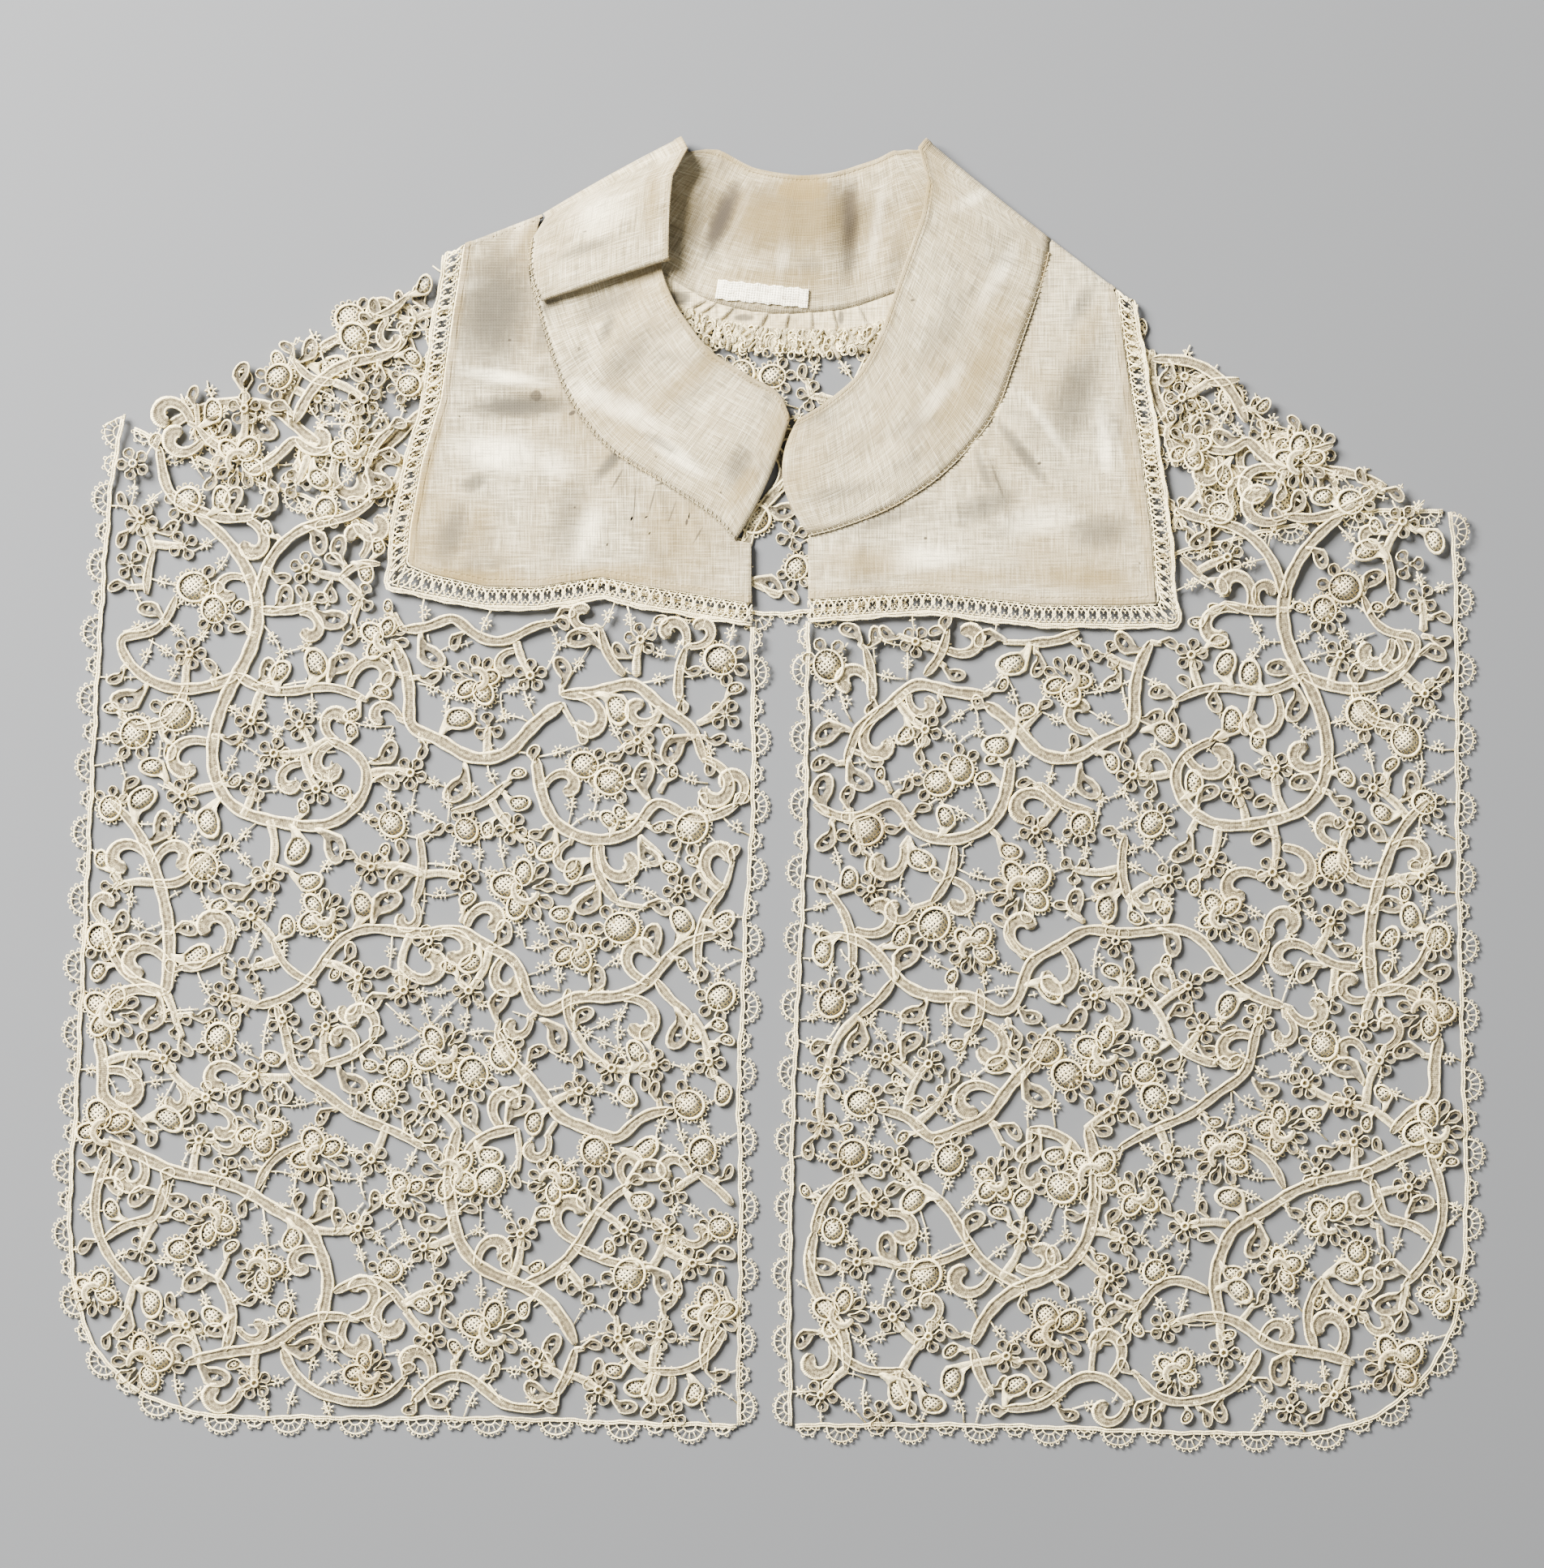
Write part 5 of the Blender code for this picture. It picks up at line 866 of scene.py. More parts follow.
@dataclass
class LacePattern:
    """Where each stem, leaf and flower of a panel lies, and the middles of the gaps left between them."""

    cord: np.ndarray
    stems: Table
    flowers: Table
    mirror: bool = False
    kept_clear: Sequence[tuple[float, float, float]] = ()
    stem_step: float = 2.0
    leaf_spacing: float = 12.5
    leaf_lengths: Sequence[float] = (10.0, 8.0, 11.5, 9.0, 12.5)
    leaf_gap: float = 1.0
    leaf_width_share: float = 0.56
    fill_clearance: float = 7.0
    fill_radius: float = 4.6
    stalk_width: float = 2.4
    gap_reach: float = 5.6
    gap_least: float = 2.1
    gap_cuts: int = 112
    gap_spread: Sequence[float] = (13.0, 10.0, 4.0)
    bar_wall: float = 1.3
    grown_lengths: Sequence[float] = (12.0, 10.0, 8.4, 7.0, 5.8)
    grown_reach: float = 4.4

    def __post_init__(self) -> None:
        """Lays the pattern out, then fills it further round the gaps that are cut."""
        self.plan = Plan(self.cord)
        self.placed: list[tuple[float, float, float]] = []
        self.paths: list[tuple[np.ndarray, np.ndarray]] = []
        self.leaves: list[tuple[np.ndarray, np.ndarray, float]] = []
        self.place_tables()
        self.place_leaves()
        self.fill()
        for x, y, radius in self.kept_clear:
            self.plan.add((x, y), radius)
        self.grow()
        self.gaps = self.gap_middles(5.2, 1.5)

    def stem_path(self, x0: float, y0: float, x1: float, y1: float, bulge: float) -> np.ndarray:
        """A stem's middle line: a quadratic curve whose control point is off the chord by twice the bulge."""
        a, b = np.array([x0, y0], float), np.array([x1, y1], float)
        chord = b - a
        control = (a + b) / 2 + 2 * bulge * np.array([-chord[1], chord[0]])
        count = max(4, int(np.linalg.norm(chord) * (1 + 2 * abs(bulge)) / self.stem_step))
        t = np.linspace(0.0, 1.0, count)[:, None]
        return (1 - t) ** 2 * a + 2 * t * (1 - t) * control + t**2 * b

    def place_tables(self) -> None:
        """Places the tables' flowers and stems, turned over for the right front, where the panel has room."""
        for x, y, radius in self.flowers:
            centre = np.array([self.turned(x) if self.mirror else x, y], float)
            if self.plan.at(centre)[0] > 0.6 * radius - Plan.MARGIN:
                self.placed.append((centre[0], centre[1], float(radius)))
        for x0, y0, x1, y1, bulge, width0, width1 in self.stems:
            if self.mirror:
                x0, x1, bulge = self.turned(x0), self.turned(x1), -bulge
            path = self.stem_path(x0, y0, x1, y1, bulge)
            keep = self.plan.at(path) > 0.2
            if keep.sum() >= 4:
                self.paths.append((path[keep], np.linspace(width0, width1, len(path))[keep]))
        for x, y, radius in self.placed:
            self.plan.add((x, y), radius)
        for path, widths in self.paths:
            for point, width in zip(path, widths):
                self.plan.add(point, width / 2)

    @staticmethod
    def turned(x: float) -> float:
        """X on the right front for X on the left one."""
        return MIRROR_X + (MIRROR_X - x) * MIRROR_SCALE

    @staticmethod
    def heading(path: np.ndarray, along: float) -> float:
        """The angle of the path's way at this distance along it, from a point before it to one after it."""
        before = at_run(path, [max(along - 1.0, 0.0)])[0]
        after = at_run(path, [min(along + 1.0, run_of(path)[-1])])[0]
        return math.atan2(after[1] - before[1], after[0] - before[0])

    def place_leaves(self) -> None:
        """Sets leaves along both sides of the stems, where they clear what is there."""
        count = 0
        for path, _ in self.paths:
            run = run_of(path)
            for k, along in enumerate(np.arange(4.0, run[-1] + 3.0, self.leaf_spacing / 2)):
                here = at_run(path, [min(along, run[-1])])[0]
                heading = self.heading(path, along) + (LEAF_TURN if (k + count) % 2 else -LEAF_TURN)
                for shrink in (1.0, 0.75):
                    length = self.leaf_lengths[(count + k) % len(self.leaf_lengths)] * shrink
                    width = self.leaf_width_share * length
                    way = np.array([math.cos(heading), math.sin(heading)])
                    body, end = here + way * length * 0.62, here + way * length * 0.85
                    clear = self.plan.at(body)[0] > 0.42 * width + self.leaf_gap
                    if clear and self.plan.at(end)[0] > 0.3 * width + self.leaf_gap:
                        self.leaves.append((here, here + way * length, width))
                        self.plan.add(body, 0.5 * width)
                        self.plan.add(here + way * length * 0.35, 0.34 * width)
                        count += 1
                        break

    def fill(self) -> None:
        """Puts a floret on a stalk from the nearest stem into each large room left."""
        stem_points = np.concatenate([path for path, _ in self.paths])
        while True:
            centre, room = self.plan.largest()
            if room < self.fill_clearance:
                return
            nearest = stem_points[int(np.argmin(np.linalg.norm(stem_points - centre, axis=1)))]
            radius = min(room - 3.0, self.fill_radius)
            self.placed.append((centre[0], centre[1], radius))
            self.plan.add(centre, radius)
            stalk = self.stem_path(*nearest, *centre, 0.16 if len(self.placed) % 2 else -0.16)
            stem_points = np.concatenate([stem_points, stalk])
            self.paths.append((stalk, np.linspace(self.stalk_width + 0.6, self.stalk_width, len(stalk))))
            for point in stalk:
                self.plan.add(point, self.stalk_width / 2)

    def gap_middles(self, apart: float, least: float) -> np.ndarray:
        """The middles of the gaps, largest first, each this far apart, down to the least room."""
        room = self.plan.copy()
        middles = []
        while True:
            centre, reach = room.largest()
            if reach < least:
                return np.array(middles)
            middles.append(centre)
            room.add(centre, apart)

    def cut_gaps(self) -> list[np.ndarray]:
        """The corners of the solid's cut gaps: rays to the nearest motif, or halfway to the next gap."""
        centres = self.gap_middles(self.gap_reach, self.gap_least)
        gaps = []
        for k, centre in enumerate(centres):
            away = np.linalg.norm(centres - centre, axis=1)
            between = centres[(away > 0) & (away < 26.0)] - centre
            angles = 0.7 * k + np.arange(6) * 2 * math.pi / 6
            ways = np.stack([np.cos(angles), np.sin(angles)], axis=1)
            steps = np.arange(0.4, 9.0, 0.2)[:, None] * ways[:, None]
            free = self.plan.at((centre + steps).reshape(-1, 2)).reshape(steps.shape[:2]) > 0.25
            length = np.linalg.norm(between, axis=1)
            past = (steps @ between.T) / length - length / 2
            free &= (past < -self.bar_wall / 2).all(axis=2)
            stop = np.where(free.all(axis=1), steps.shape[1], np.argmin(free, axis=1))
            corners = centre + steps[np.arange(6), np.maximum(stop - 1, 0)]
            around = np.roll(corners, -1, axis=0)
            area = 0.5 * float((corners[:, 0] * around[:, 1] - around[:, 0] * corners[:, 1]).sum())
            if float(np.linalg.norm(corners - centre, axis=1).min()) > 1.0 and area > 13.0:
                gaps.append((area, corners))
        gaps.sort(key=lambda gap: -gap[0])
        chosen: list[np.ndarray] = []
        for apart in self.gap_spread:
            for _, corners in gaps:
                middle = corners.mean(axis=0)
                clear = all(np.linalg.norm(middle - other.mean(axis=0)) > apart for other in chosen)
                if clear and len(chosen) < self.gap_cuts:
                    chosen.append(corners)
        return chosen

    def grow(self) -> None:
        """Sets more leaves, and buds on short stalks, in the room that no cut gap takes."""
        kept = self.plan.copy()
        for corners in self.cut_gaps():
            middle = corners.mean(axis=0)
            kept.add(middle, 0.72 * float(np.linalg.norm(corners - middle, axis=1).mean()))
        self.ends = self.free_ends()
        for tip, way in self.ends:
            self.try_leaf(kept, tip - way * 1.5, math.atan2(way[1], way[0]), (13.0, 11.0, 9.0, 7.5), 0.5)
        for lengths, gap in ((self.grown_lengths[:3], 0.5), (self.grown_lengths[1:], 0.35)):
            for index, (path, _) in enumerate(list(self.paths)):
                run = run_of(path)
                for k, along in enumerate(np.arange(2.5, run[-1] + 1.0, 3.1)):
                    here = at_run(path, [min(along, run[-1])])[0]
                    forward = self.heading(path, along)
                    for side in (1.0, -1.0) if (k + index) % 2 else (-1.0, 1.0):
                        if self.try_leaf(
                            kept, here, forward + side * (0.75 + 0.35 * ((3 * k + index) % 3)), lengths,
                            gap,
                        ):
                            break
        stem_points = np.concatenate([path for path, _ in self.paths])
        while True:
            cell = np.unravel_index(int(np.argmax(kept.clear)), kept.shape)
            centre, room = kept.cells[cell].copy(), float(kept.clear[cell])
            if room < 2.7:
                return
            radius = min(room - 0.5, self.grown_reach)
            nearest = stem_points[int(np.argmin(np.linalg.norm(stem_points - centre, axis=1)))]
            way = (centre - nearest) / np.linalg.norm(centre - nearest)
            foot = centre - radius * way
            if radius > 3.7 and len(self.placed) % 2:
                self.placed.append((centre[0], centre[1], radius))
            else:
                self.leaves.append((foot - 1.2 * way, centre + 1.1 * radius * way, 1.3 * radius))
            stalk = self.stem_path(*nearest, *foot, 0.14 if len(self.leaves) % 2 else -0.14)
            self.paths.append((stalk, np.linspace(2.2, 1.7, len(stalk))))
            for plan in (kept, self.plan):
                plan.add(centre, radius)
                for point in stalk:
                    plan.add(point, 0.9)
            kept.clear[cell] = min(kept.clear[cell], 0.0)

    def try_leaf(
        self, kept: Plan, base: np.ndarray, heading: float, lengths: Sequence[float], gap: float,
    ) -> bool:
        """Sets the longest leaf that clears what is there.

        Args:
            kept: the room, without the cut gaps.
            base: where the leaf starts.
            heading: its way.
            lengths: lengths to try, longest first.
            gap: the room to leave beside it.

        Returns:
            Whether a leaf found room.
        """
        way = np.array([math.cos(heading), math.sin(heading)])
        for length in lengths:
            width = self.leaf_width_share * length
            spots = base + way * length * np.array([[0.45], [0.66], [0.88]])
            if (kept.at(spots) > np.array([0.26, 0.42, 0.3]) * width + gap).all():
                self.leaves.append((base, base + way * length, width))
                for plan in (kept, self.plan):
                    plan.add(spots[1], 0.5 * width)
                    plan.add(spots[0], 0.34 * width)
                    plan.add(spots[2], 0.26 * width)
                return True
        return False

    def free_ends(self) -> list[tuple[np.ndarray, np.ndarray]]:
        """(point, way) of each stem's end that meets no other stem and no flower."""
        found = []
        flowers = np.array(self.placed)
        for k, (path, widths) in enumerate(self.paths):
            if widths.mean() < 3.0:
                continue
            others = np.concatenate([other for j, (other, _) in enumerate(self.paths) if j != k])
            for tip, inner in ((path[0], path[1]), (path[-1], path[-2])):
                near = np.linalg.norm(others - tip, axis=1).min() < 2.5
                near |= bool((np.linalg.norm(flowers[:, :2] - tip, axis=1) < flowers[:, 2] + 1.5).any())
                if not near:
                    found.append((tip, (tip - inner) / np.linalg.norm(tip - inner)))
        return found

    @staticmethod
    def evenness(path: np.ndarray, other: np.ndarray) -> float:
        """How evenly one stem goes on into another: the cosine of the turn, or -1 where they don't meet."""
        if np.linalg.norm(other[0] - path[-1]) >= 1.2:
            return -1.0
        ahead, after = path[-1] - path[-2], other[1] - other[0]
        return float(ahead @ after / (np.linalg.norm(ahead) * np.linalg.norm(after)))

    def flowing(self) -> list[tuple[np.ndarray, np.ndarray]]:
        """The stems joined where they meet, their corners eased by averaging with their neighbours."""
        left = [(path, widths) for path, widths in self.paths]
        joined = []
        while left:
            path, widths = left.pop(0)
            found = widths.mean() > 3.0
            while found:
                found = False
                for way, least in ((1, -0.99), (-1, 0.0)):
                    for k, (other, broad) in enumerate(left):
                        if not found and broad.mean() > 3.0 and self.evenness(path, other[::way]) > least:
                            path = np.vstack([path, other[::way][1:]])
                            widths = np.concatenate([widths, broad[::way][1:]])
                            left.pop(k)
                            found = True
                            break
            fine = smooth_path(path, 1.9)
            broad = np.interp(run_of(fine), run_of(path), widths)
            for _ in range(18):
                fine[1:-1] = (fine[:-2] + 2 * fine[1:-1] + fine[2:]) / 4
            joined.append((fine, broad))
        return joined


STEM_PROFILE = np.array([
    (-1.0, 0.1), (-1.04, 0.8), (-0.8, 1.3), (-0.5, 0.5), (-0.1, 0.8), (0.1, 0.8), (0.5, 0.5), (0.8, 1.3),
    (1.04, 0.8), (1.0, 0.1),
])
RIDGE_PROFILE = np.array([(-1.0, 0.1), (-0.6, 0.9), (0.6, 0.9), (1.0, 0.1)])
STALK_PROFILE = np.array(
    [(-1.0, 0.1), (-0.95, 0.65), (-0.5, 0.95), (0.0, 0.75), (0.5, 0.95), (0.95, 0.65), (1.0, 0.1)]
)
LEAF_PROFILE = np.array([(0.0, 0.1), (-0.03, 0.75), (0.16, 1.3), (0.36, 0.5), (0.84, 0.8), (1.0, 0.1)])
RIM_PROFILE = np.array([(0.0, 0.1), (-0.04, 0.75), (0.25, 1.2), (0.75, 1.15), (1.04, 0.1)])


@dataclass
class LacePanel:
    """One panel of needle lace: scrolls, flowers, and the ground of bars with its scalloped edging."""

    name: str
    pattern: LacePattern
    drape: Drape
    edges: Sequence[tuple[np.ndarray, float, float]]
    folds: Sequence[Table]
    relief: float = 1.0
    thread: float = 0.3
    seed: int = 1

    def __post_init__(self) -> None:
        """Sets the panel's own steady run of small differences."""
        self.chance = np.random.default_rng(self.seed)

    def leaf_middle(self, base: np.ndarray, tip: np.ndarray, bend: float, t: np.ndarray) -> np.ndarray:
        """A leaf's middle line: the straight way, bowed sideways and back over at its head."""
        way = tip - base
        aside = np.array([-way[1], way[0]])
        return base + t[:, None] * way + (bend * 5.2 * t * (1 - t) * (1.25 - t))[:, None] * aside

    def leaf_outline(
        self, base: np.ndarray, tip: np.ndarray, width: float, bend: float, count: int, shrink: float,
    ) -> np.ndarray:
        """A leaf on its bowed middle line: a stalk, then a head as wide as a half circle over its length.

        Args:
            base: where it leaves the stem.
            tip: its round end.
            width: its greatest width.
            bend: bow of the middle line, as a share of its length.
            count: points round the outline.
            shrink: 1 for the leaf's edge, less for a net or an eyelet inside it.

        Returns:
            The outline's points.
        """
        angle = angles_round(count)
        t = (1 - np.cos(angle)) / 2
        side = np.sign(np.sin(angle) + 1e-9)
        if shrink < 0.5:
            half = shrink * width * np.sqrt(np.maximum(4 * t * (1 - t), 0.0)) / 2
            t = 0.66 + (t - 0.5) * 1.1 * shrink
        elif shrink < 1:
            half = shrink * width * np.sqrt(np.maximum(4 * t * (1 - t), 0.0)) / 2
            t = 0.65 + (t - 0.5) * 0.68 * shrink
        else:
            head = np.sqrt(np.maximum(1 - ((t - 0.64) / 0.37) ** 2, 0.0))
            stalk = (0.2 + 0.45 * t) * np.minimum(t / 0.03, 1.0)
            half = np.where(t > 0.97, head, np.maximum(head, stalk * (t < 0.6))) * width / 2
            half = np.where(t >= 1.0 - 1e-9, 0.0, half)
        middle = self.leaf_middle(base, tip, bend, t)
        way = tip - base
        aside = np.array([-way[1], way[0]]) / np.linalg.norm(way)
        return middle + (side * half)[:, None] * aside

    def scroll_path(self, base: np.ndarray, tip: np.ndarray, turn: float) -> np.ndarray:
        """A hook: it runs out from the stem and winds inwards, its bend growing evenly along it."""
        length = np.linalg.norm(tip - base) * 1.8
        steps = np.linspace(0.0, 1.0, 18)
        way = tip - base
        heading = math.atan2(way[1], way[0]) - 0.75 * turn + turn * (0.8 * steps + 3.3 * steps**2)
        moves = np.stack([np.cos(heading), np.sin(heading)], axis=1) * length / 18
        return base + np.cumsum(moves, axis=0)

    def keeps_in(self, path: np.ndarray) -> bool:
        """Whether a hook along this path stays inside the panel's edge."""
        aside = 2.6 * across(path)
        return bool(inside(np.vstack([path - aside, path + aside]), self.pattern.cord).all())

    def leaf(
        self, work: Needlework, nets: Needlework, kind: Leaf, base: np.ndarray, tip: np.ndarray,
        width: float, turn: float, tone: float,
    ) -> None:
        """One leaf: close work round a slit or round a net, or a broad hook.

        Args:
            work: takes the close work.
            nets: takes the net.
            kind: how it is worked.
            base: its foot on the stem.
            tip: its round end.
            width: its greatest width.
            turn: 1 or -1, the side that it bends to.
            tone: 0 plain to 1 yellowed.
        """
        if kind is Leaf.SCROLL:
            path = self.scroll_path(base, tip, turn)
            swell = np.interp(np.linspace(0, 1, len(path)), *HOOK_SWELL)
            widths = swell * min(max(0.8 * width, HOOK_WIDTHS[0]), HOOK_WIDTHS[1])
            work.ribbon(path, widths, STEM_PROFILE, 0.05, 0.95 * self.relief, tone)
            return
        bend = 0.15 * turn
        long = np.linalg.norm(tip - base) > 8.0
        outer = self.leaf_outline(base, tip, width, bend, 16, 1.0)
        inner = self.leaf_outline(
            base, tip, width, bend, 16, 0.76 if kind is Leaf.NET else 0.3 if long else 0.22,
        )
        work.annulus(
            outer, inner, LEAF_PROFILE if kind is Leaf.SLIT else RIM_PROFILE, 0.05, self.relief, tone,
        )
        if kind is Leaf.NET:
            nets.plate(self.leaf_outline(base, tip, width, bend, 12, 0.88), 0.5 * self.relief, 0.12, tone)
        elif long:
            middle = inner.mean(axis=0)
            way = np.array([base[1] - tip[1], tip[0] - base[0]]) / np.linalg.norm(tip - base)
            bar = np.array(
                [[*(middle - 0.8 * way), 0.8 * self.relief], [*(middle + 0.8 * way), 0.8 * self.relief]]
            )
            work.tubes(bar[None], 0.42, 4, tone)

    def scrolls(self) -> tuple[Needlework, Needlework]:
        """(stems and leaves, net fillings of leaves)."""
        work, nets = Needlework(), Needlework()
        for k, (path, widths) in enumerate(self.pattern.flowing()):
            tone = float(self.chance.uniform(0.0, 0.4))
            broad = widths.mean() > 3.0
            run = run_of(path)
            shape = np.clip(np.minimum(run, run[-1] - run) / 3.0, 0, 1) ** 0.5 if broad else 1.0
            sway = 1 + 0.08 * np.sin(run * 0.8 + k)
            work.ribbon(
                path, (0.77 if broad else 0.9) * widths * (0.5 + 0.5 * shape) * sway,
                STEM_PROFILE if broad else STALK_PROFILE, 0.03 * (k % 4), self.relief, tone,
            )
        for k, (base, tip, width) in enumerate(self.pattern.leaves):
            kind = (Leaf.SLIT, Leaf.SCROLL, Leaf.NET, Leaf.SLIT, Leaf.SCROLL, Leaf.SLIT, Leaf.NET)[k % 7]
            if kind is Leaf.SCROLL and np.linalg.norm(tip - base) < 7.0:
                kind = Leaf.SLIT
            turn = 1.0 if k % 2 else -1.0
            if kind is Leaf.SCROLL:
                fits = [way for way in (turn, -turn) if self.keeps_in(self.scroll_path(base, tip, way))]
                kind, turn = (kind, fits[0]) if fits else (Leaf.SLIT, turn)
            size = (1.06, 1.06) if kind is Leaf.SLIT else (1.06, 1.16)
            width = max(size[1] * width, 3.4)
            self.leaf(
                work, nets, kind, base, base + size[0] * (tip - base), width, turn,
                float(self.chance.uniform(0.0, 0.5)),
            )
        for foot, way in self.pattern.free_ends():
            if self.keeps_in(np.vstack([foot, foot + 2 * way, foot + 3.5 * way])):
                self.leaf(work, nets, Leaf.SLIT, foot - 1.5 * way, foot + 4.6 * way, 4.2, 1.0, 0.2)
        return work, nets

    def ring(self, x: float, y: float, radius: float, count: int, start: float = 0.0) -> np.ndarray:
        """Points round a circle."""
        angle = start + angles_round(count)
        return np.stack([x + radius * np.cos(angle), y + radius * np.sin(angle)], axis=1)

    def petals(
        self, work: Needlework, x: float, y: float, inner: float, outer: float, angles: Sequence[float],
        width: float, tone: float,
    ) -> None:
        """Petals that stand out from a point, each a small leaf with an eyelet."""
        for angle in angles:
            way = np.array([math.cos(angle), math.sin(angle)])
            base, tip = np.array([x, y]) + way * inner, np.array([x, y]) + way * outer
            edge = self.leaf_outline(base, tip, width, 0.0, 11, 1.0)
            work.annulus(
                edge, self.leaf_outline(base, tip, width, 0.0, 11, 0.32), LEAF_PROFILE, 0.052,
                0.95 * self.relief, tone,
            )

    def fringe(self, ring: np.ndarray, size: float) -> np.ndarray:
        """Picot loops along part of an outline: an open arch that stands out from each of its spans."""
        foot, after = ring[:-1], ring[1:]
        out = np.stack([after[:, 1] - foot[:, 1], foot[:, 0] - after[:, 0]], axis=1)
        out /= np.linalg.norm(out, axis=1)[:, None]
        turn = np.linspace(0.0, math.pi, 4)
        middle, half = (foot + after) / 2, (after - foot) * 0.42
        along = middle[:, None] - np.cos(turn)[None, :, None] * half[:, None]
        flat = along + size * np.sin(turn)[None, :, None] * out[:, None]
        return np.concatenate([flat, np.full((*flat.shape[:2], 1), 0.5 * self.relief)], axis=2)

    def lobe(
        self, work: Needlework, nets: Needlework, loops: list[np.ndarray], centre: np.ndarray,
        size: tuple[float, float], way: float, lift: float, tone: float,
    ) -> None:
        """An oval net in a raised rim that swells to its outer end, which is fringed with picot loops.

        Args:
            work: takes the rim.
            nets: takes the net.
            loops: takes the fringe's threads.
            centre: middle.
            size: half its length, outwards, and half its width.
            way: the angle that its outer end points to.
            lift: the rim's height above the ground.
            tone: 0 plain to 1 yellowed.
        """
        angle = way + math.pi + angles_round(20)
        axis, aside = np.array([math.cos(way), math.sin(way)]), np.array([-math.sin(way), math.cos(way)])
        local = np.stack([np.cos(angle - way), np.sin(angle - way)], axis=1) * np.array(size)
        outer = centre + local[:, :1] * axis + local[:, 1:] * aside
        swell = (1 - np.cos(angles_round(20))) / 2
        rim = (0.55 + 0.6 * swell) * (0.7 + 0.05 * size[0])
        inner = outer + (centre - outer) * (rim / np.linalg.norm(outer - centre, axis=1))[:, None]
        nets.plate(inner[::2] + (outer[::2] - inner[::2]) * 0.3, 0.5 * self.relief + lift, 0.18, tone)
        work.annulus(outer, inner, RIM_PROFILE, lift, (0.85 + 0.4 * swell) * self.relief, tone)
        count = max(6, int(1.25 * (size[0] + size[1])))
        spread = way + np.linspace(-2.1, 2.1, count + 1)
        along = centre + np.cos(spread - way)[:, None] * size[0] * axis
        ring = along + np.sin(spread - way)[:, None] * size[1] * aside
        loops.append(self.fringe(ring, 1.25))

    def flowers(self) -> tuple[Needlework, Needlework]:
        """(flowers, their net fillings)."""
        work, nets = Needlework(), Needlework()
        loops: list[np.ndarray] = []
        for k, (x, y, radius) in enumerate(self.pattern.placed):
            kind = Blossom.of(radius)
            tone = float(self.chance.uniform(0.1, 0.9))
            start = float(self.chance.uniform(0.0, 2 * math.pi))
            turn = 1.0 if k % 2 else -1.0
            middle = np.array([x, y])

            def at(share: float, angle: float) -> np.ndarray:
                """The point at a share of the radius out from the middle."""
                return middle + share * radius * np.array([math.cos(angle), math.sin(angle)])

            if kind is Blossom.FLORET:
                count = 3 + k % 2
                angles = start + angles_round(count)
                self.petals(
                    work, x, y, 0.05 * radius, 1.15 * radius, angles, radius * (1.05, 0.9)[count - 3], tone,
                )
            elif kind is Blossom.PETALS:
                angles = start + angles_round(5)
                self.petals(work, x, y, 0.1 * radius, 1.14 * radius, angles, 0.84 * radius, tone)
                work.annulus(
                    self.ring(x, y, 0.3 * radius, 12), self.ring(x, y, 0.14 * radius, 12), RIM_PROFILE,
                    0.4, 1.2 * self.relief, tone,
                )
            elif kind is Blossom.ROUND:
                self.petals(
                    work, x, y, 0.25 * radius, 1.2 * radius, start + math.pi + np.array([-1.0, 0.0, 1.0]),
                    0.62 * radius, tone,
                )
                self.lobe(
                    work, nets, loops, at(0.22, start), (0.82 * radius, 0.74 * radius), start, 0.2, tone,
                )
            else:
                self.petals(
                    work, x, y, 0.3 * radius, 1.12 * radius,
                    start + math.pi + turn * np.array([-0.9, -0.3, 0.35, 1.0]), 0.46 * radius, tone,
                )
                sizes = ((0.54, 0.44), (0.52, 0.36), (0.46, 0.34))
                for n, (angle, size) in enumerate(
                    zip((start, start + 1.45 * turn, start - 1.4 * turn), sizes)
                ):
                    self.lobe(
                        work, nets, loops, at(0.55, angle), (size[0] * radius, size[1] * radius), angle,
                        0.2 + 0.15 * (2 - n), tone,
                    )
                bow = self.ring(*at(0.1, start + math.pi), 0.4 * radius, 24, start - 0.3)[:14]
                work.ribbon(
                    bow, 1.3 + 0.9 * np.sin(np.linspace(0.2, 2.9, 14)), STALK_PROFILE, 0.5,
                    1.5 * self.relief, tone,
                )
        if loops:
            work.tubes(np.concatenate(loops), 0.27, 3, 0.2)
        return work, nets

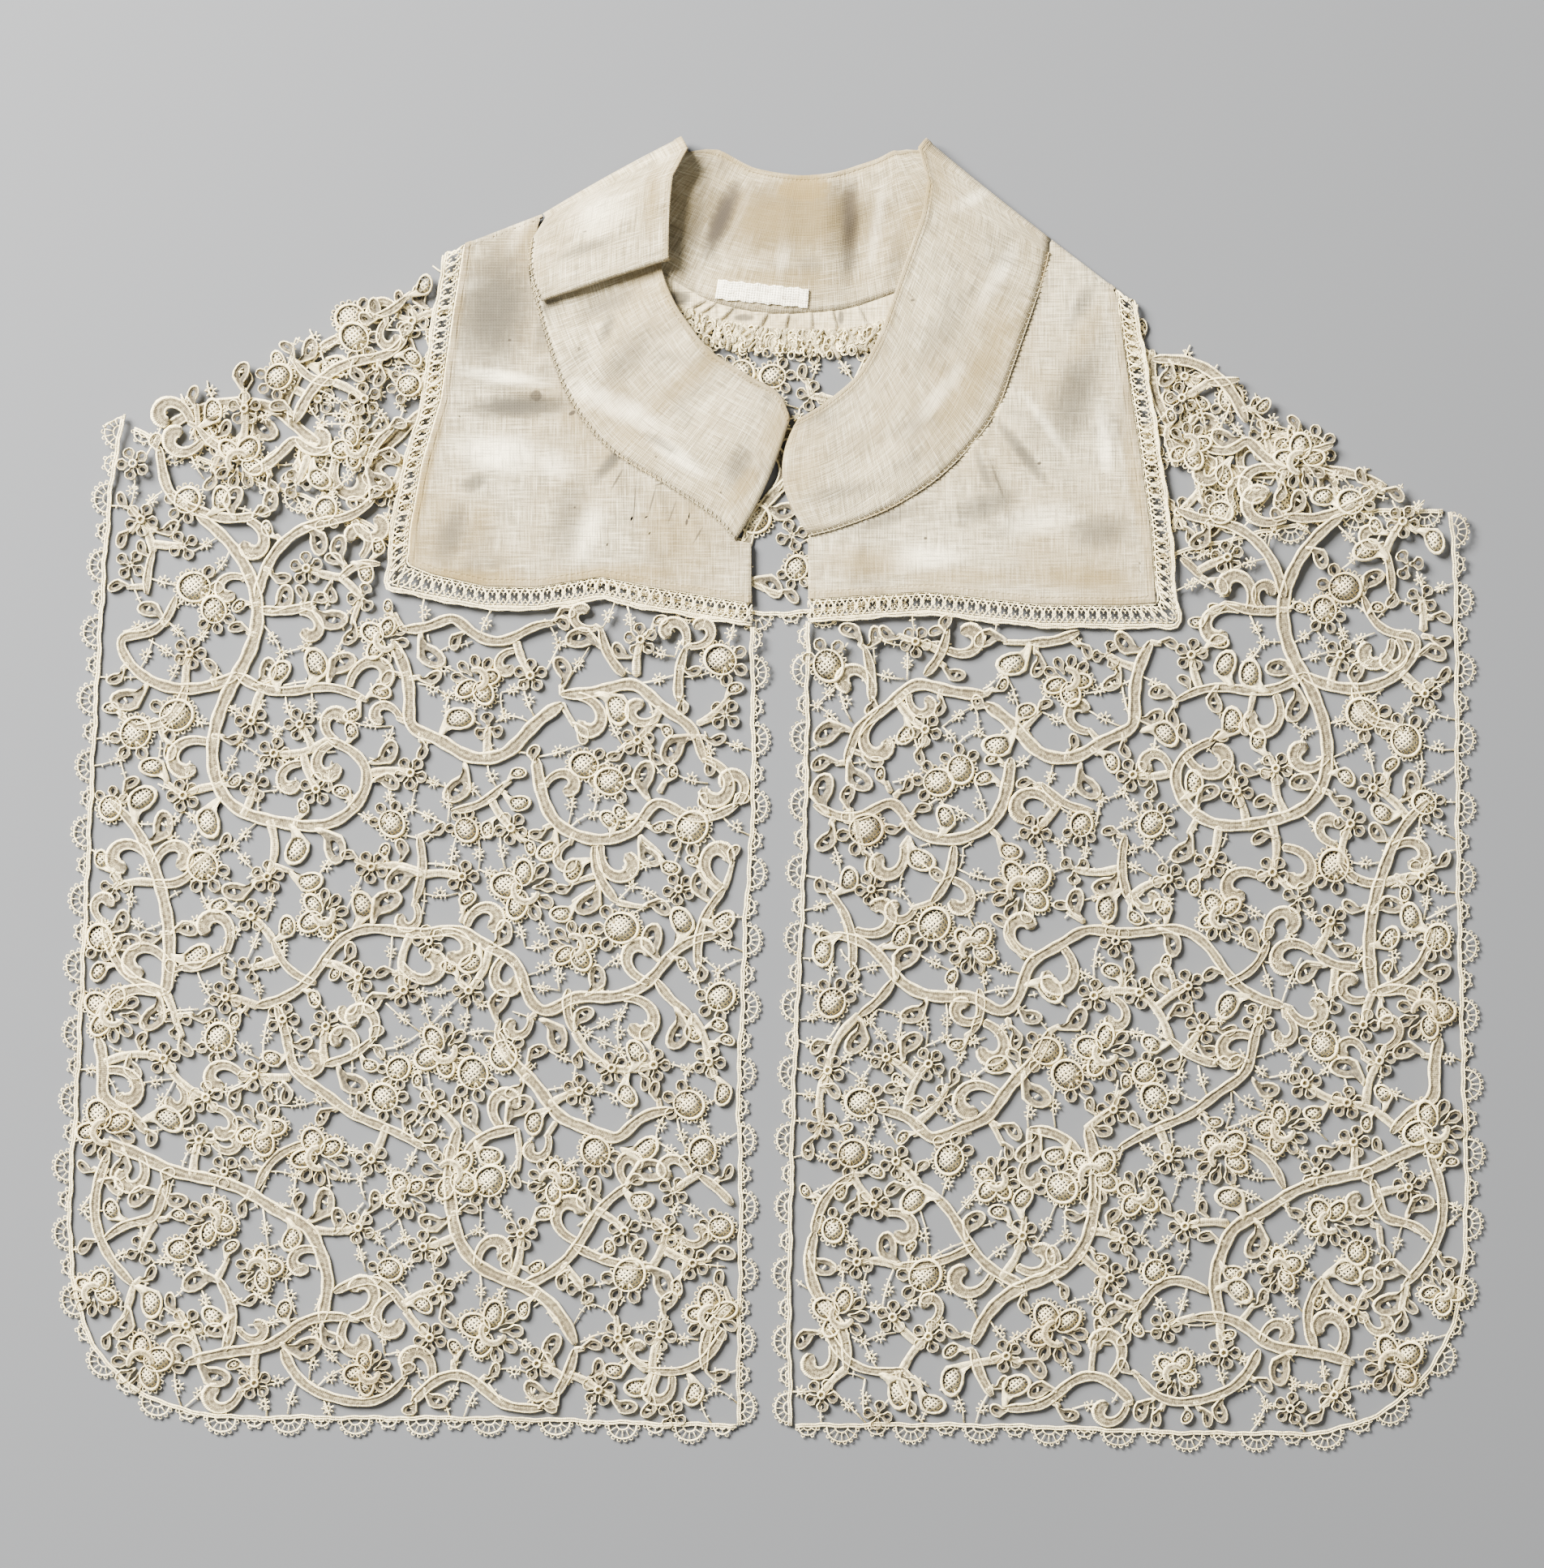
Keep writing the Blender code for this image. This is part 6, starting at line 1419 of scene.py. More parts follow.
    def bars(self) -> tuple[np.ndarray, np.ndarray]:
        """(ends of every bar of the ground, the knots where bars meet).

        A bar lies halfway between two neighbouring gaps: the points as near to one middle as to the other,
        and nearer to no third, that are free of motifs. Its ends run on into the motif or edge that stops it.
        """
        plan, gaps = self.pattern.plan, self.pattern.gaps
        steps = np.arange(-8.0, 8.01, 0.25)
        found, knots = [], []
        for i, a in enumerate(gaps):
            away = np.linalg.norm(gaps - a, axis=1)
            near = gaps[(away > 0) & (away < 17.0)]
            for j in np.flatnonzero((away < 14.0) & (np.arange(len(gaps)) > i)):
                b = gaps[j]
                way = np.array([a[1] - b[1], b[0] - a[0]]) / away[j]
                line = (a + b) / 2 + steps[:, None] * way
                ours = np.linalg.norm(line - a, axis=1)
                third = np.linalg.norm(line[:, None] - near[None], axis=2)
                open_here = plan.at(line) > -0.3
                good = (third >= ours[:, None] - 1e-6).all(axis=1) & open_here
                marks = np.flatnonzero(np.diff(np.concatenate([[0], good.astype(int), [0]])))
                for first, last in zip(marks[::2], marks[1::2] - 1):
                    if last - first < 4:
                        continue
                    ends = [line[first], line[last]]
                    for side, (stop, outward) in enumerate(((first, -way), (last, way))):
                        beyond = stop + (-1 if side == 0 else 1)
                        if 0 <= beyond < len(line) and not open_here[beyond]:
                            reach = ends[side] + np.arange(0.2, 2.8, 0.2)[:, None] * outward
                            deep = np.flatnonzero(plan.at(reach) < -1.0)
                            ends[side] = reach[deep[0] if len(deep) else -1]
                        else:
                            knots.append(ends[side])
                    found.append(ends)
        return np.array(found), np.array(knots)

    def ground(self) -> Needlework:
        """Bars with picots between motifs, ringed knots where they meet, and the edges' cord and scallops."""
        work = Needlework()
        ends, knots = self.bars()
        for fold in self.folds:
            ends = ends[(fold_side(ends.reshape(-1, 2), fold)[0] < -0.4).reshape(-1, 2).all(axis=1)]
            knots = knots[fold_side(knots, fold)[0] < -2.0]
        long = np.linalg.norm(ends[:, 1] - ends[:, 0], axis=1) > 5.5
        knots = np.vstack([knots, ends[long].mean(axis=1)])
        t = np.linspace(0.0, 1.0, 4)
        a, b = ends[:, 0], ends[:, 1]
        way = b - a
        length = np.linalg.norm(way, axis=1)
        aside = np.stack([-way[:, 1], way[:, 0]], axis=1) / length[:, None]
        bow = self.chance.uniform(-0.09, 0.09, len(ends)) * length
        bowed = (bow[:, None] * 4 * (t * (1 - t))[None])[..., None] * aside[:, None]
        flat = a[:, None] + t[None, :, None] * way[:, None] + bowed
        height = 0.35 * self.relief + 0.25 * self.relief * np.sin(math.pi * t)[None] * np.ones((len(ends), 1))
        bars = np.concatenate([flat, height[..., None]], axis=2)
        work.tubes(bars, self.thread, 3, 0.15)
        picots = []
        for share, side in ((0.36, 1.0), (0.36, -1.0), (0.7, 1.0)):
            foot = a + share * way + (bow * 4 * share * (1 - share))[:, None] * aside
            use = length > (4.6 if share > 0.5 else 2.6)
            out = side * aside[use]
            rise = np.array([0.0, 0.95])
            flat = foot[use][:, None] + rise[None, :, None] * out[:, None]
            level = np.full((*flat.shape[:2], 1), 0.5 * self.relief)
            picots.append(np.concatenate([flat, level], axis=2))
        work.tubes(np.concatenate(picots), 0.25, 3, 0.1)
        self.knots(work, knots)
        for path, depth, outward in self.edges:
            self.edging(work, path, depth, outward)
        return work

    def knots(self, work: Needlework, knots: np.ndarray) -> None:
        """Rings with picots at the free meetings of bars, each standing apart from the last."""
        kept: list[np.ndarray] = []
        room = self.pattern.plan.at(knots)
        for point, free in zip(knots, room):
            if free > 1.0 and all(np.linalg.norm(point - other) > 4.6 for other in kept):
                kept.append(point)
        if not kept:
            return
        centres = np.array(kept)
        angle = angles_round(8)
        level = 0.55 * self.relief
        rings = np.stack(np.broadcast_arrays(
            centres[:, None, 0] + 0.85 * np.cos(angle), centres[:, None, 1] + 0.85 * np.sin(angle), level,
        ), axis=2)
        work.tubes(rings, 0.32, 3, 0.1, closed=True)
        angle = angles_round(7) + 0.4
        out = np.array([0.9, 2.0])
        spikes = np.stack(np.broadcast_arrays(
            centres[:, None, None, 0] + out * np.cos(angle)[:, None],
            centres[:, None, None, 1] + out * np.sin(angle)[:, None],
            level), axis=3)
        work.tubes(spikes.reshape(-1, 2, 3), 0.3, 3, 0.1)

    def edging(self, work: Needlework, path: np.ndarray, depth: float, outward: float) -> None:
        """A corded edge with a large and a small scallop to each pitch, standing square out from it.

        Args:
            work: takes the threads.
            path: the cord line.
            depth: how far the large scallops stand out, or 0 for a plain cord.
            outward: 1 or -1, the side that they stand on.
        """
        fine = smooth_path(path, 1.0)
        run = run_of(fine)
        aside = -outward * across(fine)
        beside = np.hstack([fine, aside])

        def thread(along: np.ndarray, out: np.ndarray, height: float) -> np.ndarray:
            """Points at these distances along the edge and out from it."""
            spot = at_run(beside, np.clip(along, 0, run[-1]).reshape(-1))
            flat = spot[:, :2] + spot[:, 2:] * out.reshape(-1, 1)
            return np.column_stack([flat, np.full(len(flat), height)]).reshape(*along.shape, 3)

        at = np.arange(0.0, run[-1], 2.0)
        waver = 0.22 * np.sin(0.31 * at) + 0.16 * np.sin(0.83 * at + 1.0)
        for offset, radius in ((-0.3, 0.4), (0.4, 0.34)):
            work.tubes(thread(at, offset + waver, 0.55)[None], radius, 4, 0.25)
        if depth <= 0:
            return
        pitches = int(round(run[-1] / SCALLOP_PITCH))
        pitch = run[-1] / pitches
        starts = np.arange(pitches) * pitch
        wave = self.chance.uniform(0.88, 1.0, pitches)[:, None]
        for middle, half, high, loops in (
            (starts + 0.27 * pitch, 0.215 * pitch, depth - 0.1, 8),
            (starts + 0.76 * pitch, 0.13 * pitch, 0.56 * depth, 4),
        ):
            turn = np.linspace(0.0, math.pi, 11)

            def arch(share: float, angle: np.ndarray, level: float) -> np.ndarray:
                """Points of every scallop at a share of its size."""
                along = middle[:, None] - share * half * np.cos(angle)[None]
                return thread(along, share * high * wave * np.sin(angle)[None] ** 0.8, level)

            for share, radius in ((1.0, 0.32), (0.45, 0.28)):
                work.tubes(arch(share, turn, 0.55), radius, 3, 0.1)
            spokes = np.linspace(0.5, math.pi - 0.5, 3 if loops < 6 else 5)
            span = np.array([[0.45, 0.72, 1.0]])
            for angle in spokes:
                along = middle[:, None] - span * half * math.cos(angle)
                work.tubes(thread(along, span * high * wave * math.sin(angle) ** 0.8, 0.5), 0.22, 3, 0.1)
            ring = np.linspace(0.0, 2 * math.pi, 6)[:-1]
            for angle in np.linspace(0.2, math.pi - 0.2, loops):
                along = middle[:, None] - (half + 0.5) * math.cos(angle) + 0.55 * np.cos(ring)[None]
                out = (high + 0.45) * wave * math.sin(angle) ** 0.8 + 0.55 * np.sin(ring)[None]
                work.tubes(thread(along, np.maximum(out, 0.3), 0.5), 0.22, 3, 0.1, closed=True)


def front_panel(side: Side) -> LacePanel:
    """The lace front of one side, as its tables give it."""
    hem, slit = SIDE_EDGE[side.value], SLIT_EDGE[side.value]
    turn = 1.0 if side is Side.LEFT else -1.0
    inner = insertion_edges(side)[1][::-1]
    cord = np.vstack([smooth_path(hem, 3.0), smooth_path(slit, 3.0)[1:], inner])
    corner = INSERTION[side.value][5 if side is Side.LEFT else 4][2:]
    pattern = LacePattern(cord, STEMS, FLOWERS, side is Side.RIGHT, [(*corner, 3.5)])
    edges = [
        (np.array(hem, float), 5.3, turn), (np.array(slit, float), 5.0, turn),
        (inner - np.array([0.0, 0.5]), 0.0, turn),
    ]
    fold = SHOULDER_FOLD[side.value]["lace"]
    return LacePanel(
        f"lace_{side.value}", pattern, Drape(fold), edges, [fold], 1.0, 0.32, 3 if side is Side.LEFT else 4,
    )


def back_panel() -> LacePanel:
    """The lace back, kept low under the fronts."""
    strip = np.array(BACK_STRIP)
    columns = np.linspace(SHOWN_FROM, SHOWN_TO, 2 * GATHER_WAVES + 1)
    lower = smooth_path(strip[:, 2:], 2.0) - [0.0, 1.5 * SEAM_GAP]
    outer = lower[(lower[:, 0] < SHOWN_FROM - 3) | (lower[:, 0] > SHOWN_TO + 3)][::4]
    shown = np.stack([columns, np.interp(columns, lower[:, 0], lower[:, 1])], axis=1)
    top = np.vstack([outer[outer[:, 0] < 0], shown, outer[outer[:, 0] > 0]])
    ends = []
    for side in Side:
        fold = SHOULDER_FOLD[side.value]["lace"]
        ends.append(
            np.linspace(*fold_line(fold), 8) - fold_side(np.zeros((1, 2)), fold)[1] * (SEAM_GAP + 0.1)
        )
    cord = np.vstack([smooth_path(BACK_EDGE, 3.0)[::-1], ends[0], top, ends[1][::-1]])
    clear = [(x, y - GATHER_DEPTH / 2, GATHER_DEPTH / 2) for x, y in shown[::2]]
    pattern = LacePattern(cord, BACK_STEMS, BACK_FLOWERS, False, clear, gap_cuts=52)
    edges = [(np.array(BACK_EDGE, float)[::-1], 5.3, -1.0)]
    folds = [SHOULDER_FOLD[side.value]["lace"] for side in Side]
    return LacePanel("lace_back", pattern, Drape(None, 0.0), edges, folds, 0.78, 0.3, 5)


@dataclass
class Insertion:
    """The openwork braid between yoke and lace: corded edges, crossed and knotted bars, loops between."""

    side: Side
    pitch: float = 3.4

    def build(self) -> bpy.types.Object:
        """Works every bar from its distance along the strip and its share of the way across."""
        inner, outer = insertion_edges(self.side)
        both = smooth_path(np.hstack([inner, outer]), 2.0)
        run = run_of((both[:, :2] + both[:, 2:]) / 2)
        work = Needlework()

        def thread(along: np.ndarray, share: np.ndarray, height: float | np.ndarray) -> np.ndarray:
            """Points at these distances along the strip and shares across it."""
            along, share, height = np.broadcast_arrays(along, share, height)
            at = np.stack([np.interp(along, run, both[:, axis]) for axis in range(4)], axis=-1)
            flat = at[..., :2] + (at[..., 2:] - at[..., :2]) * share[..., None]
            return np.concatenate([flat, height[..., None]], axis=-1)

        line = np.arange(-2.0, run[-1] + 0.1, 1.7)
        for share, radius in ((0.02, 0.36), (0.98, 0.42), (0.15, 0.24), (0.86, 0.26)):
            work.tubes(thread(line, share, 0.5)[None], radius, 4, 0.35)
        units = np.arange(self.pitch / 2, run[-1], self.pitch)[:, None]
        t = np.linspace(0.0, 1.0, 5)[None]
        reach = 0.40 * self.pitch
        for turn in (1.0, -1.0):
            bars = thread(
                units + turn * reach * (2 * t - 1) * (0.35 + 0.65 * np.abs(2 * t - 1)), 0.08 + 0.84 * t,
                0.5 + 0.35 * np.sin(math.pi * t),
            )
            work.tubes(bars, 0.34, 4, 0.2)
        angle = angles_round(8)[None]
        work.tubes(
            thread(units + 0.5 * np.cos(angle), 0.5 + 0.12 * np.sin(angle), 0.9), 0.3, 4, 0.1, closed=True,
        )
        between = units + self.pitch / 2
        for share, way in ((0.15, 1.0), (0.86, -1.0)):
            arch = thread(between - 0.8 * np.cos(math.pi * t), share + way * 0.17 * np.sin(math.pi * t), 0.5)
            work.tubes(arch, 0.24, 3, 0.2)
            dot = thread(between + 0.0 * t[:, :3], share + way * (0.17 + 0.05 * np.arange(3)[None]), 0.6)
            work.tubes(dot, 0.26, 3, 0.1)
        fold = (SHOULDER_FOLD[self.side.value]["yoke"][0], SHOULDER_FOLD[self.side.value]["lace"][1])
        item = work.finish(f"braid_{self.side.value}", Drape(fold).place)
        finish_on(item, LACE_FINISH)
        return ride(item, "needle_lace", f"insertion_{self.side.value}")


def section_curve(row: Sequence[float] | np.ndarray, shares: np.ndarray) -> np.ndarray:
    """Points across the band: a quadratic curve through its seam, middle and free edge, at these shares."""
    seam, middle, free = (np.array([row[2 * k], row[2 * k + 1], row[6 + k]]) for k in range(3))
    t = shares[:, None]
    return seam * (1 - t) * (1 - 2 * t) + middle * 4 * t * (1 - t) + free * t * (2 * t - 1)


def outward_of(row: Sequence[float] | np.ndarray, way: Sequence[float]) -> np.ndarray:
    """The unit vector square to the section's line, on the side that way points to."""
    chord = np.array([row[4] - row[0], row[5] - row[1]])
    square = np.array([-chord[1], chord[0], 0.0]) / np.linalg.norm(chord)
    return square if square[:2] @ np.array(way) > 0 else -square


def raised(row: Sequence[float], lift: Sequence[float]) -> tuple[float, ...]:
    """A section row moved up by its three lifts."""
    return (*row[:6], *(row[6 + k] + lift[k] for k in range(3)))


@dataclass
class Linen:
    """Shared ways of making a linen piece: a grid of points with a UV in millimetres, given a thin wall."""

    wall: float = 0.5

    def sheet_object(self, name: str, grid: np.ndarray, uv: np.ndarray, turned: bool) -> bpy.types.Object:
        """An open grid in the plan's millimetres, made a wall to both sides of the surface.

        Args:
            name: the piece's name.
            grid: rows by columns by 3.
            uv: rows by columns by 2.
            turned: the quads run the other way, so that the upper side faces up.

        Returns:
            The new object.
        """
        rows, columns = grid.shape[:2]
        index = np.arange(rows * columns).reshape(rows, columns)
        quads = grid_quads(index)
        if turned:
            quads = quads[:, ::-1]
        mesh = bpy.data.meshes.new(name)
        mesh.from_pydata((grid.reshape(-1, 3) - CENTRE) * MM, [], quads.tolist())
        set_thread_uv(mesh, uv)
        mesh.shade_smooth()
        item = placed(name, mesh)
        wall = item.modifiers.new("wall", "SOLIDIFY")
        wall.thickness = self.wall * MM
        wall.offset = 0.0
        wall.use_even_offset = False
        return item


@dataclass
class Neckband(Linen):
    """The wide band round the neck: cross-sections carried along it, with half circles where it is folded."""

    cells: int = 18
    turn_cells: int = 8
    step: float = 2.4
    hem: float = 2.4

    def __post_init__(self) -> None:
        """Sets the shares across, closer together at the hem, and lays out the sections."""
        self.shares = np.concatenate([np.linspace(0.0, 0.93, self.cells), [0.944, 0.952, 0.965, 0.985, 1.0]])
        self.parts = self.sections()

    def spaced(self, rows: Table) -> list[np.ndarray]:
        """Sections along table rows at even steps; each number follows a smooth cubic between its rows."""
        table = np.array(rows)
        run = run_of(table[:, 2:4])
        slope = np.gradient(table, run, axis=0)
        made = []
        for k in range(len(table) - 1):
            span = run[k + 1] - run[k]
            steps = max(1, int(round(span / self.step)))
            for t in np.arange(steps) / steps:
                row = cubic(t, table[k], table[k + 1], slope[k], slope[k + 1], span)
                made.append(section_curve(row, self.shares))
        made.append(section_curve(table[-1], self.shares))
        return made

    def half_turn(self, low: np.ndarray, high: np.ndarray, outward: np.ndarray) -> list[np.ndarray]:
        """Sections of a half circle from the lower curve to the one above it, bulging outward."""
        centre, radius = (low + high) / 2, np.abs(high - low)[:, 2:] / 2
        angles = np.linspace(0.0, math.pi, self.turn_cells + 1)[1:-1]
        up = np.array([0.0, 0.0, 1.0])
        return [centre + outward * radius * math.sin(a) - up * radius * math.cos(a) for a in angles]

    def folded(self, row: Sequence[float], way: Sequence[float]) -> list[np.ndarray]:
        """Sections of the turn at a shoulder fold, from the upper layer to the lower one."""
        outward = outward_of(row, way)
        low = CLOTH / 2
        top, bottom = section_curve(row, self.shares), section_curve((*row[:6], low, low, low), self.shares)
        inset = outward * ((top - bottom)[:, 2:] / 2 + CLOTH / 2)
        top, bottom = top - inset, bottom - inset
        return [top, *self.half_turn(bottom, top, outward)[::-1], bottom]

    def sections(self) -> dict[str, np.ndarray]:
        """The band's sections, part by part, in the order in which they join."""
        hidden, crease = (
            [section_curve(row, self.shares) for row in (low, raised(low, BAND_LAYER))]
            for low in (BAND_HIDDEN_TURN, BAND_CREASE)
        )
        parts = {
            "front_left": self.spaced([*BAND_FRONT_LEFT, BAND_HIDDEN_TURN]),
            "hidden": self.half_turn(*hidden, outward_of(BAND_HIDDEN_TURN, (0, 1))) + [hidden[1], crease[0]],
            "crease": self.half_turn(*crease, outward_of(BAND_CREASE, (0, -1))),
            "top_left": self.spaced([raised(BAND_CREASE, BAND_LAYER), *BAND_TOP_LEFT]),
            "fold_left": self.folded(BAND_FOLD_LEFT, (-1, 1)),
            "back": self.spaced(BAND_BACK),
            "fold_right": self.folded(BAND_FOLD_RIGHT, (1, 1))[::-1],
            "front_right": self.spaced(BAND_FRONT_RIGHT),
        }
        made = {}
        for name, rows in parts.items():
            part = np.array(rows)
            part[..., 2] = np.maximum(part[..., 2], CLOTH / 2)
            folds = BAND_FOLDS.get(name)
            if folds:
                part[..., 2] += soft_folds(part[..., :2].reshape(-1, 2), folds).reshape(part.shape[:2])
            made[name] = part
        return made

    def build(self, tape: bpy.types.Object) -> bpy.types.Object:
        """Joins the parts, raises the hem along the free edge by a step, and makes the wall.

        Args:
            tape: the tape sewn onto the band; not used.

        Returns:
            The band's piece.
        """
        grid = np.concatenate(list(self.parts.values()))
        run = run_of(grid[:, len(self.shares) // 2])
        across_band = np.concatenate(
            [np.zeros((len(grid), 1)), np.cumsum(np.linalg.norm(np.diff(grid, axis=1), axis=2), axis=1)],
            axis=1,
        )
        from_edge = across_band[:, -1:] - across_band
        rise = 0.3 / (1 + np.exp((from_edge - self.hem) * 6.0))
        slope = np.gradient(grid, axis=0)
        reach = np.gradient(grid, axis=1)
        square = np.cross(slope, reach)
        square /= np.maximum(np.linalg.norm(square, axis=2), 1e-9)[..., None]
        grid = grid - square * rise[..., None]
        uv = np.stack(np.broadcast_arrays(run[:, None], from_edge), axis=2)
        item = self.sheet_object("band_cloth", grid, uv, False)
        finish_on(item, BAND_LINEN)
        sheet_area(grid)
        Seams().build(self)
        return ride(item, "linen", "neckband")

    def seam(self, side: Side) -> np.ndarray:
        """The band's sewn edge on one front, from the shoulder to the slit, moved onto it by the gap."""
        if side is Side.RIGHT:
            edge = np.vstack([self.parts["fold_right"][-1][:1, :2], self.parts["front_right"][:, 0, :2]])
        else:
            edge = np.vstack([*NECK_SEAM_TOP_LEFT, self.parts["front_left"][::-1][:, 0, :2]])
        edge = smooth_path(edge[::2] if len(edge) % 2 else np.vstack([edge[:-1:2], edge[-1:]]), 1.5)
        return edge - across(edge) * SEAM_GAP * 1.15 * (1 if side is Side.LEFT else -1)


@dataclass
class Seams:
    """The oversewn seam between band and fronts: a cord along the band's edge, crossed by stitches."""

    step: float = 1.7
    radius: float = 0.26

    def build(self, band: Neckband) -> bpy.types.Object:
        """Follows the band's sewn edge, a little above it.

        Args:
            band: gives the edge.

        Returns:
            The seam's piece.
        """
        work = Needlework()
        for name, side in (("front_left", -1.0), ("front_right", -1.0), ("top_left", -1.0)):
            edge = band.parts[name][:, 0]
            run = run_of(edge[:, :2])
            line = at_run(edge, np.arange(0.0, run[-1], 1.2))
            aside = across(line) * side
            line[:, :2] -= 0.2 * aside
            line[:, 2] += 0.3
            work.tubes(line[None], self.radius, 4, 0.6)
            here = np.arange(0.8, run[-1] - 0.5, self.step)
            spots = at_run(np.hstack([line, aside]), here)
            slant = np.gradient(spots[:, :2], axis=0)
            slant *= 0.35 / np.linalg.norm(slant, axis=1)[:, None]
            ends = [spots[:, :2] + share * 0.75 * spots[:, 3:] + share * slant for share in (-1.0, 0.0, 1.0)]
            lift = (0.1, 0.3, 0.1)
            threads = np.stack(
                [np.column_stack([end, spots[:, 2] + up]) for end, up in zip(ends, lift)], axis=1,
            )
            work.tubes(threads, 0.16, 3, 0.3)
        item = work.finish("seam_stitches", lambda points: points)
        finish_on(item, SEAM_FINISH)
        return ride(item, "linen", "neckband")


def sheet_area(grid: np.ndarray) -> float:
    """The area of a grid in square metres: half the length of the cross product of each cell's diagonals."""
    one, other = grid[1:, 1:] - grid[:-1, :-1], grid[:-1, 1:] - grid[1:, :-1]
    return float(np.linalg.norm(np.cross(one, other), axis=2).sum() / 2) * MM * MM


@dataclass
class Yoke(Linen):
    """A linen front: straight lines carried from the neck seam to the insertion, laid over the lace back."""

    side: Side = Side.LEFT
    rows: int = 150
    columns: int = 56

    def build(self, band: Neckband, braid: bpy.types.Object) -> bpy.types.Object:
        """Joins seam and insertion point by point, with further rows that turn under at the shoulder.

        Args:
            band: gives the neck seam.
            braid: the insertion sewn to the outer edge; not used.

        Returns:
            The yoke's piece.
        """
        name = self.side.value
        seam, inner = band.seam(self.side), insertion_edges(self.side)[0]
        seam = np.vstack([seam, [YOKE_SLIT_TOP[name]]])
        ends = [at_run(line, np.linspace(0.0, run_of(line)[-1], self.rows)) for line in (seam, inner)]
        fold = SHOULDER_FOLD[name]["yoke"]
        shares = np.concatenate([np.linspace(0.0, 0.965, self.columns - 4), [0.974, 0.982, 0.99, 1.0]])
        grid = ends[0][:, None] + (ends[1] - ends[0])[:, None] * shares[None, :, None]
        first = grid[0] - fold_side(grid[0], fold)[0][:, None] * fold_side(grid[0], fold)[1]
        under = first[None] + np.linspace(2.5, 0.25, 8)[:, None, None] * fold_side(grid[0], fold)[1]
        keep = fold_side(grid.reshape(-1, 2), fold)[0].reshape(grid.shape[:2])
        grid = grid - np.maximum(keep, 0.0)[..., None] * fold_side(grid[0], fold)[1]
        grid = np.concatenate([under, grid])
        flat = grid.reshape(-1, 2)
        drape = Drape(fold)
        away = segment_distance(flat, inner[:-1], inner[1:]).reshape(grid.shape[:2])
        hem = 0.22 / (1 + np.exp((away - 2.2) * 6.0))
        above = 0.5 + soft_folds(flat, YOKE_FOLDS) + soft_folds(flat, FINE_FOLDS) + hem.reshape(-1)
        laid = drape.place(np.column_stack([flat, above])).reshape(*grid.shape[:2], 3)
        item = self.sheet_object(
            f"yoke_cloth_{name}", laid, np.stack([grid[..., 0], away], axis=2), self.side is Side.RIGHT,
        )
        finish_on(item, LEFT_LINEN if self.side is Side.LEFT else RIGHT_LINEN)
        low, high = grid.reshape(-1, 2).min(axis=0), grid.reshape(-1, 2).max(axis=0)
        tuple(float(v) * MM for v in high - low)
        sheet_area(laid)
        return ride(item, "linen", f"yoke_{name}")


@dataclass
class Strip(Linen):
    """The pleated strip at the back of the neck: each pleat climbs slowly and drops at its fold."""

    height: float = 0.9

    def build(self) -> bpy.types.Object:
        """Carries the pleats' saw-toothed height along the strip."""
        table = np.array(BACK_STRIP)
        upper, lower = smooth_path(table[:, :2], 2.0), smooth_path(table[:, 2:], 2.0)
        lines = np.array([-90.5, *PLEAT_LINES, 103.0])
        xs, rises = [], []
        for start, stop in zip(lines, lines[1:]):
            share = np.linspace(0.0, 1.0, 12)
            xs.append(
                start + (stop - start) * share**0.8
                + np.where(share == 0, 0.25, 0.0) - np.where(share == 1, 0.05, 0.0)
            )
            rises.append(share**1.6)
        xs, rises = np.concatenate(xs), np.concatenate(rises)
        run = run_of(lower)
        at = np.interp(xs, lower[:, 0], run)
        foot = at_run(lower, at)
        head = at_run(upper, at / run[-1] * run_of(upper)[-1])
        head[:, 1] += 1.0
        shown = np.clip(np.minimum(xs - SHOWN_FROM + 3, SHOWN_TO + 3 - xs) / 3.0, 0.0, 1.0)
        shares = np.linspace(0.0, 1.0, 12)
        flat = head[:, None] + (foot - head)[:, None] * shares[None, :, None]
        wave = 0.12 * np.sin(1.7 * xs)[:, None] * np.sin(2.6 * math.pi * shares)[None]
        swell = (0.55 + 0.45 * np.sin(math.pi * shares))[None]
        z = 0.35 + (rises * shown * self.height)[:, None] * swell + wave + 0.12
        z = np.where(shares[None] < 0.15, 0.35, z)
        grid = np.concatenate([flat, z[..., None]], axis=2)
        uv = np.stack(np.broadcast_arrays(at[:, None], (1 - shares)[None] * 8.0), axis=2)
        item = self.sheet_object("strip_cloth", grid, uv, True)
        finish_on(item, STRIP_LINEN)
        sheet_area(grid)
        return ride(item, "linen", "back_strip")


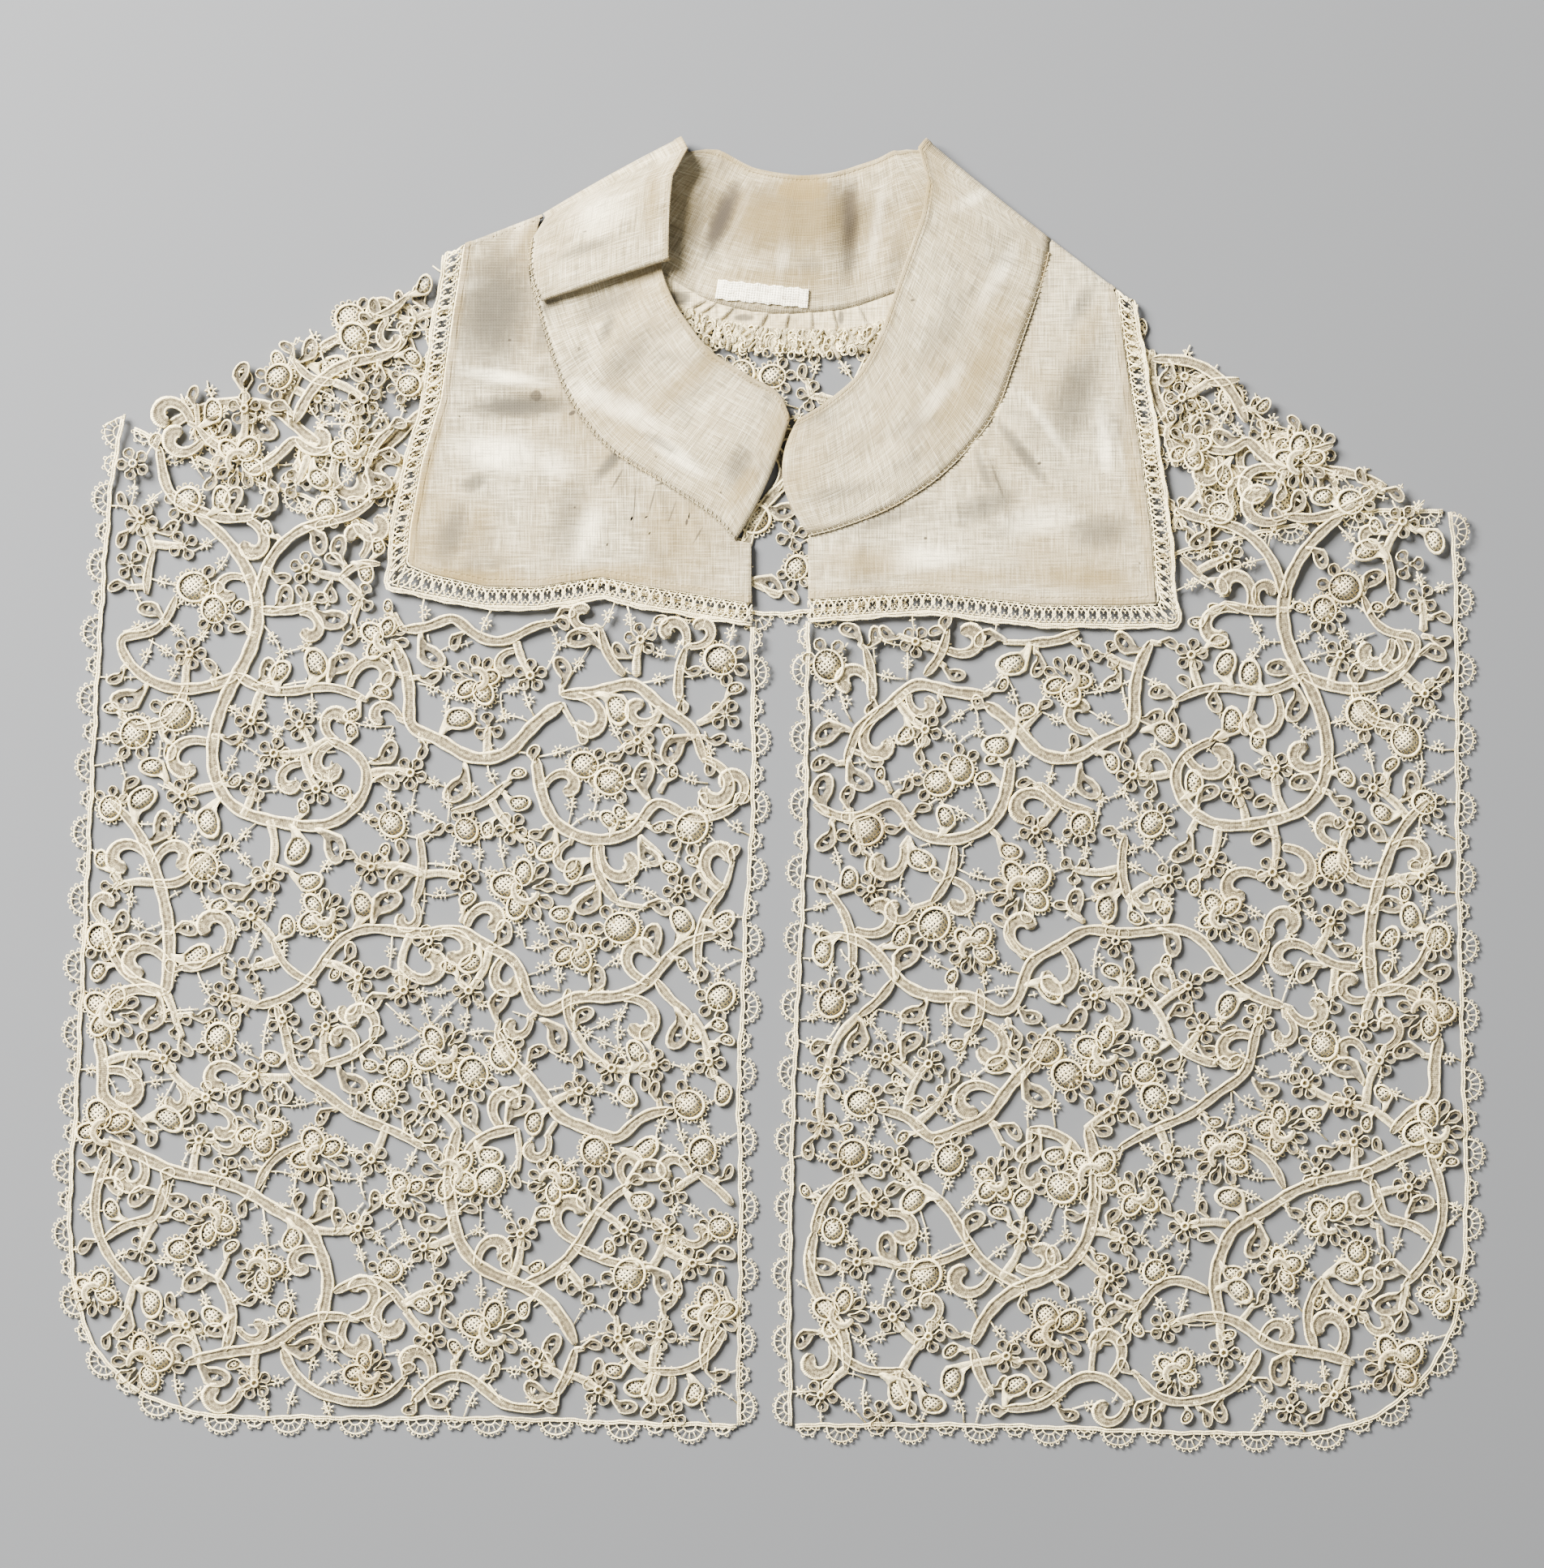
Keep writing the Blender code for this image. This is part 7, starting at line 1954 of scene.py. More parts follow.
@dataclass
class Tape(Linen):
    """The short tape sewn inside the back of the band: a grid that follows the band's height."""

    wall: float = 0.45

    def build(self, band: Neckband) -> bpy.types.Object:
        """Takes the height from the band's nearest points and lets the long edges waver.

        Args:
            band: what the tape lies on.

        Returns:
            The tape's piece.
        """
        below = band.parts["back"].reshape(-1, 3)
        corners = np.array(TAPE_CORNERS)
        u, v = np.linspace(0.0, 1.0, 57)[:, None, None], np.linspace(0.0, 1.0, 13)[None, :, None]
        flat = (1 - u) * ((1 - v) * corners[0] + v * corners[3]) + u * ((1 - v) * corners[1] + v * corners[2])
        waver = np.concatenate([0.0 * u, 0.12 * np.sin(31 * u) + 0.1 * np.sin(71 * u + 2)], axis=2)
        flat = flat + waver * (0.4 + np.abs(2 * v - 1))
        points = flat.reshape(-1, 2)
        away = np.linalg.norm(points[:, None] - below[None, :, :2], axis=2)
        near = np.argsort(away, axis=1)[:, :6]
        weight = 1.0 / (np.take_along_axis(away, near, axis=1) + 0.3) ** 2
        height = ((below[near, 2] * weight).sum(axis=1) / weight.sum(axis=1)).reshape(flat.shape[:2])
        height = height + 0.62 + 0.1 * np.sin(20 * u[..., 0]) * np.sin(3 * v[..., 0] + 1)
        grid = np.concatenate([flat, height[..., None]], axis=2)
        uv = np.stack(np.broadcast_arrays(u[..., 0] * 28.5, v[..., 0] * 6.0), axis=2)
        item = self.sheet_object("tape_cloth", grid, uv, True)
        finish_on(item, TAPE_FINISH)
        return ride(item, "tape", "neck_tape")


@dataclass
class Gathers:
    """The back lace's gathered heading: narrow folds that wander down from the strip and over each other."""

    count: int = 150
    seed: int = 11

    def build(self) -> bpy.types.Object:
        """Every fold is a ribbon whose middle line sways sideways, with small rings and loops among them."""
        chance = np.random.default_rng(self.seed)
        lower = smooth_path(np.array(BACK_STRIP)[:, 2:], 2.0)
        work = Needlework()
        t = np.linspace(0.0, 1.0, 8)
        starts = np.linspace(SHOWN_FROM - 4, SHOWN_TO + 4, self.count) + chance.uniform(-0.4, 0.4, self.count)
        for k, x in enumerate(starts):
            y = float(np.interp(x, lower[:, 0], lower[:, 1]))
            depth = GATHER_DEPTH * chance.uniform(0.7, 1.25)
            sway, turn = chance.uniform(0.5, 1.9), chance.uniform(0, 2 * math.pi)
            lean = chance.uniform(-2.2, 2.2)
            path = np.stack([x + sway * np.sin(turn + 5.0 * t) + lean * t, y + 0.4 - depth * t], axis=1)
            work.ribbon(
                path, np.full(8, chance.uniform(0.7, 1.6)), RIDGE_PROFILE, float(chance.uniform(0.1, 1.0)),
                1.0, float(chance.uniform(0, 0.8)),
            )
        spots = np.stack(
            [chance.uniform(SHOWN_FROM - 3, SHOWN_TO + 3, 130), chance.uniform(0.8, GATHER_DEPTH + 0.6, 130)],
            axis=1,
        )
        angle = angles_round(8)
        rings = []
        for x, down in spots:
            y = float(np.interp(x, lower[:, 0], lower[:, 1])) - down
            size, squeeze = chance.uniform(0.7, 1.7), chance.uniform(0.5, 1.0)
            rings.append(np.stack([
                x + size * squeeze * np.cos(angle), y + size * np.sin(angle), 1.3 + 0.7 * np.sin(angle + x),
            ], axis=1))
        work.tubes(np.array(rings), 0.32, 4, 0.2, closed=True)
        item = work.finish("gathers", Drape(None, 0.0).place)
        finish_on(item, LACE_FINISH)
        return ride(item, "needle_lace", "lace_back")


Colour = tuple[float, float, float, float]


@dataclass(frozen=True)
class Signal:
    """An output in a node tree. Plain signs between signals and numbers add the Math nodes."""

    graph: "Graph"
    socket: bpy.types.NodeSocket

    def __add__(self, other: "Signal | float") -> "Signal":
        """The sum."""
        return self.graph.math("ADD", self, other)

    def __sub__(self, other: "Signal | float") -> "Signal":
        """The difference."""
        return self.graph.math("SUBTRACT", self, other)

    def __rsub__(self, other: float) -> "Signal":
        """A number less the signal."""
        return self.graph.math("SUBTRACT", other, self)

    def __mul__(self, other: "Signal | float") -> "Signal":
        """The product."""
        return self.graph.math("MULTIPLY", self, other)

    def __truediv__(self, other: "Signal | float") -> "Signal":
        """The quotient."""
        return self.graph.math("DIVIDE", self, other)

    def __abs__(self) -> "Signal":
        """The size without its sign."""
        return self.graph.math("ABSOLUTE", self)


Given = Signal | float | Sequence[float]


@dataclass(frozen=True)
class Graph:
    """Adds nodes to a tree, with inputs given as values or as signals."""

    tree: bpy.types.NodeTree

    def feed(self, node: bpy.types.Node, inputs: dict[str | int, Given]) -> bpy.types.Node:
        """Sets a node's inputs to values, or links them to signals."""
        for key, value in inputs.items():
            if isinstance(value, Signal):
                self.tree.links.new(value.socket, node.inputs[key])
            else:
                node.inputs[key].default_value = value
        return node

    def add(
        self, kind: str, inputs: dict[str | int, Given], output: str | int = 0, **settings: object,
    ) -> Signal:
        """A new node.

        Args:
            kind: the node's type, without its ShaderNode prefix.
            inputs: socket name or place, and its value or the signal that feeds it.
            output: name or place of the output that is wanted.
            settings: the node's own properties.

        Returns:
            The output.
        """
        node = self.tree.nodes.new(f"ShaderNode{kind}")
        for name, value in settings.items():
            setattr(node, name, value)
        return Signal(self, self.feed(node, inputs).outputs[output])

    def math(self, operation: str, *values: Signal | float, clamp: bool = False) -> Signal:
        """A Math node's output."""
        return self.add("Math", dict(enumerate(values)), operation=operation, use_clamp=clamp)

    def most(self, one: Signal | float, other: Signal | float) -> Signal:
        """The larger of two."""
        return self.math("MAXIMUM", one, other)

    def sine(self, angle: Signal) -> Signal:
        """The sine."""
        return self.math("SINE", angle)

    def smooth(self, value: Signal, low: Signal | float, high: Signal | float) -> Signal:
        """0 below low, 1 above high, and a smooth step between."""
        return self.add("MapRange", {0: value, 1: low, 2: high}, interpolation_type="SMOOTHSTEP")

    def mix(self, share: Signal | float, one: Signal | Colour, other: Signal | Colour) -> Signal:
        """A mix of two colours."""
        return self.add("Mix", {0: share, 6: one, 7: other}, 2, data_type="RGBA")

    def mark(self, share: Signal | float, one: Signal | Colour, other: Signal | Colour) -> Signal:
        """A mix that darkens by even steps to the eye: its share is (1 - 0.12^share) / 0.88."""
        left = self.math("POWER", 0.12, share)
        return self.mix((1.0 - left) * (1 / 0.88), one, other)

    def noise(self, vector: Signal, scale: float, detail: float, rough: float = 0.5) -> Signal:
        """Noise from 0 to 1."""
        return self.add("TexNoise", {"Vector": vector, "Scale": scale, "Detail": detail, "Roughness": rough})

    def stretched(self, vector: Signal, scale: tuple[float, float, float], turn: float = 0.0) -> Signal:
        """A vector turned about Z and scaled."""
        return self.add("Mapping", {"Vector": vector, "Rotation": (0.0, 0.0, turn), "Scale": scale})

    def parts(self, vector: Signal) -> tuple[Signal, Signal]:
        """X and Y of a vector."""
        x = self.add("SeparateXYZ", {0: vector})
        return x, Signal(self, x.socket.node.outputs[1])

    def group(self, made: bpy.types.NodeTree, inputs: dict[str, Given]) -> dict[str, Signal]:
        """Places a node group and gives its outputs by name."""
        node = self.tree.nodes.new("ShaderNodeGroup")
        node.node_tree = made
        return {socket.name: Signal(self, socket) for socket in self.feed(node, inputs).outputs}

    def threads(self) -> Signal:
        """The piece's own UV, in metres along and across its threads."""
        return self.add("UVMap", {}, uv_map="thread")

    def attribute(self, name: str) -> Signal:
        """A number that each point of the piece carries."""
        return self.add("Attribute", {}, "Fac", attribute_name=name)

    def place(self) -> Signal:
        """Where on the object a point lies."""
        return self.add("TexCoord", {}, "Object")


@dataclass(frozen=True)
class Group(Graph):
    """A shader node group as it is built: its inputs by name, and the node that takes its outputs."""

    given: dict[str, Signal]
    out: bpy.types.Node

    @staticmethod
    def new(name: str, inputs: Sequence[tuple[str, str, float]], outputs: Sequence[str]) -> "Group":
        """An empty group with named sockets.

        Args:
            name: the group's name.
            inputs: name, socket kind (Vector or Float) and, for a float, its usual value.
            outputs: names of the float outputs.

        Returns:
            The group.
        """
        tree = bpy.data.node_groups.new(name, "ShaderNodeTree")
        for label, kind, value in inputs:
            socket = tree.interface.new_socket(label, in_out="INPUT", socket_type=f"NodeSocket{kind}")
            if kind == "Float":
                socket.default_value = value
        for label in outputs:
            tree.interface.new_socket(label, in_out="OUTPUT", socket_type="NodeSocketFloat")
        source = tree.nodes.new("NodeGroupInput").outputs
        given: dict[str, Signal] = {}
        group = Group(tree, given, tree.nodes.new("NodeGroupOutput"))
        given.update({label: Signal(group, source[label]) for label, _, _ in inputs})
        return group

    def finish(self, outputs: dict[str, Signal]) -> bpy.types.NodeTree:
        """Feeds the group's outputs."""
        self.feed(self.out, outputs)
        return self.tree


def made_once(build: Callable[[], bpy.types.NodeTree]) -> Callable[[], bpy.types.NodeTree]:
    """Wraps a group's builder so that it is made at its first use, and found by its name after that."""
    return lambda: bpy.data.node_groups.get(build.__name__) or build()


@made_once
def plain_weave() -> bpy.types.NodeTree:
    """Plain weave: round threads both ways, over and under by turns, with thick places along some."""
    group = Group.new(
        "plain_weave", [("Vector", "Vector", 0), ("Pitch", "Float", 0.0005)],
        ["Height", "Thick", "Thin", "Cloud"],
    )
    vector, pitch = group.given["Vector"], group.given["Pitch"]
    u, v = (axis / pitch * math.pi for axis in group.parts(vector))
    over = group.sine(u) * group.sine(v)
    warp = abs(group.sine(u)) * group.math("MULTIPLY_ADD", over, 0.5, 0.5)
    weft = abs(group.sine(v)) * group.math("MULTIPLY_ADD", over, -0.5, 0.5)
    along, down = (
        group.noise(group.stretched(vector, scale), 1.0, 2.0, 0.6)
        for scale in ((110.0, 2100.0, 1.0), (2100.0, 110.0, 1.0))
    )
    thick = group.most(along, down) - 0.5
    fine = group.noise(vector, 1500.0, 2.0) - 0.5
    height = group.most(warp, weft) + thick * 1.6
    return group.finish({
        "Height": height + fine * 0.5, "Thick": thick, "Thin": 0.47 - group.math("MINIMUM", along, down),
        "Cloud": group.noise(vector, 22.0, 4.0, 0.6),
    })


@made_once
def spot_mask() -> bpy.types.NodeTree:
    """A soft-edged oval with an uneven outline: 1 at its middle, 0 outside."""
    floats = {"X": 0, "Y": 0, "Turn": 0, "Long": 0.005, "Wide": 0.005, "Soft": 0.5, "Uneven": 0.3}
    group = Group.new(
        "spot_mask", [("Vector", "Vector", 0), *((name, "Float", value) for name, value in floats.items())],
        ["Mask"],
    )
    given = group.given
    x, y = group.parts(given["Vector"])
    dx, dy = x - given["X"], y - given["Y"]
    cos, sin = group.math("COSINE", given["Turn"]), group.sine(given["Turn"])
    along, aside = dx * cos + dy * sin, dy * cos - dx * sin
    a, b = along / given["Long"], aside / given["Wide"]
    reach = group.math("SQRT", a * a + b * b)
    rough = group.noise(given["Vector"], 420.0, 3.0, 0.6) - 0.5
    return group.finish({"Mask": group.smooth(reach + rough * given["Uneven"], 1.0, 1.0 - given["Soft"])})


@made_once
def stitching() -> bpy.types.NodeTree:
    """Needle lace worked close: stitches across the run of each band, in rows beside each other."""
    group = Group.new(
        "stitching", [("Vector", "Vector", 0), ("Place", "Vector", 0), ("Stitch", "Float", 0.00042)],
        ["Height", "Cloud", "Speck"],
    )
    place, pitch = group.given["Place"], group.given["Stitch"]
    u, v = (axis / pitch * math.pi for axis in group.parts(group.given["Vector"]))
    ribs = abs(group.sine(u))
    rows = abs(group.sine(v + u * 0.15))
    rough = group.noise(place, 2400.0, 3.0, 0.6)
    return group.finish({
        "Height": ribs * 0.6 + rows * 0.4 + rough, "Cloud": group.noise(place, 38.0, 4.0, 0.6),
        "Speck": rough,
    })


@made_once
def net_threads() -> bpy.types.NodeTree:
    """Net: two sets of threads that cross on the slant. Its mask is 1 on a thread and 0 in a mesh."""
    group = Group.new(
        "net_threads", [("Vector", "Vector", 0), ("Pitch", "Float", 0.0015), ("Thread", "Float", 0.3)],
        ["Mask", "Height"],
    )
    vector = group.given["Vector"]
    shaken = group.noise(vector, 500.0, 2.0)
    lines = []
    for axis in group.parts(group.stretched(vector, (1.0, 1.0, 1.0), math.radians(52))):
        wobble = (shaken - 0.5) * 0.5
        phase = axis / group.given["Pitch"] + wobble
        lines.append(abs(group.math("FRACT", phase) - 0.5))
    nearest = 0.5 - group.most(*lines)
    half = group.given["Thread"] * 0.5
    return group.finish({"Mask": group.math("LESS_THAN", nearest, half), "Height": 1.0 - nearest / half})


def new_material(
    name: str, roughness: float, sheen: float,
) -> tuple[bpy.types.Material, Graph, bpy.types.Node]:
    """A material with its Principled shader, whose plain numbers are set on the shader's own sockets."""
    made = bpy.data.materials.new(name)
    made.use_nodes = True
    shader = made.node_tree.nodes["Principled BSDF"]
    shader.inputs["Roughness"].default_value = roughness
    shader.inputs["Specular IOR Level"].default_value = 0.25
    shader.inputs["Sheen Weight"].default_value = sheen
    shader.inputs["Sheen Roughness"].default_value = 0.6
    return made, Graph(made.node_tree), shader


def bump(graph: Graph, shader: bpy.types.Node, height: Signal, distance: float, strength: float) -> None:
    """Feeds the shader's normal from a height."""
    normal = graph.add("Bump", {"Height": height, "Distance": distance, "Strength": strength})
    graph.feed(shader, {"Normal": normal})


@dataclass(frozen=True)
class LaceFinish:
    """Worked needle lace: cream thread, yellower in places, greyer in others, with painted shade where it
    lies low.
    """

    name: str = "worked_lace"
    cream: Colour = (1.0, 0.87, 0.50, 1.0)
    yellow: Colour = (0.42, 0.29, 0.10, 1.0)
    grey: Colour = (0.16, 0.135, 0.08, 1.0)
    # Colour of the painted shade in recesses between raised cords and rims.
    shade: Colour = (0.07, 0.054, 0.028, 1.0)
    net: bool = False

    def material(self) -> bpy.types.Material:
        """The finish, made once."""
        found = bpy.data.materials.get(self.name)
        if found:
            return found
        made, graph, shader = new_material(self.name, 0.86, 0.12)
        uv, place = graph.threads(), graph.place()
        stitch = graph.group(stitching(), {"Vector": uv, "Place": place})
        aged = graph.math("MULTIPLY_ADD", graph.attribute("tone"), 0.1 if self.net else 0.4, 0.1)
        colour = graph.mark(graph.smooth(stitch["Cloud"], 0.42, 0.75) * aged, self.cream, self.yellow)
        dull = graph.smooth(graph.noise(place, 90.0, 3.0), 0.5, 0.8) * 0.2
        grain = graph.noise(place, 900.0, 3.0, 0.7)
        speck = graph.smooth(grain, 0.5, 0.72) * (0.1 if self.net else 0.4)
        colour = graph.mark(graph.most(dull, speck), colour, self.grey)
        # Painted shade: darker where the thread lies low between cords, rims and eyelets, mottled by the
        # grain.
        low = graph.smooth(graph.attribute("low"), 0.0, 0.45)
        mottled = graph.math("MULTIPLY_ADD", graph.smooth(grain, 0.36, 0.64), 0.42, 0.58)
        colour = graph.mark(low * mottled, colour, self.shade)
        graph.feed(shader, {"Base Color": colour})
        height = stitch["Height"]
        if self.net:
            net = graph.group(net_threads(), {"Vector": place, "Pitch": 0.00118, "Thread": 0.53})
            graph.feed(shader, {"Alpha": net["Mask"]})
            height = net["Height"] * 2.0 + height
        bump(graph, shader, height + graph.noise(place, 620.0, 2.0) * 3.0, 0.0002, 1.0)
        return made


@dataclass(frozen=True)
class Spot:
    """A mark on linen, a stain or a patch of painted highlight or shade, in the plan's millimetres: middle,
    turn in degrees, half sizes, softness, strength.
    """

    x: float
    y: float
    turn: float
    long: float
    wide: float
    soft: float = 0.6
    strength: float = 0.6
    uneven: float = 0.3

    def mask(self, graph: Graph, place: Signal) -> Signal:
        """The mark's mask, times its strength."""
        given = {
            "Vector": place, "X": (self.x - CENTRE[0]) * MM, "Y": (self.y - CENTRE[1]) * MM,
            "Turn": math.radians(self.turn), "Long": self.long * MM, "Wide": self.wide * MM,
            "Soft": self.soft, "Uneven": self.uneven,
        }
        return graph.group(spot_mask(), given)["Mask"] * self.strength


@dataclass(frozen=True)
class LinenFinish:
    """Fine linen: weave, slubs, clouds of yellow and grey, stained places, painted highlights and painted
    shade on its folds, a sewn hem, worn slits.
    """

    name: str
    light: Colour = (0.32, 0.28, 0.18, 1.0)
    thread: Colour = (0.86, 0.79, 0.58, 1.0)
    yellow: Colour = (0.16, 0.108, 0.03, 1.0)
    grey: Colour = (0.05, 0.043, 0.029, 1.0)
    # Colour of the darker spots: stains, and painted shadow.
    brown: Colour = (0.023, 0.016, 0.0075, 1.0)
    along: bool = False
    yellowing: float = 0.35
    hem: float = 2.2
    # Painted highlights: paler patches along the ridges of folds, mixed toward the thread's colour.
    pale: tuple[Spot, ...] = ()
    stained: tuple[Spot, ...] = ()
    # Grey marks in the cloth, and painted shade beside and under folds and in troughs.
    greyed: tuple[Spot, ...] = ()
    # Small darker stains and holes, and painted shadow in creases, troughs and under the band's fold.
    dark: tuple[Spot, ...] = ()
    slits: tuple[Spot, ...] = ()

    def several(self, graph: Graph, place: Signal, spots: Sequence[Spot]) -> Signal | float:
        """The strongest of the marks at each point."""
        strongest: Signal | float = 0.0
        for spot in spots:
            strongest = graph.most(strongest, spot.mask(graph, place))
        return strongest

    def material(self) -> bpy.types.Material:
        """The finish, made once."""
        found = bpy.data.materials.get(self.name)
        if found:
            return found
        made, graph, shader = new_material(self.name, 0.8, 0.1)
        uv, place = graph.threads(), graph.place()
        weave = graph.group(plain_weave(), {"Vector": uv if self.along else place})
        _, edge = graph.parts(uv)
        run, _ = graph.parts(uv)
        cloud = graph.smooth(weave["Cloud"], 0.4, 0.75)
        thick = graph.math("MULTIPLY", weave["Thick"], 2.0, clamp=True)
        colour = graph.mix(thick, self.light, self.thread)
        # Painted highlights on the ridges of folds.
        colour = graph.mix(self.several(graph, place, self.pale), colour, self.thread)
        thin = graph.math("MULTIPLY", weave["Thin"], 1.7, clamp=True)
        colour = graph.mark(thin, colour, self.grey)
        colour = graph.mark(cloud * self.yellowing, colour, self.yellow)
        # Grey at random, with the grey spots: partly grey marks in the cloth, partly painted shade on the
        # shaded sides of folds and under the band's fold.
        grey = graph.smooth(graph.noise(place, 48.0, 3.0, 0.6), 0.5, 0.8)
        grey = graph.most(grey * 0.3, self.several(graph, place, self.greyed))
        colour = graph.mark(grey, colour, self.grey)
        hem_edge = 1.0 - graph.smooth(edge, 0.6 * self.hem * MM, 1.5 * self.hem * MM)
        colour = graph.mark(hem_edge * 0.2, colour, self.yellow)
        colour = graph.mark(self.several(graph, place, self.stained), colour, self.yellow)
        # Brown flecks and the darker spots: partly stains and small holes, partly painted shadow in creases
        # and troughs.
        fleck = graph.smooth(graph.noise(place, 230.0, 2.0, 0.7), 0.755, 0.80)
        dark = graph.most(fleck * 0.5, self.several(graph, place, self.dark))
        colour = graph.mark(dark, colour, self.brown)
        graph.feed(shader, {"Base Color": colour})
        if self.slits:
            cut = 1.0 - self.several(graph, place, self.slits)
            graph.feed(shader, {"Alpha": graph.math("GREATER_THAN", cut, 0.5)})
        stitch = abs(graph.sine(run * (math.pi / 0.0017)))
        line = abs(edge - (self.hem - 0.35) * MM)
        line = 1.0 - graph.smooth(line, 0.00012, 0.0004)
        pucker = hem_edge * graph.noise(uv, 700.0, 2.0) * 1.2
        height = weave["Height"] - line * stitch * 2.0
        swell = graph.noise(place, 62.0, 2.0, 0.45) * 12.0
        bump(graph, shader, height + pucker + swell, 0.00012, 0.85)
        return made


@dataclass(frozen=True)
class TapeFinish:
    """Plain woven tape: whiter than the linen, with a coarse grid of threads and folds across it."""

    name: str = "tape"
    white: Colour = (0.88, 0.83, 0.66, 1.0)
    dull: Colour = (0.26, 0.21, 0.12, 1.0)

    def material(self) -> bpy.types.Material:
        """The finish."""
        made, graph, shader = new_material(self.name, 0.82, 0.1)
        uv = graph.threads()
        weave = graph.group(plain_weave(), {"Vector": uv, "Pitch": 0.0008})
        folds = graph.noise(graph.stretched(uv, (900.0, 90.0, 1.0)), 1.0, 3.0, 0.7)
        worn = graph.smooth(graph.noise(uv, 420.0, 4.0, 0.7), 0.48, 0.68)
        colour = graph.mix(worn * 0.6, self.white, self.dull)
        colour = graph.mix(graph.smooth(folds, 0.55, 0.7) * 0.4, colour, self.dull)
        graph.feed(shader, {"Base Color": colour})
        bump(graph, shader, weave["Height"] + folds * 2.0, 0.00025, 0.9)
        return made


LACE_FINISH = LaceFinish()
NET_FINISH = LaceFinish(name="lace_net", cream=(0.9, 0.79, 0.48, 1.0), net=True)
SEAM_FINISH = LaceFinish(name="seam_thread", cream=(0.30, 0.258, 0.15, 1.0))
TAPE_FINISH = TapeFinish()
# Marks on the linen: its paler patches are painted highlights on folds; its grey and darker patches are
# partly marks in the cloth and partly painted shade and shadow.
LEFT_LINEN = LinenFinish(
    "linen_left",
    light=(0.27, 0.235, 0.15, 1.0),
    pale=(
        Spot(-82, 127.5, -9, 20, 3.2, 0.9, 1.0), Spot(-83, 104, -6, 19, 8, 0.9, 0.9),
        Spot(-66, 101, -20, 10, 6, 0.9, 0.7),
        Spot(-78, 170, 60, 9, 3, 0.9, 0.7), Spot(-92, 156, 20, 9, 3, 0.9, 0.5),
        Spot(-56, 80, 70, 14, 6, 0.9, 0.7),
    ),
    greyed=(
        Spot(-85, 148, 78, 26, 17, 0.9, 0.8), Spot(-78, 118.5, 2, 21, 5.0, 0.9, 0.9),
        Spot(-91, 95, 20, 6, 3.6, 0.8, 0.5),
        Spot(-98, 79, 70, 14, 7, 0.95, 0.5), Spot(-62, 84, 80, 16, 8, 0.95, 0.35),
        Spot(-48.5, 102, 50, 12, 2.8, 0.9, 0.7),
        Spot(-94, 139, 60, 8, 4, 0.9, 0.35), Spot(-70, 142, 80, 12, 4, 0.9, 0.35),
    ),
    stained=(
        Spot(-27, 80, 90, 24, 19, 0.95, 0.32), Spot(-88, 84, 60, 9, 6, 0.9, 0.2),
        Spot(-92, 66, 0, 30, 4, 0.9, 0.35),
        Spot(-45, 67, 2, 40, 5, 0.9, 0.35), Spot(-106, 96, 75, 30, 2.5, 0.9, 0.3),
        Spot(-73, 172, 20, 9, 4, 0.9, 0.2),
    ),
    dark=(
        Spot(-71.8, 121.8, 0, 1.9, 1.9, 0.3, 0.42), Spot(-60.8, 116.5, 30, 1.4, 0.8, 0.5, 0.7),
        Spot(-25.5, 83.0, 80, 1.2, 0.5, 0.5, 0.8),
        Spot(-41.6, 88, 86, 10, 0.35, 0.8, 0.5), Spot(-36, 90, 75, 6, 0.4, 0.8, 0.5),
        Spot(-30, 86, 70, 5, 0.35, 0.8, 0.4),
        Spot(-47, 96, 60, 5, 0.5, 0.8, 0.5), Spot(-22, 79, 60, 4, 0.4, 0.8, 0.5),
        Spot(-33, 95, 20, 4, 0.4, 0.8, 0.45),
        Spot(-80, 139, 0, 0.7, 0.5, 0.5, 0.6), Spot(-60, 87.5, 0, 0.5, 0.4, 0.5, 0.6),
    ),
    slits=(
        Spot(-42.5, 84.0, 70, 1.4, 0.55), Spot(-38.0, 84.5, 30, 1.0, 0.4),
        Spot(-24.8, 84.8, 80, 1.8, 0.35), Spot(-50.0, 76.0, 70, 0.9, 0.35),
        Spot(-37.0, 79.5, 60, 0.9, 0.4),
    ),
)
RIGHT_LINEN = LinenFinish(
    "linen_right",
    pale=(
        Spot(82, 84, 10, 16, 7, 0.9, 0.8), Spot(48, 72, 4, 16, 6, 0.9, 0.7),
        Spot(103, 108, 95, 16, 3.4, 0.9, 0.8),
        Spot(85, 113, 125, 15, 2.4, 0.9, 0.8),
    ),
    greyed=(
        Spot(94, 122, 70, 24, 10, 0.95, 0.58), Spot(66, 88, 20, 16, 6, 0.95, 0.5),
        Spot(102, 80, 10, 13, 8, 0.9, 0.45),
        Spot(78, 104, 128, 17, 3, 0.9, 0.6), Spot(36, 84, 20, 18, 4, 0.95, 0.35),
        Spot(96, 150, 60, 12, 4, 0.95, 0.35),
        Spot(66, 98, 110, 10, 2.4, 0.9, 0.45),
    ),
    stained=(
        Spot(96, 66, 0, 26, 5, 0.9, 0.3), Spot(30, 70, 0, 20, 8, 0.95, 0.3),
        Spot(98, 142, 60, 14, 6, 0.9, 0.25),
        Spot(112, 96, 100, 32, 3, 0.9, 0.3), Spot(60, 66, 0, 30, 5, 0.9, 0.3),
    ),
    dark=(
        Spot(83, 101, 20, 0.8, 0.6, 0.5, 0.7), Spot(48, 78, 0, 0.7, 0.5, 0.5, 0.7),
        Spot(70, 96, 110, 8, 0.7, 0.9, 0.35),
    ),
)
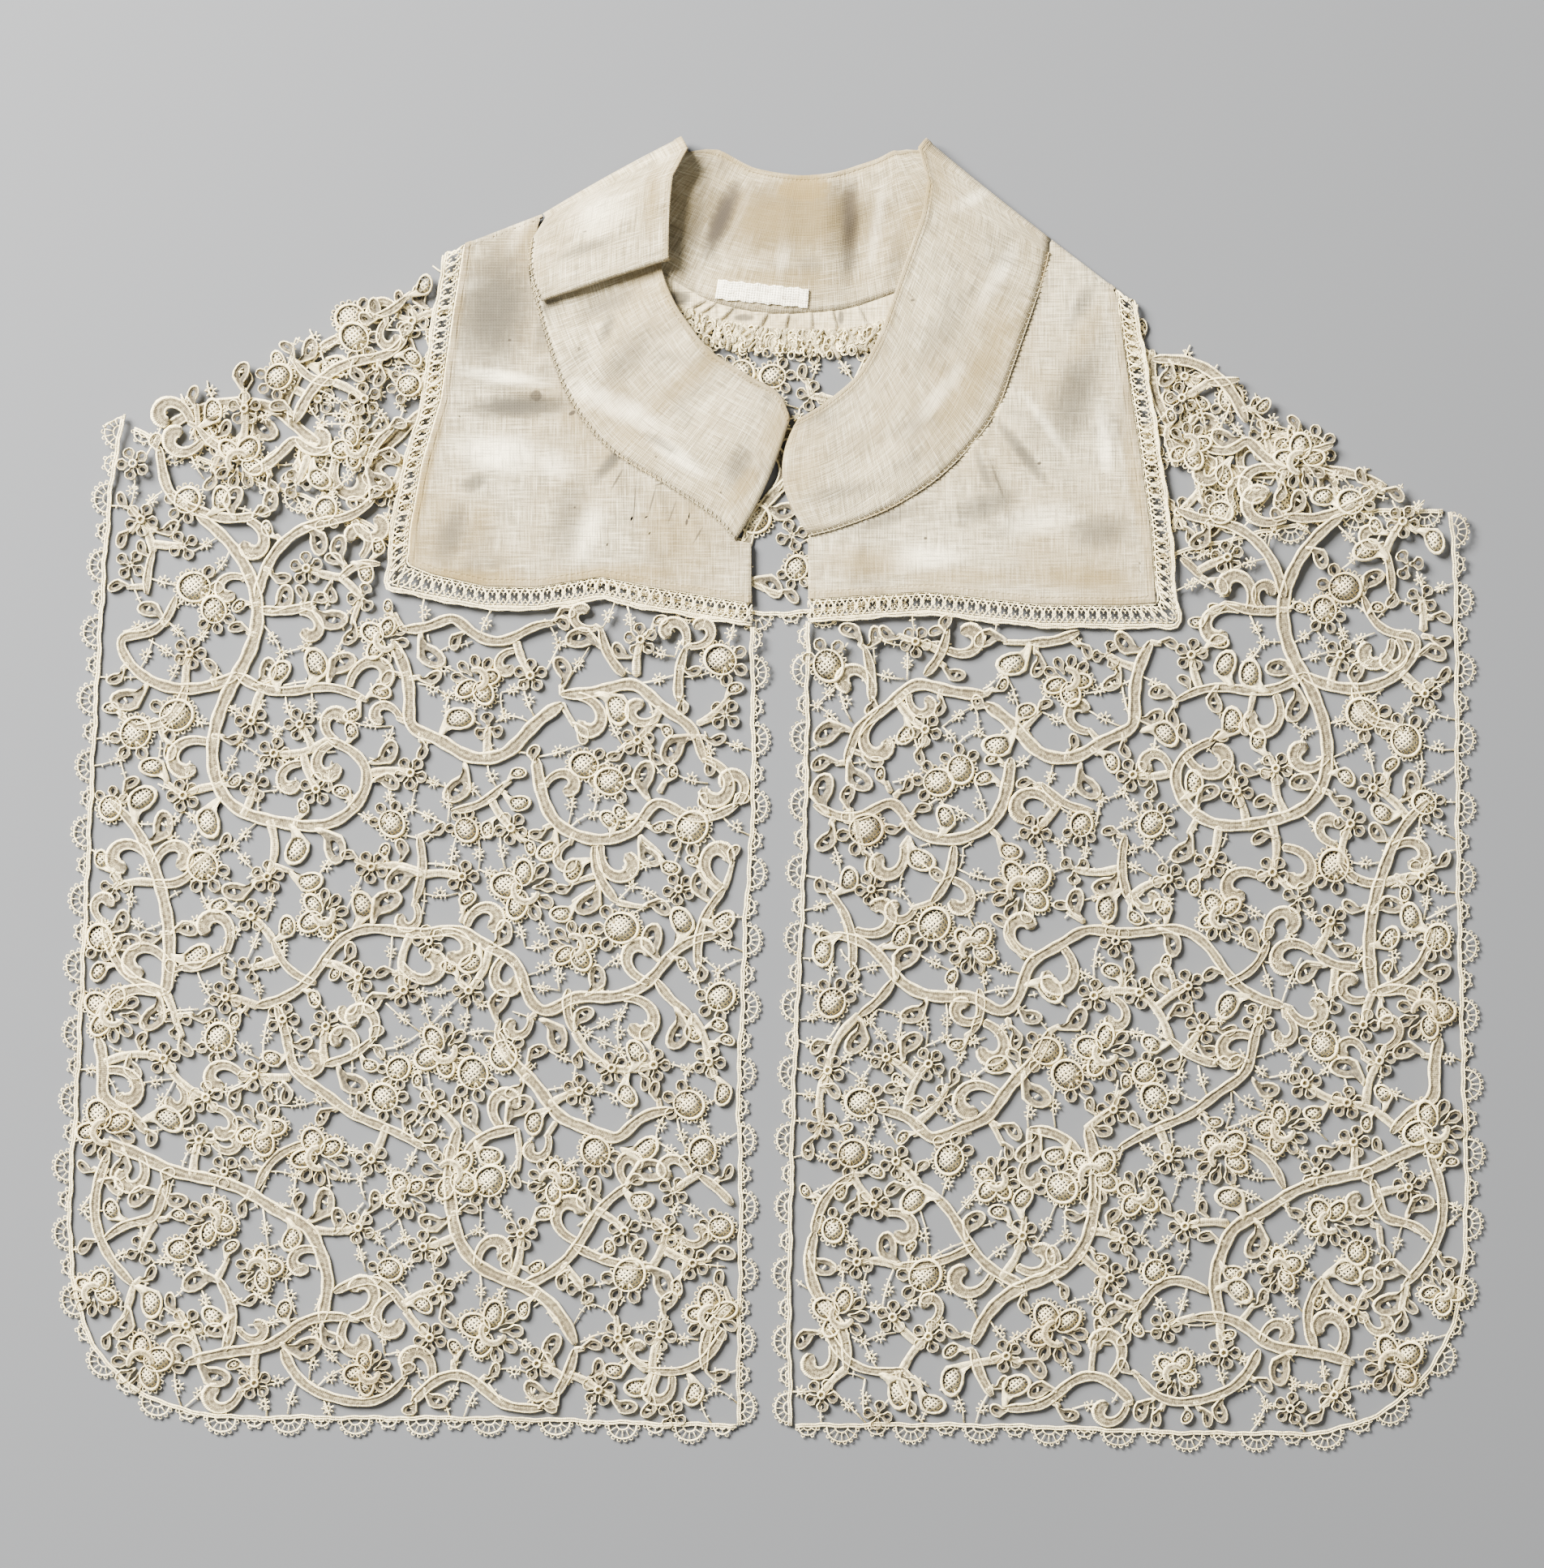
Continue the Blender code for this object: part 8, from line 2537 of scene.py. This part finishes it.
BAND_LINEN = LinenFinish(
    "linen_band",
    light=(0.305, 0.26, 0.155, 1.0),
    along=True,
    hem=2.0,
    pale=(
        Spot(-46, 118, -27, 22, 5.5, 0.9, 1.0), Spot(-28, 103, -35, 14, 4, 0.9, 0.8),
        Spot(-52, 178, 20, 15, 9, 0.9, 0.6),
        Spot(-9, 178, 67, 11, 1.8, 0.9, 0.7), Spot(4, 166, 86, 16, 3.2, 0.9, 0.5),
        Spot(33, 174, 80, 16, 2.8, 0.9, 0.8),
        Spot(70, 158, 60, 18, 4, 0.9, 0.7), Spot(52, 122, 50, 20, 4, 0.9, 0.7),
        Spot(62, 182, 30, 10, 3, 0.9, 0.6),
    ),
    stained=(
        Spot(10.4, 185.2, 0, 11.5, 6.4, 0.6, 0.62, 0.7), Spot(8, 176, 0, 40, 16, 0.8, 0.38),
        Spot(4, 112, 60, 16, 8, 0.9, 0.35), Spot(-26, 126, 40, 26, 5, 0.9, 0.3),
        Spot(64, 128, 55, 34, 7, 0.9, 0.2), Spot(-36, 180, 85, 16, 4, 0.9, 0.3),
        Spot(-8, 94, 50, 12, 4, 0.9, 0.35),
        Spot(6, 158, 0, 30, 5, 0.9, 0.25), Spot(44, 176, 60, 22, 5, 0.9, 0.2),
        Spot(10, 172, 80, 14, 8, 0.9, 0.3),
    ),
    greyed=(
        Spot(6, 177, 0, 40, 16, 0.8, 0.52), Spot(-50, 150, 25, 14, 5, 0.95, 0.4),
        Spot(-50, 143, 70, 8, 3, 0.95, 0.45), Spot(-44, 133, 50, 18, 8, 0.95, 0.3),
        Spot(-22, 176, 75, 16, 5, 0.95, 0.4), Spot(25, 172, 86, 21, 4.4, 0.9, 0.7),
        Spot(12, 162, 90, 8, 7, 0.95, 0.3),
        Spot(-10, 100, 60, 10, 6, 0.95, 0.42), Spot(39, 166, 80, 14, 4, 0.95, 0.3),
        Spot(52, 140, 60, 18, 8, 0.95, 0.2),
        Spot(-56, 167, 20, 14, 2.6, 0.95, 0.35), Spot(22, 92, 10, 18, 4, 0.95, 0.25),
        Spot(-33, 107, -30, 9, 2.4, 0.95, 0.35),
    ),
    dark=(
        Spot(-15.0, 176, 67, 18, 4.2, 0.9, 1.0), Spot(24.6, 177, 88, 15, 4.0, 0.95, 0.7),
        Spot(-68, 149.5, 25, 6, 1.8, 0.95, 0.4),
        Spot(-15, 92, 0, 0.5, 0.45, 0.5, 0.6), Spot(44, 151, 0, 0.7, 0.5, 0.5, 0.6),
        Spot(-35, 103, 0, 0.4, 0.35, 0.5, 0.6), Spot(8, 152, 0, 14, 0.5, 0.9, 0.25),
    ),
)
STRIP_LINEN = LinenFinish(
    "linen_strip", light=(0.42, 0.355, 0.21, 1.0), yellowing=0.4, hem=0.8,
    greyed=(
        Spot(-28, 152, 0, 5, 3, 0.6, 0.7), Spot(-8, 146, 0, 4, 1.4, 0.6, 0.6),
        Spot(22, 146, 90, 3, 1.2, 0.6, 0.6),
    ),
)
BAND_FOLDS: dict[str, Table] = {
    "front_left": [
        (-52.0, 152.0, -56.0, 139.0, -1.2, 3.2), (-70.0, 137.0, -58.0, 135.0, 0.5, 1.6),
        (-24.0, 119.0, -14.0, 124.0, -0.7, 4.0),
        (-40.0, 112.0, -20.0, 100.0, 0.5, 4.0), (-8.0, 108.0, 0.0, 92.0, -0.6, 3.0),
        (-60.0, 128.0, -44.0, 134.0, 0.5, 3.0),
        (-36.0, 138.0, -24.0, 143.0, -0.5, 3.0),
    ],
    "top_left": [(-64.0, 186.0, -36.0, 194.0, 0.6, 3.0), (-62.0, 166.0, -40.0, 172.0, 0.6, 3.5)],
    "back": [
        (-6.75, 192.5, -19.0, 163.0, 0.9, 1.6), (-9.5, 189.0, -23.0, 166.0, -0.6, 2.4),
        (29.0, 184.5, 22.0, 168.0, 0.9, 1.5),
        (6.0, 188.0, 4.0, 160.0, 0.4, 3.0), (48.0, 186.0, 44.0, 166.0, 0.6, 4.0),
        (-30.0, 190.0, -34.0, 172.0, 0.5, 4.0),
    ],
    "front_right": [
        (49.0, 184.5, 64.0, 174.0, 0.7, 2.6), (64.0, 174.0, 86.0, 166.0, 0.7, 2.6),
        (60.0, 142.0, 46.0, 150.0, 0.6, 5.0),
        (36.0, 108.0, 24.0, 100.0, -0.8, 4.0), (16.0, 104.0, 10.0, 88.0, 0.5, 4.0),
        (56.0, 124.0, 44.0, 132.0, -0.5, 4.0),
        (30.0, 96.0, 48.0, 108.0, 0.5, 1.6),
    ],
}


def finish_on(item: bpy.types.Object, finish: LaceFinish | LinenFinish | TapeFinish) -> None:
    """Gives a piece its finish."""
    item.data.materials.append(finish.material())


def mesh_area(item: bpy.types.Object) -> float:
    """The area of a piece's faces in square metres."""
    areas = np.empty(len(item.data.polygons))
    item.data.polygons.foreach_get("area", areas)
    return float(areas.sum())


def dress_lace(
    panel: LacePanel, node: str,
    whole: bool = False,
) -> None:
    """Args:
        panel: the panel.
        node: the solid that it replaces.
        whole: its motifs and its ground make one piece.
    """
    scrolls, leaf_nets = panel.scrolls()
    flowers, flower_nets = panel.flowers()
    ground = panel.ground()
    if whole:
        scrolls.join(flowers)
        scrolls.join(ground)
    place = panel.drape.place
    pieces = {
        "scrolls": (scrolls, LACE_FINISH), "leaf_nets": (leaf_nets, NET_FINISH),
        "flowers": (flowers, LACE_FINISH),
        "flower_nets": (flower_nets, NET_FINISH), "ground": (ground, LACE_FINISH),
    }
    if whole:
        pieces = {name: pieces[name] for name in ("scrolls", "leaf_nets", "flower_nets")}
    made = {}
    for name, (work, finish) in pieces.items():
        item = work.finish(f"{panel.name}_{name}", place)
        finish_on(item, finish)
        made[name] = ride(item, "needle_lace", node)
    others = [item for name, item in made.items() if name != "scrolls"]
    area = mesh_area(made["scrolls"]) / 2
    LOG.info("%s: %d pieces", panel.name, len(made))


@dataclass
class Studio:
    """The plain light-grey floor, the soft lights and the camera that looks straight down."""

    distance: float = 1.6
    height_seen: float = 0.48325
    middle: tuple[float, float] = (0.0012, 0.0031)

    def build(self) -> None:
        """Sets the floor, lights, sky and camera."""
        mesh = bpy.data.meshes.new("floor")
        mesh.from_pydata(
            [(-3, -3, -0.0003), (3, -3, -0.0003), (3, 3, -0.0003), (-3, 3, -0.0003)], [], [(0, 1, 2, 3)],
        )
        floor = placed("floor", mesh)
        made = bpy.data.materials.new("floor")
        made.use_nodes = True
        shader = made.node_tree.nodes["Principled BSDF"]
        shader.inputs["Base Color"].default_value = (0.082, 0.087, 0.095, 1.0)
        shader.inputs["Roughness"].default_value = 0.9
        mesh.materials.append(made)
        self.light("key", (-1.0, 0.92, 1.05), 0.8, 345.0, WARM)
        self.light("fill", (0.9, -0.5, 1.5), 1.4, 11.0, WARM)
        world = bpy.data.worlds.new("sky")
        world.use_nodes = True
        world.node_tree.nodes["Background"].inputs[0].default_value = (*WARM, 1.0)
        world.node_tree.nodes["Background"].inputs[1].default_value = 0.42
        bpy.context.scene.world = world
        lens = bpy.data.cameras.new("camera")
        lens.sensor_fit = "VERTICAL"
        lens.sensor_height = 36.0
        lens.sensor_width = 36.0
        lens.lens = 36.0 * self.distance / self.height_seen
        lens.clip_end = 20.0
        camera = placed("camera", lens)
        camera.location = (*self.middle, self.distance)
        bpy.context.scene.camera = camera

    def light(
        self, name: str, place: tuple[float, float, float], size: float, power: float,
        colour: tuple[float, float, float],
    ) -> None:
        """A square soft light that points at the collar."""
        lamp = bpy.data.lights.new(name, "AREA")
        lamp.size, lamp.energy, lamp.color = size, power, colour
        item = placed(name, lamp)
        item.location = place
        direction = -np.array(place)
        item.rotation_euler = (
            math.atan2(math.hypot(direction[0], direction[1]), -direction[2]), 0.0,
            math.atan2(direction[0], -direction[1]) + math.pi,
        )


def main() -> None:
    """Builds the studio, then the collar's pieces in order."""
    logging.basicConfig(level=logging.INFO, format="%(message)s")
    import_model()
    Studio().build()
    dress_lace(back_panel(), "lace_back", whole=True)
    Gathers().build()
    band = Neckband()
    Strip().build()
    for side in Side:
        dress_lace(front_panel(side), f"lace_front_{side.value}")
        Yoke(side=side).build(band, Insertion(side).build())
    band.build(Tape().build(band))


if __name__ == "__main__":
    main()
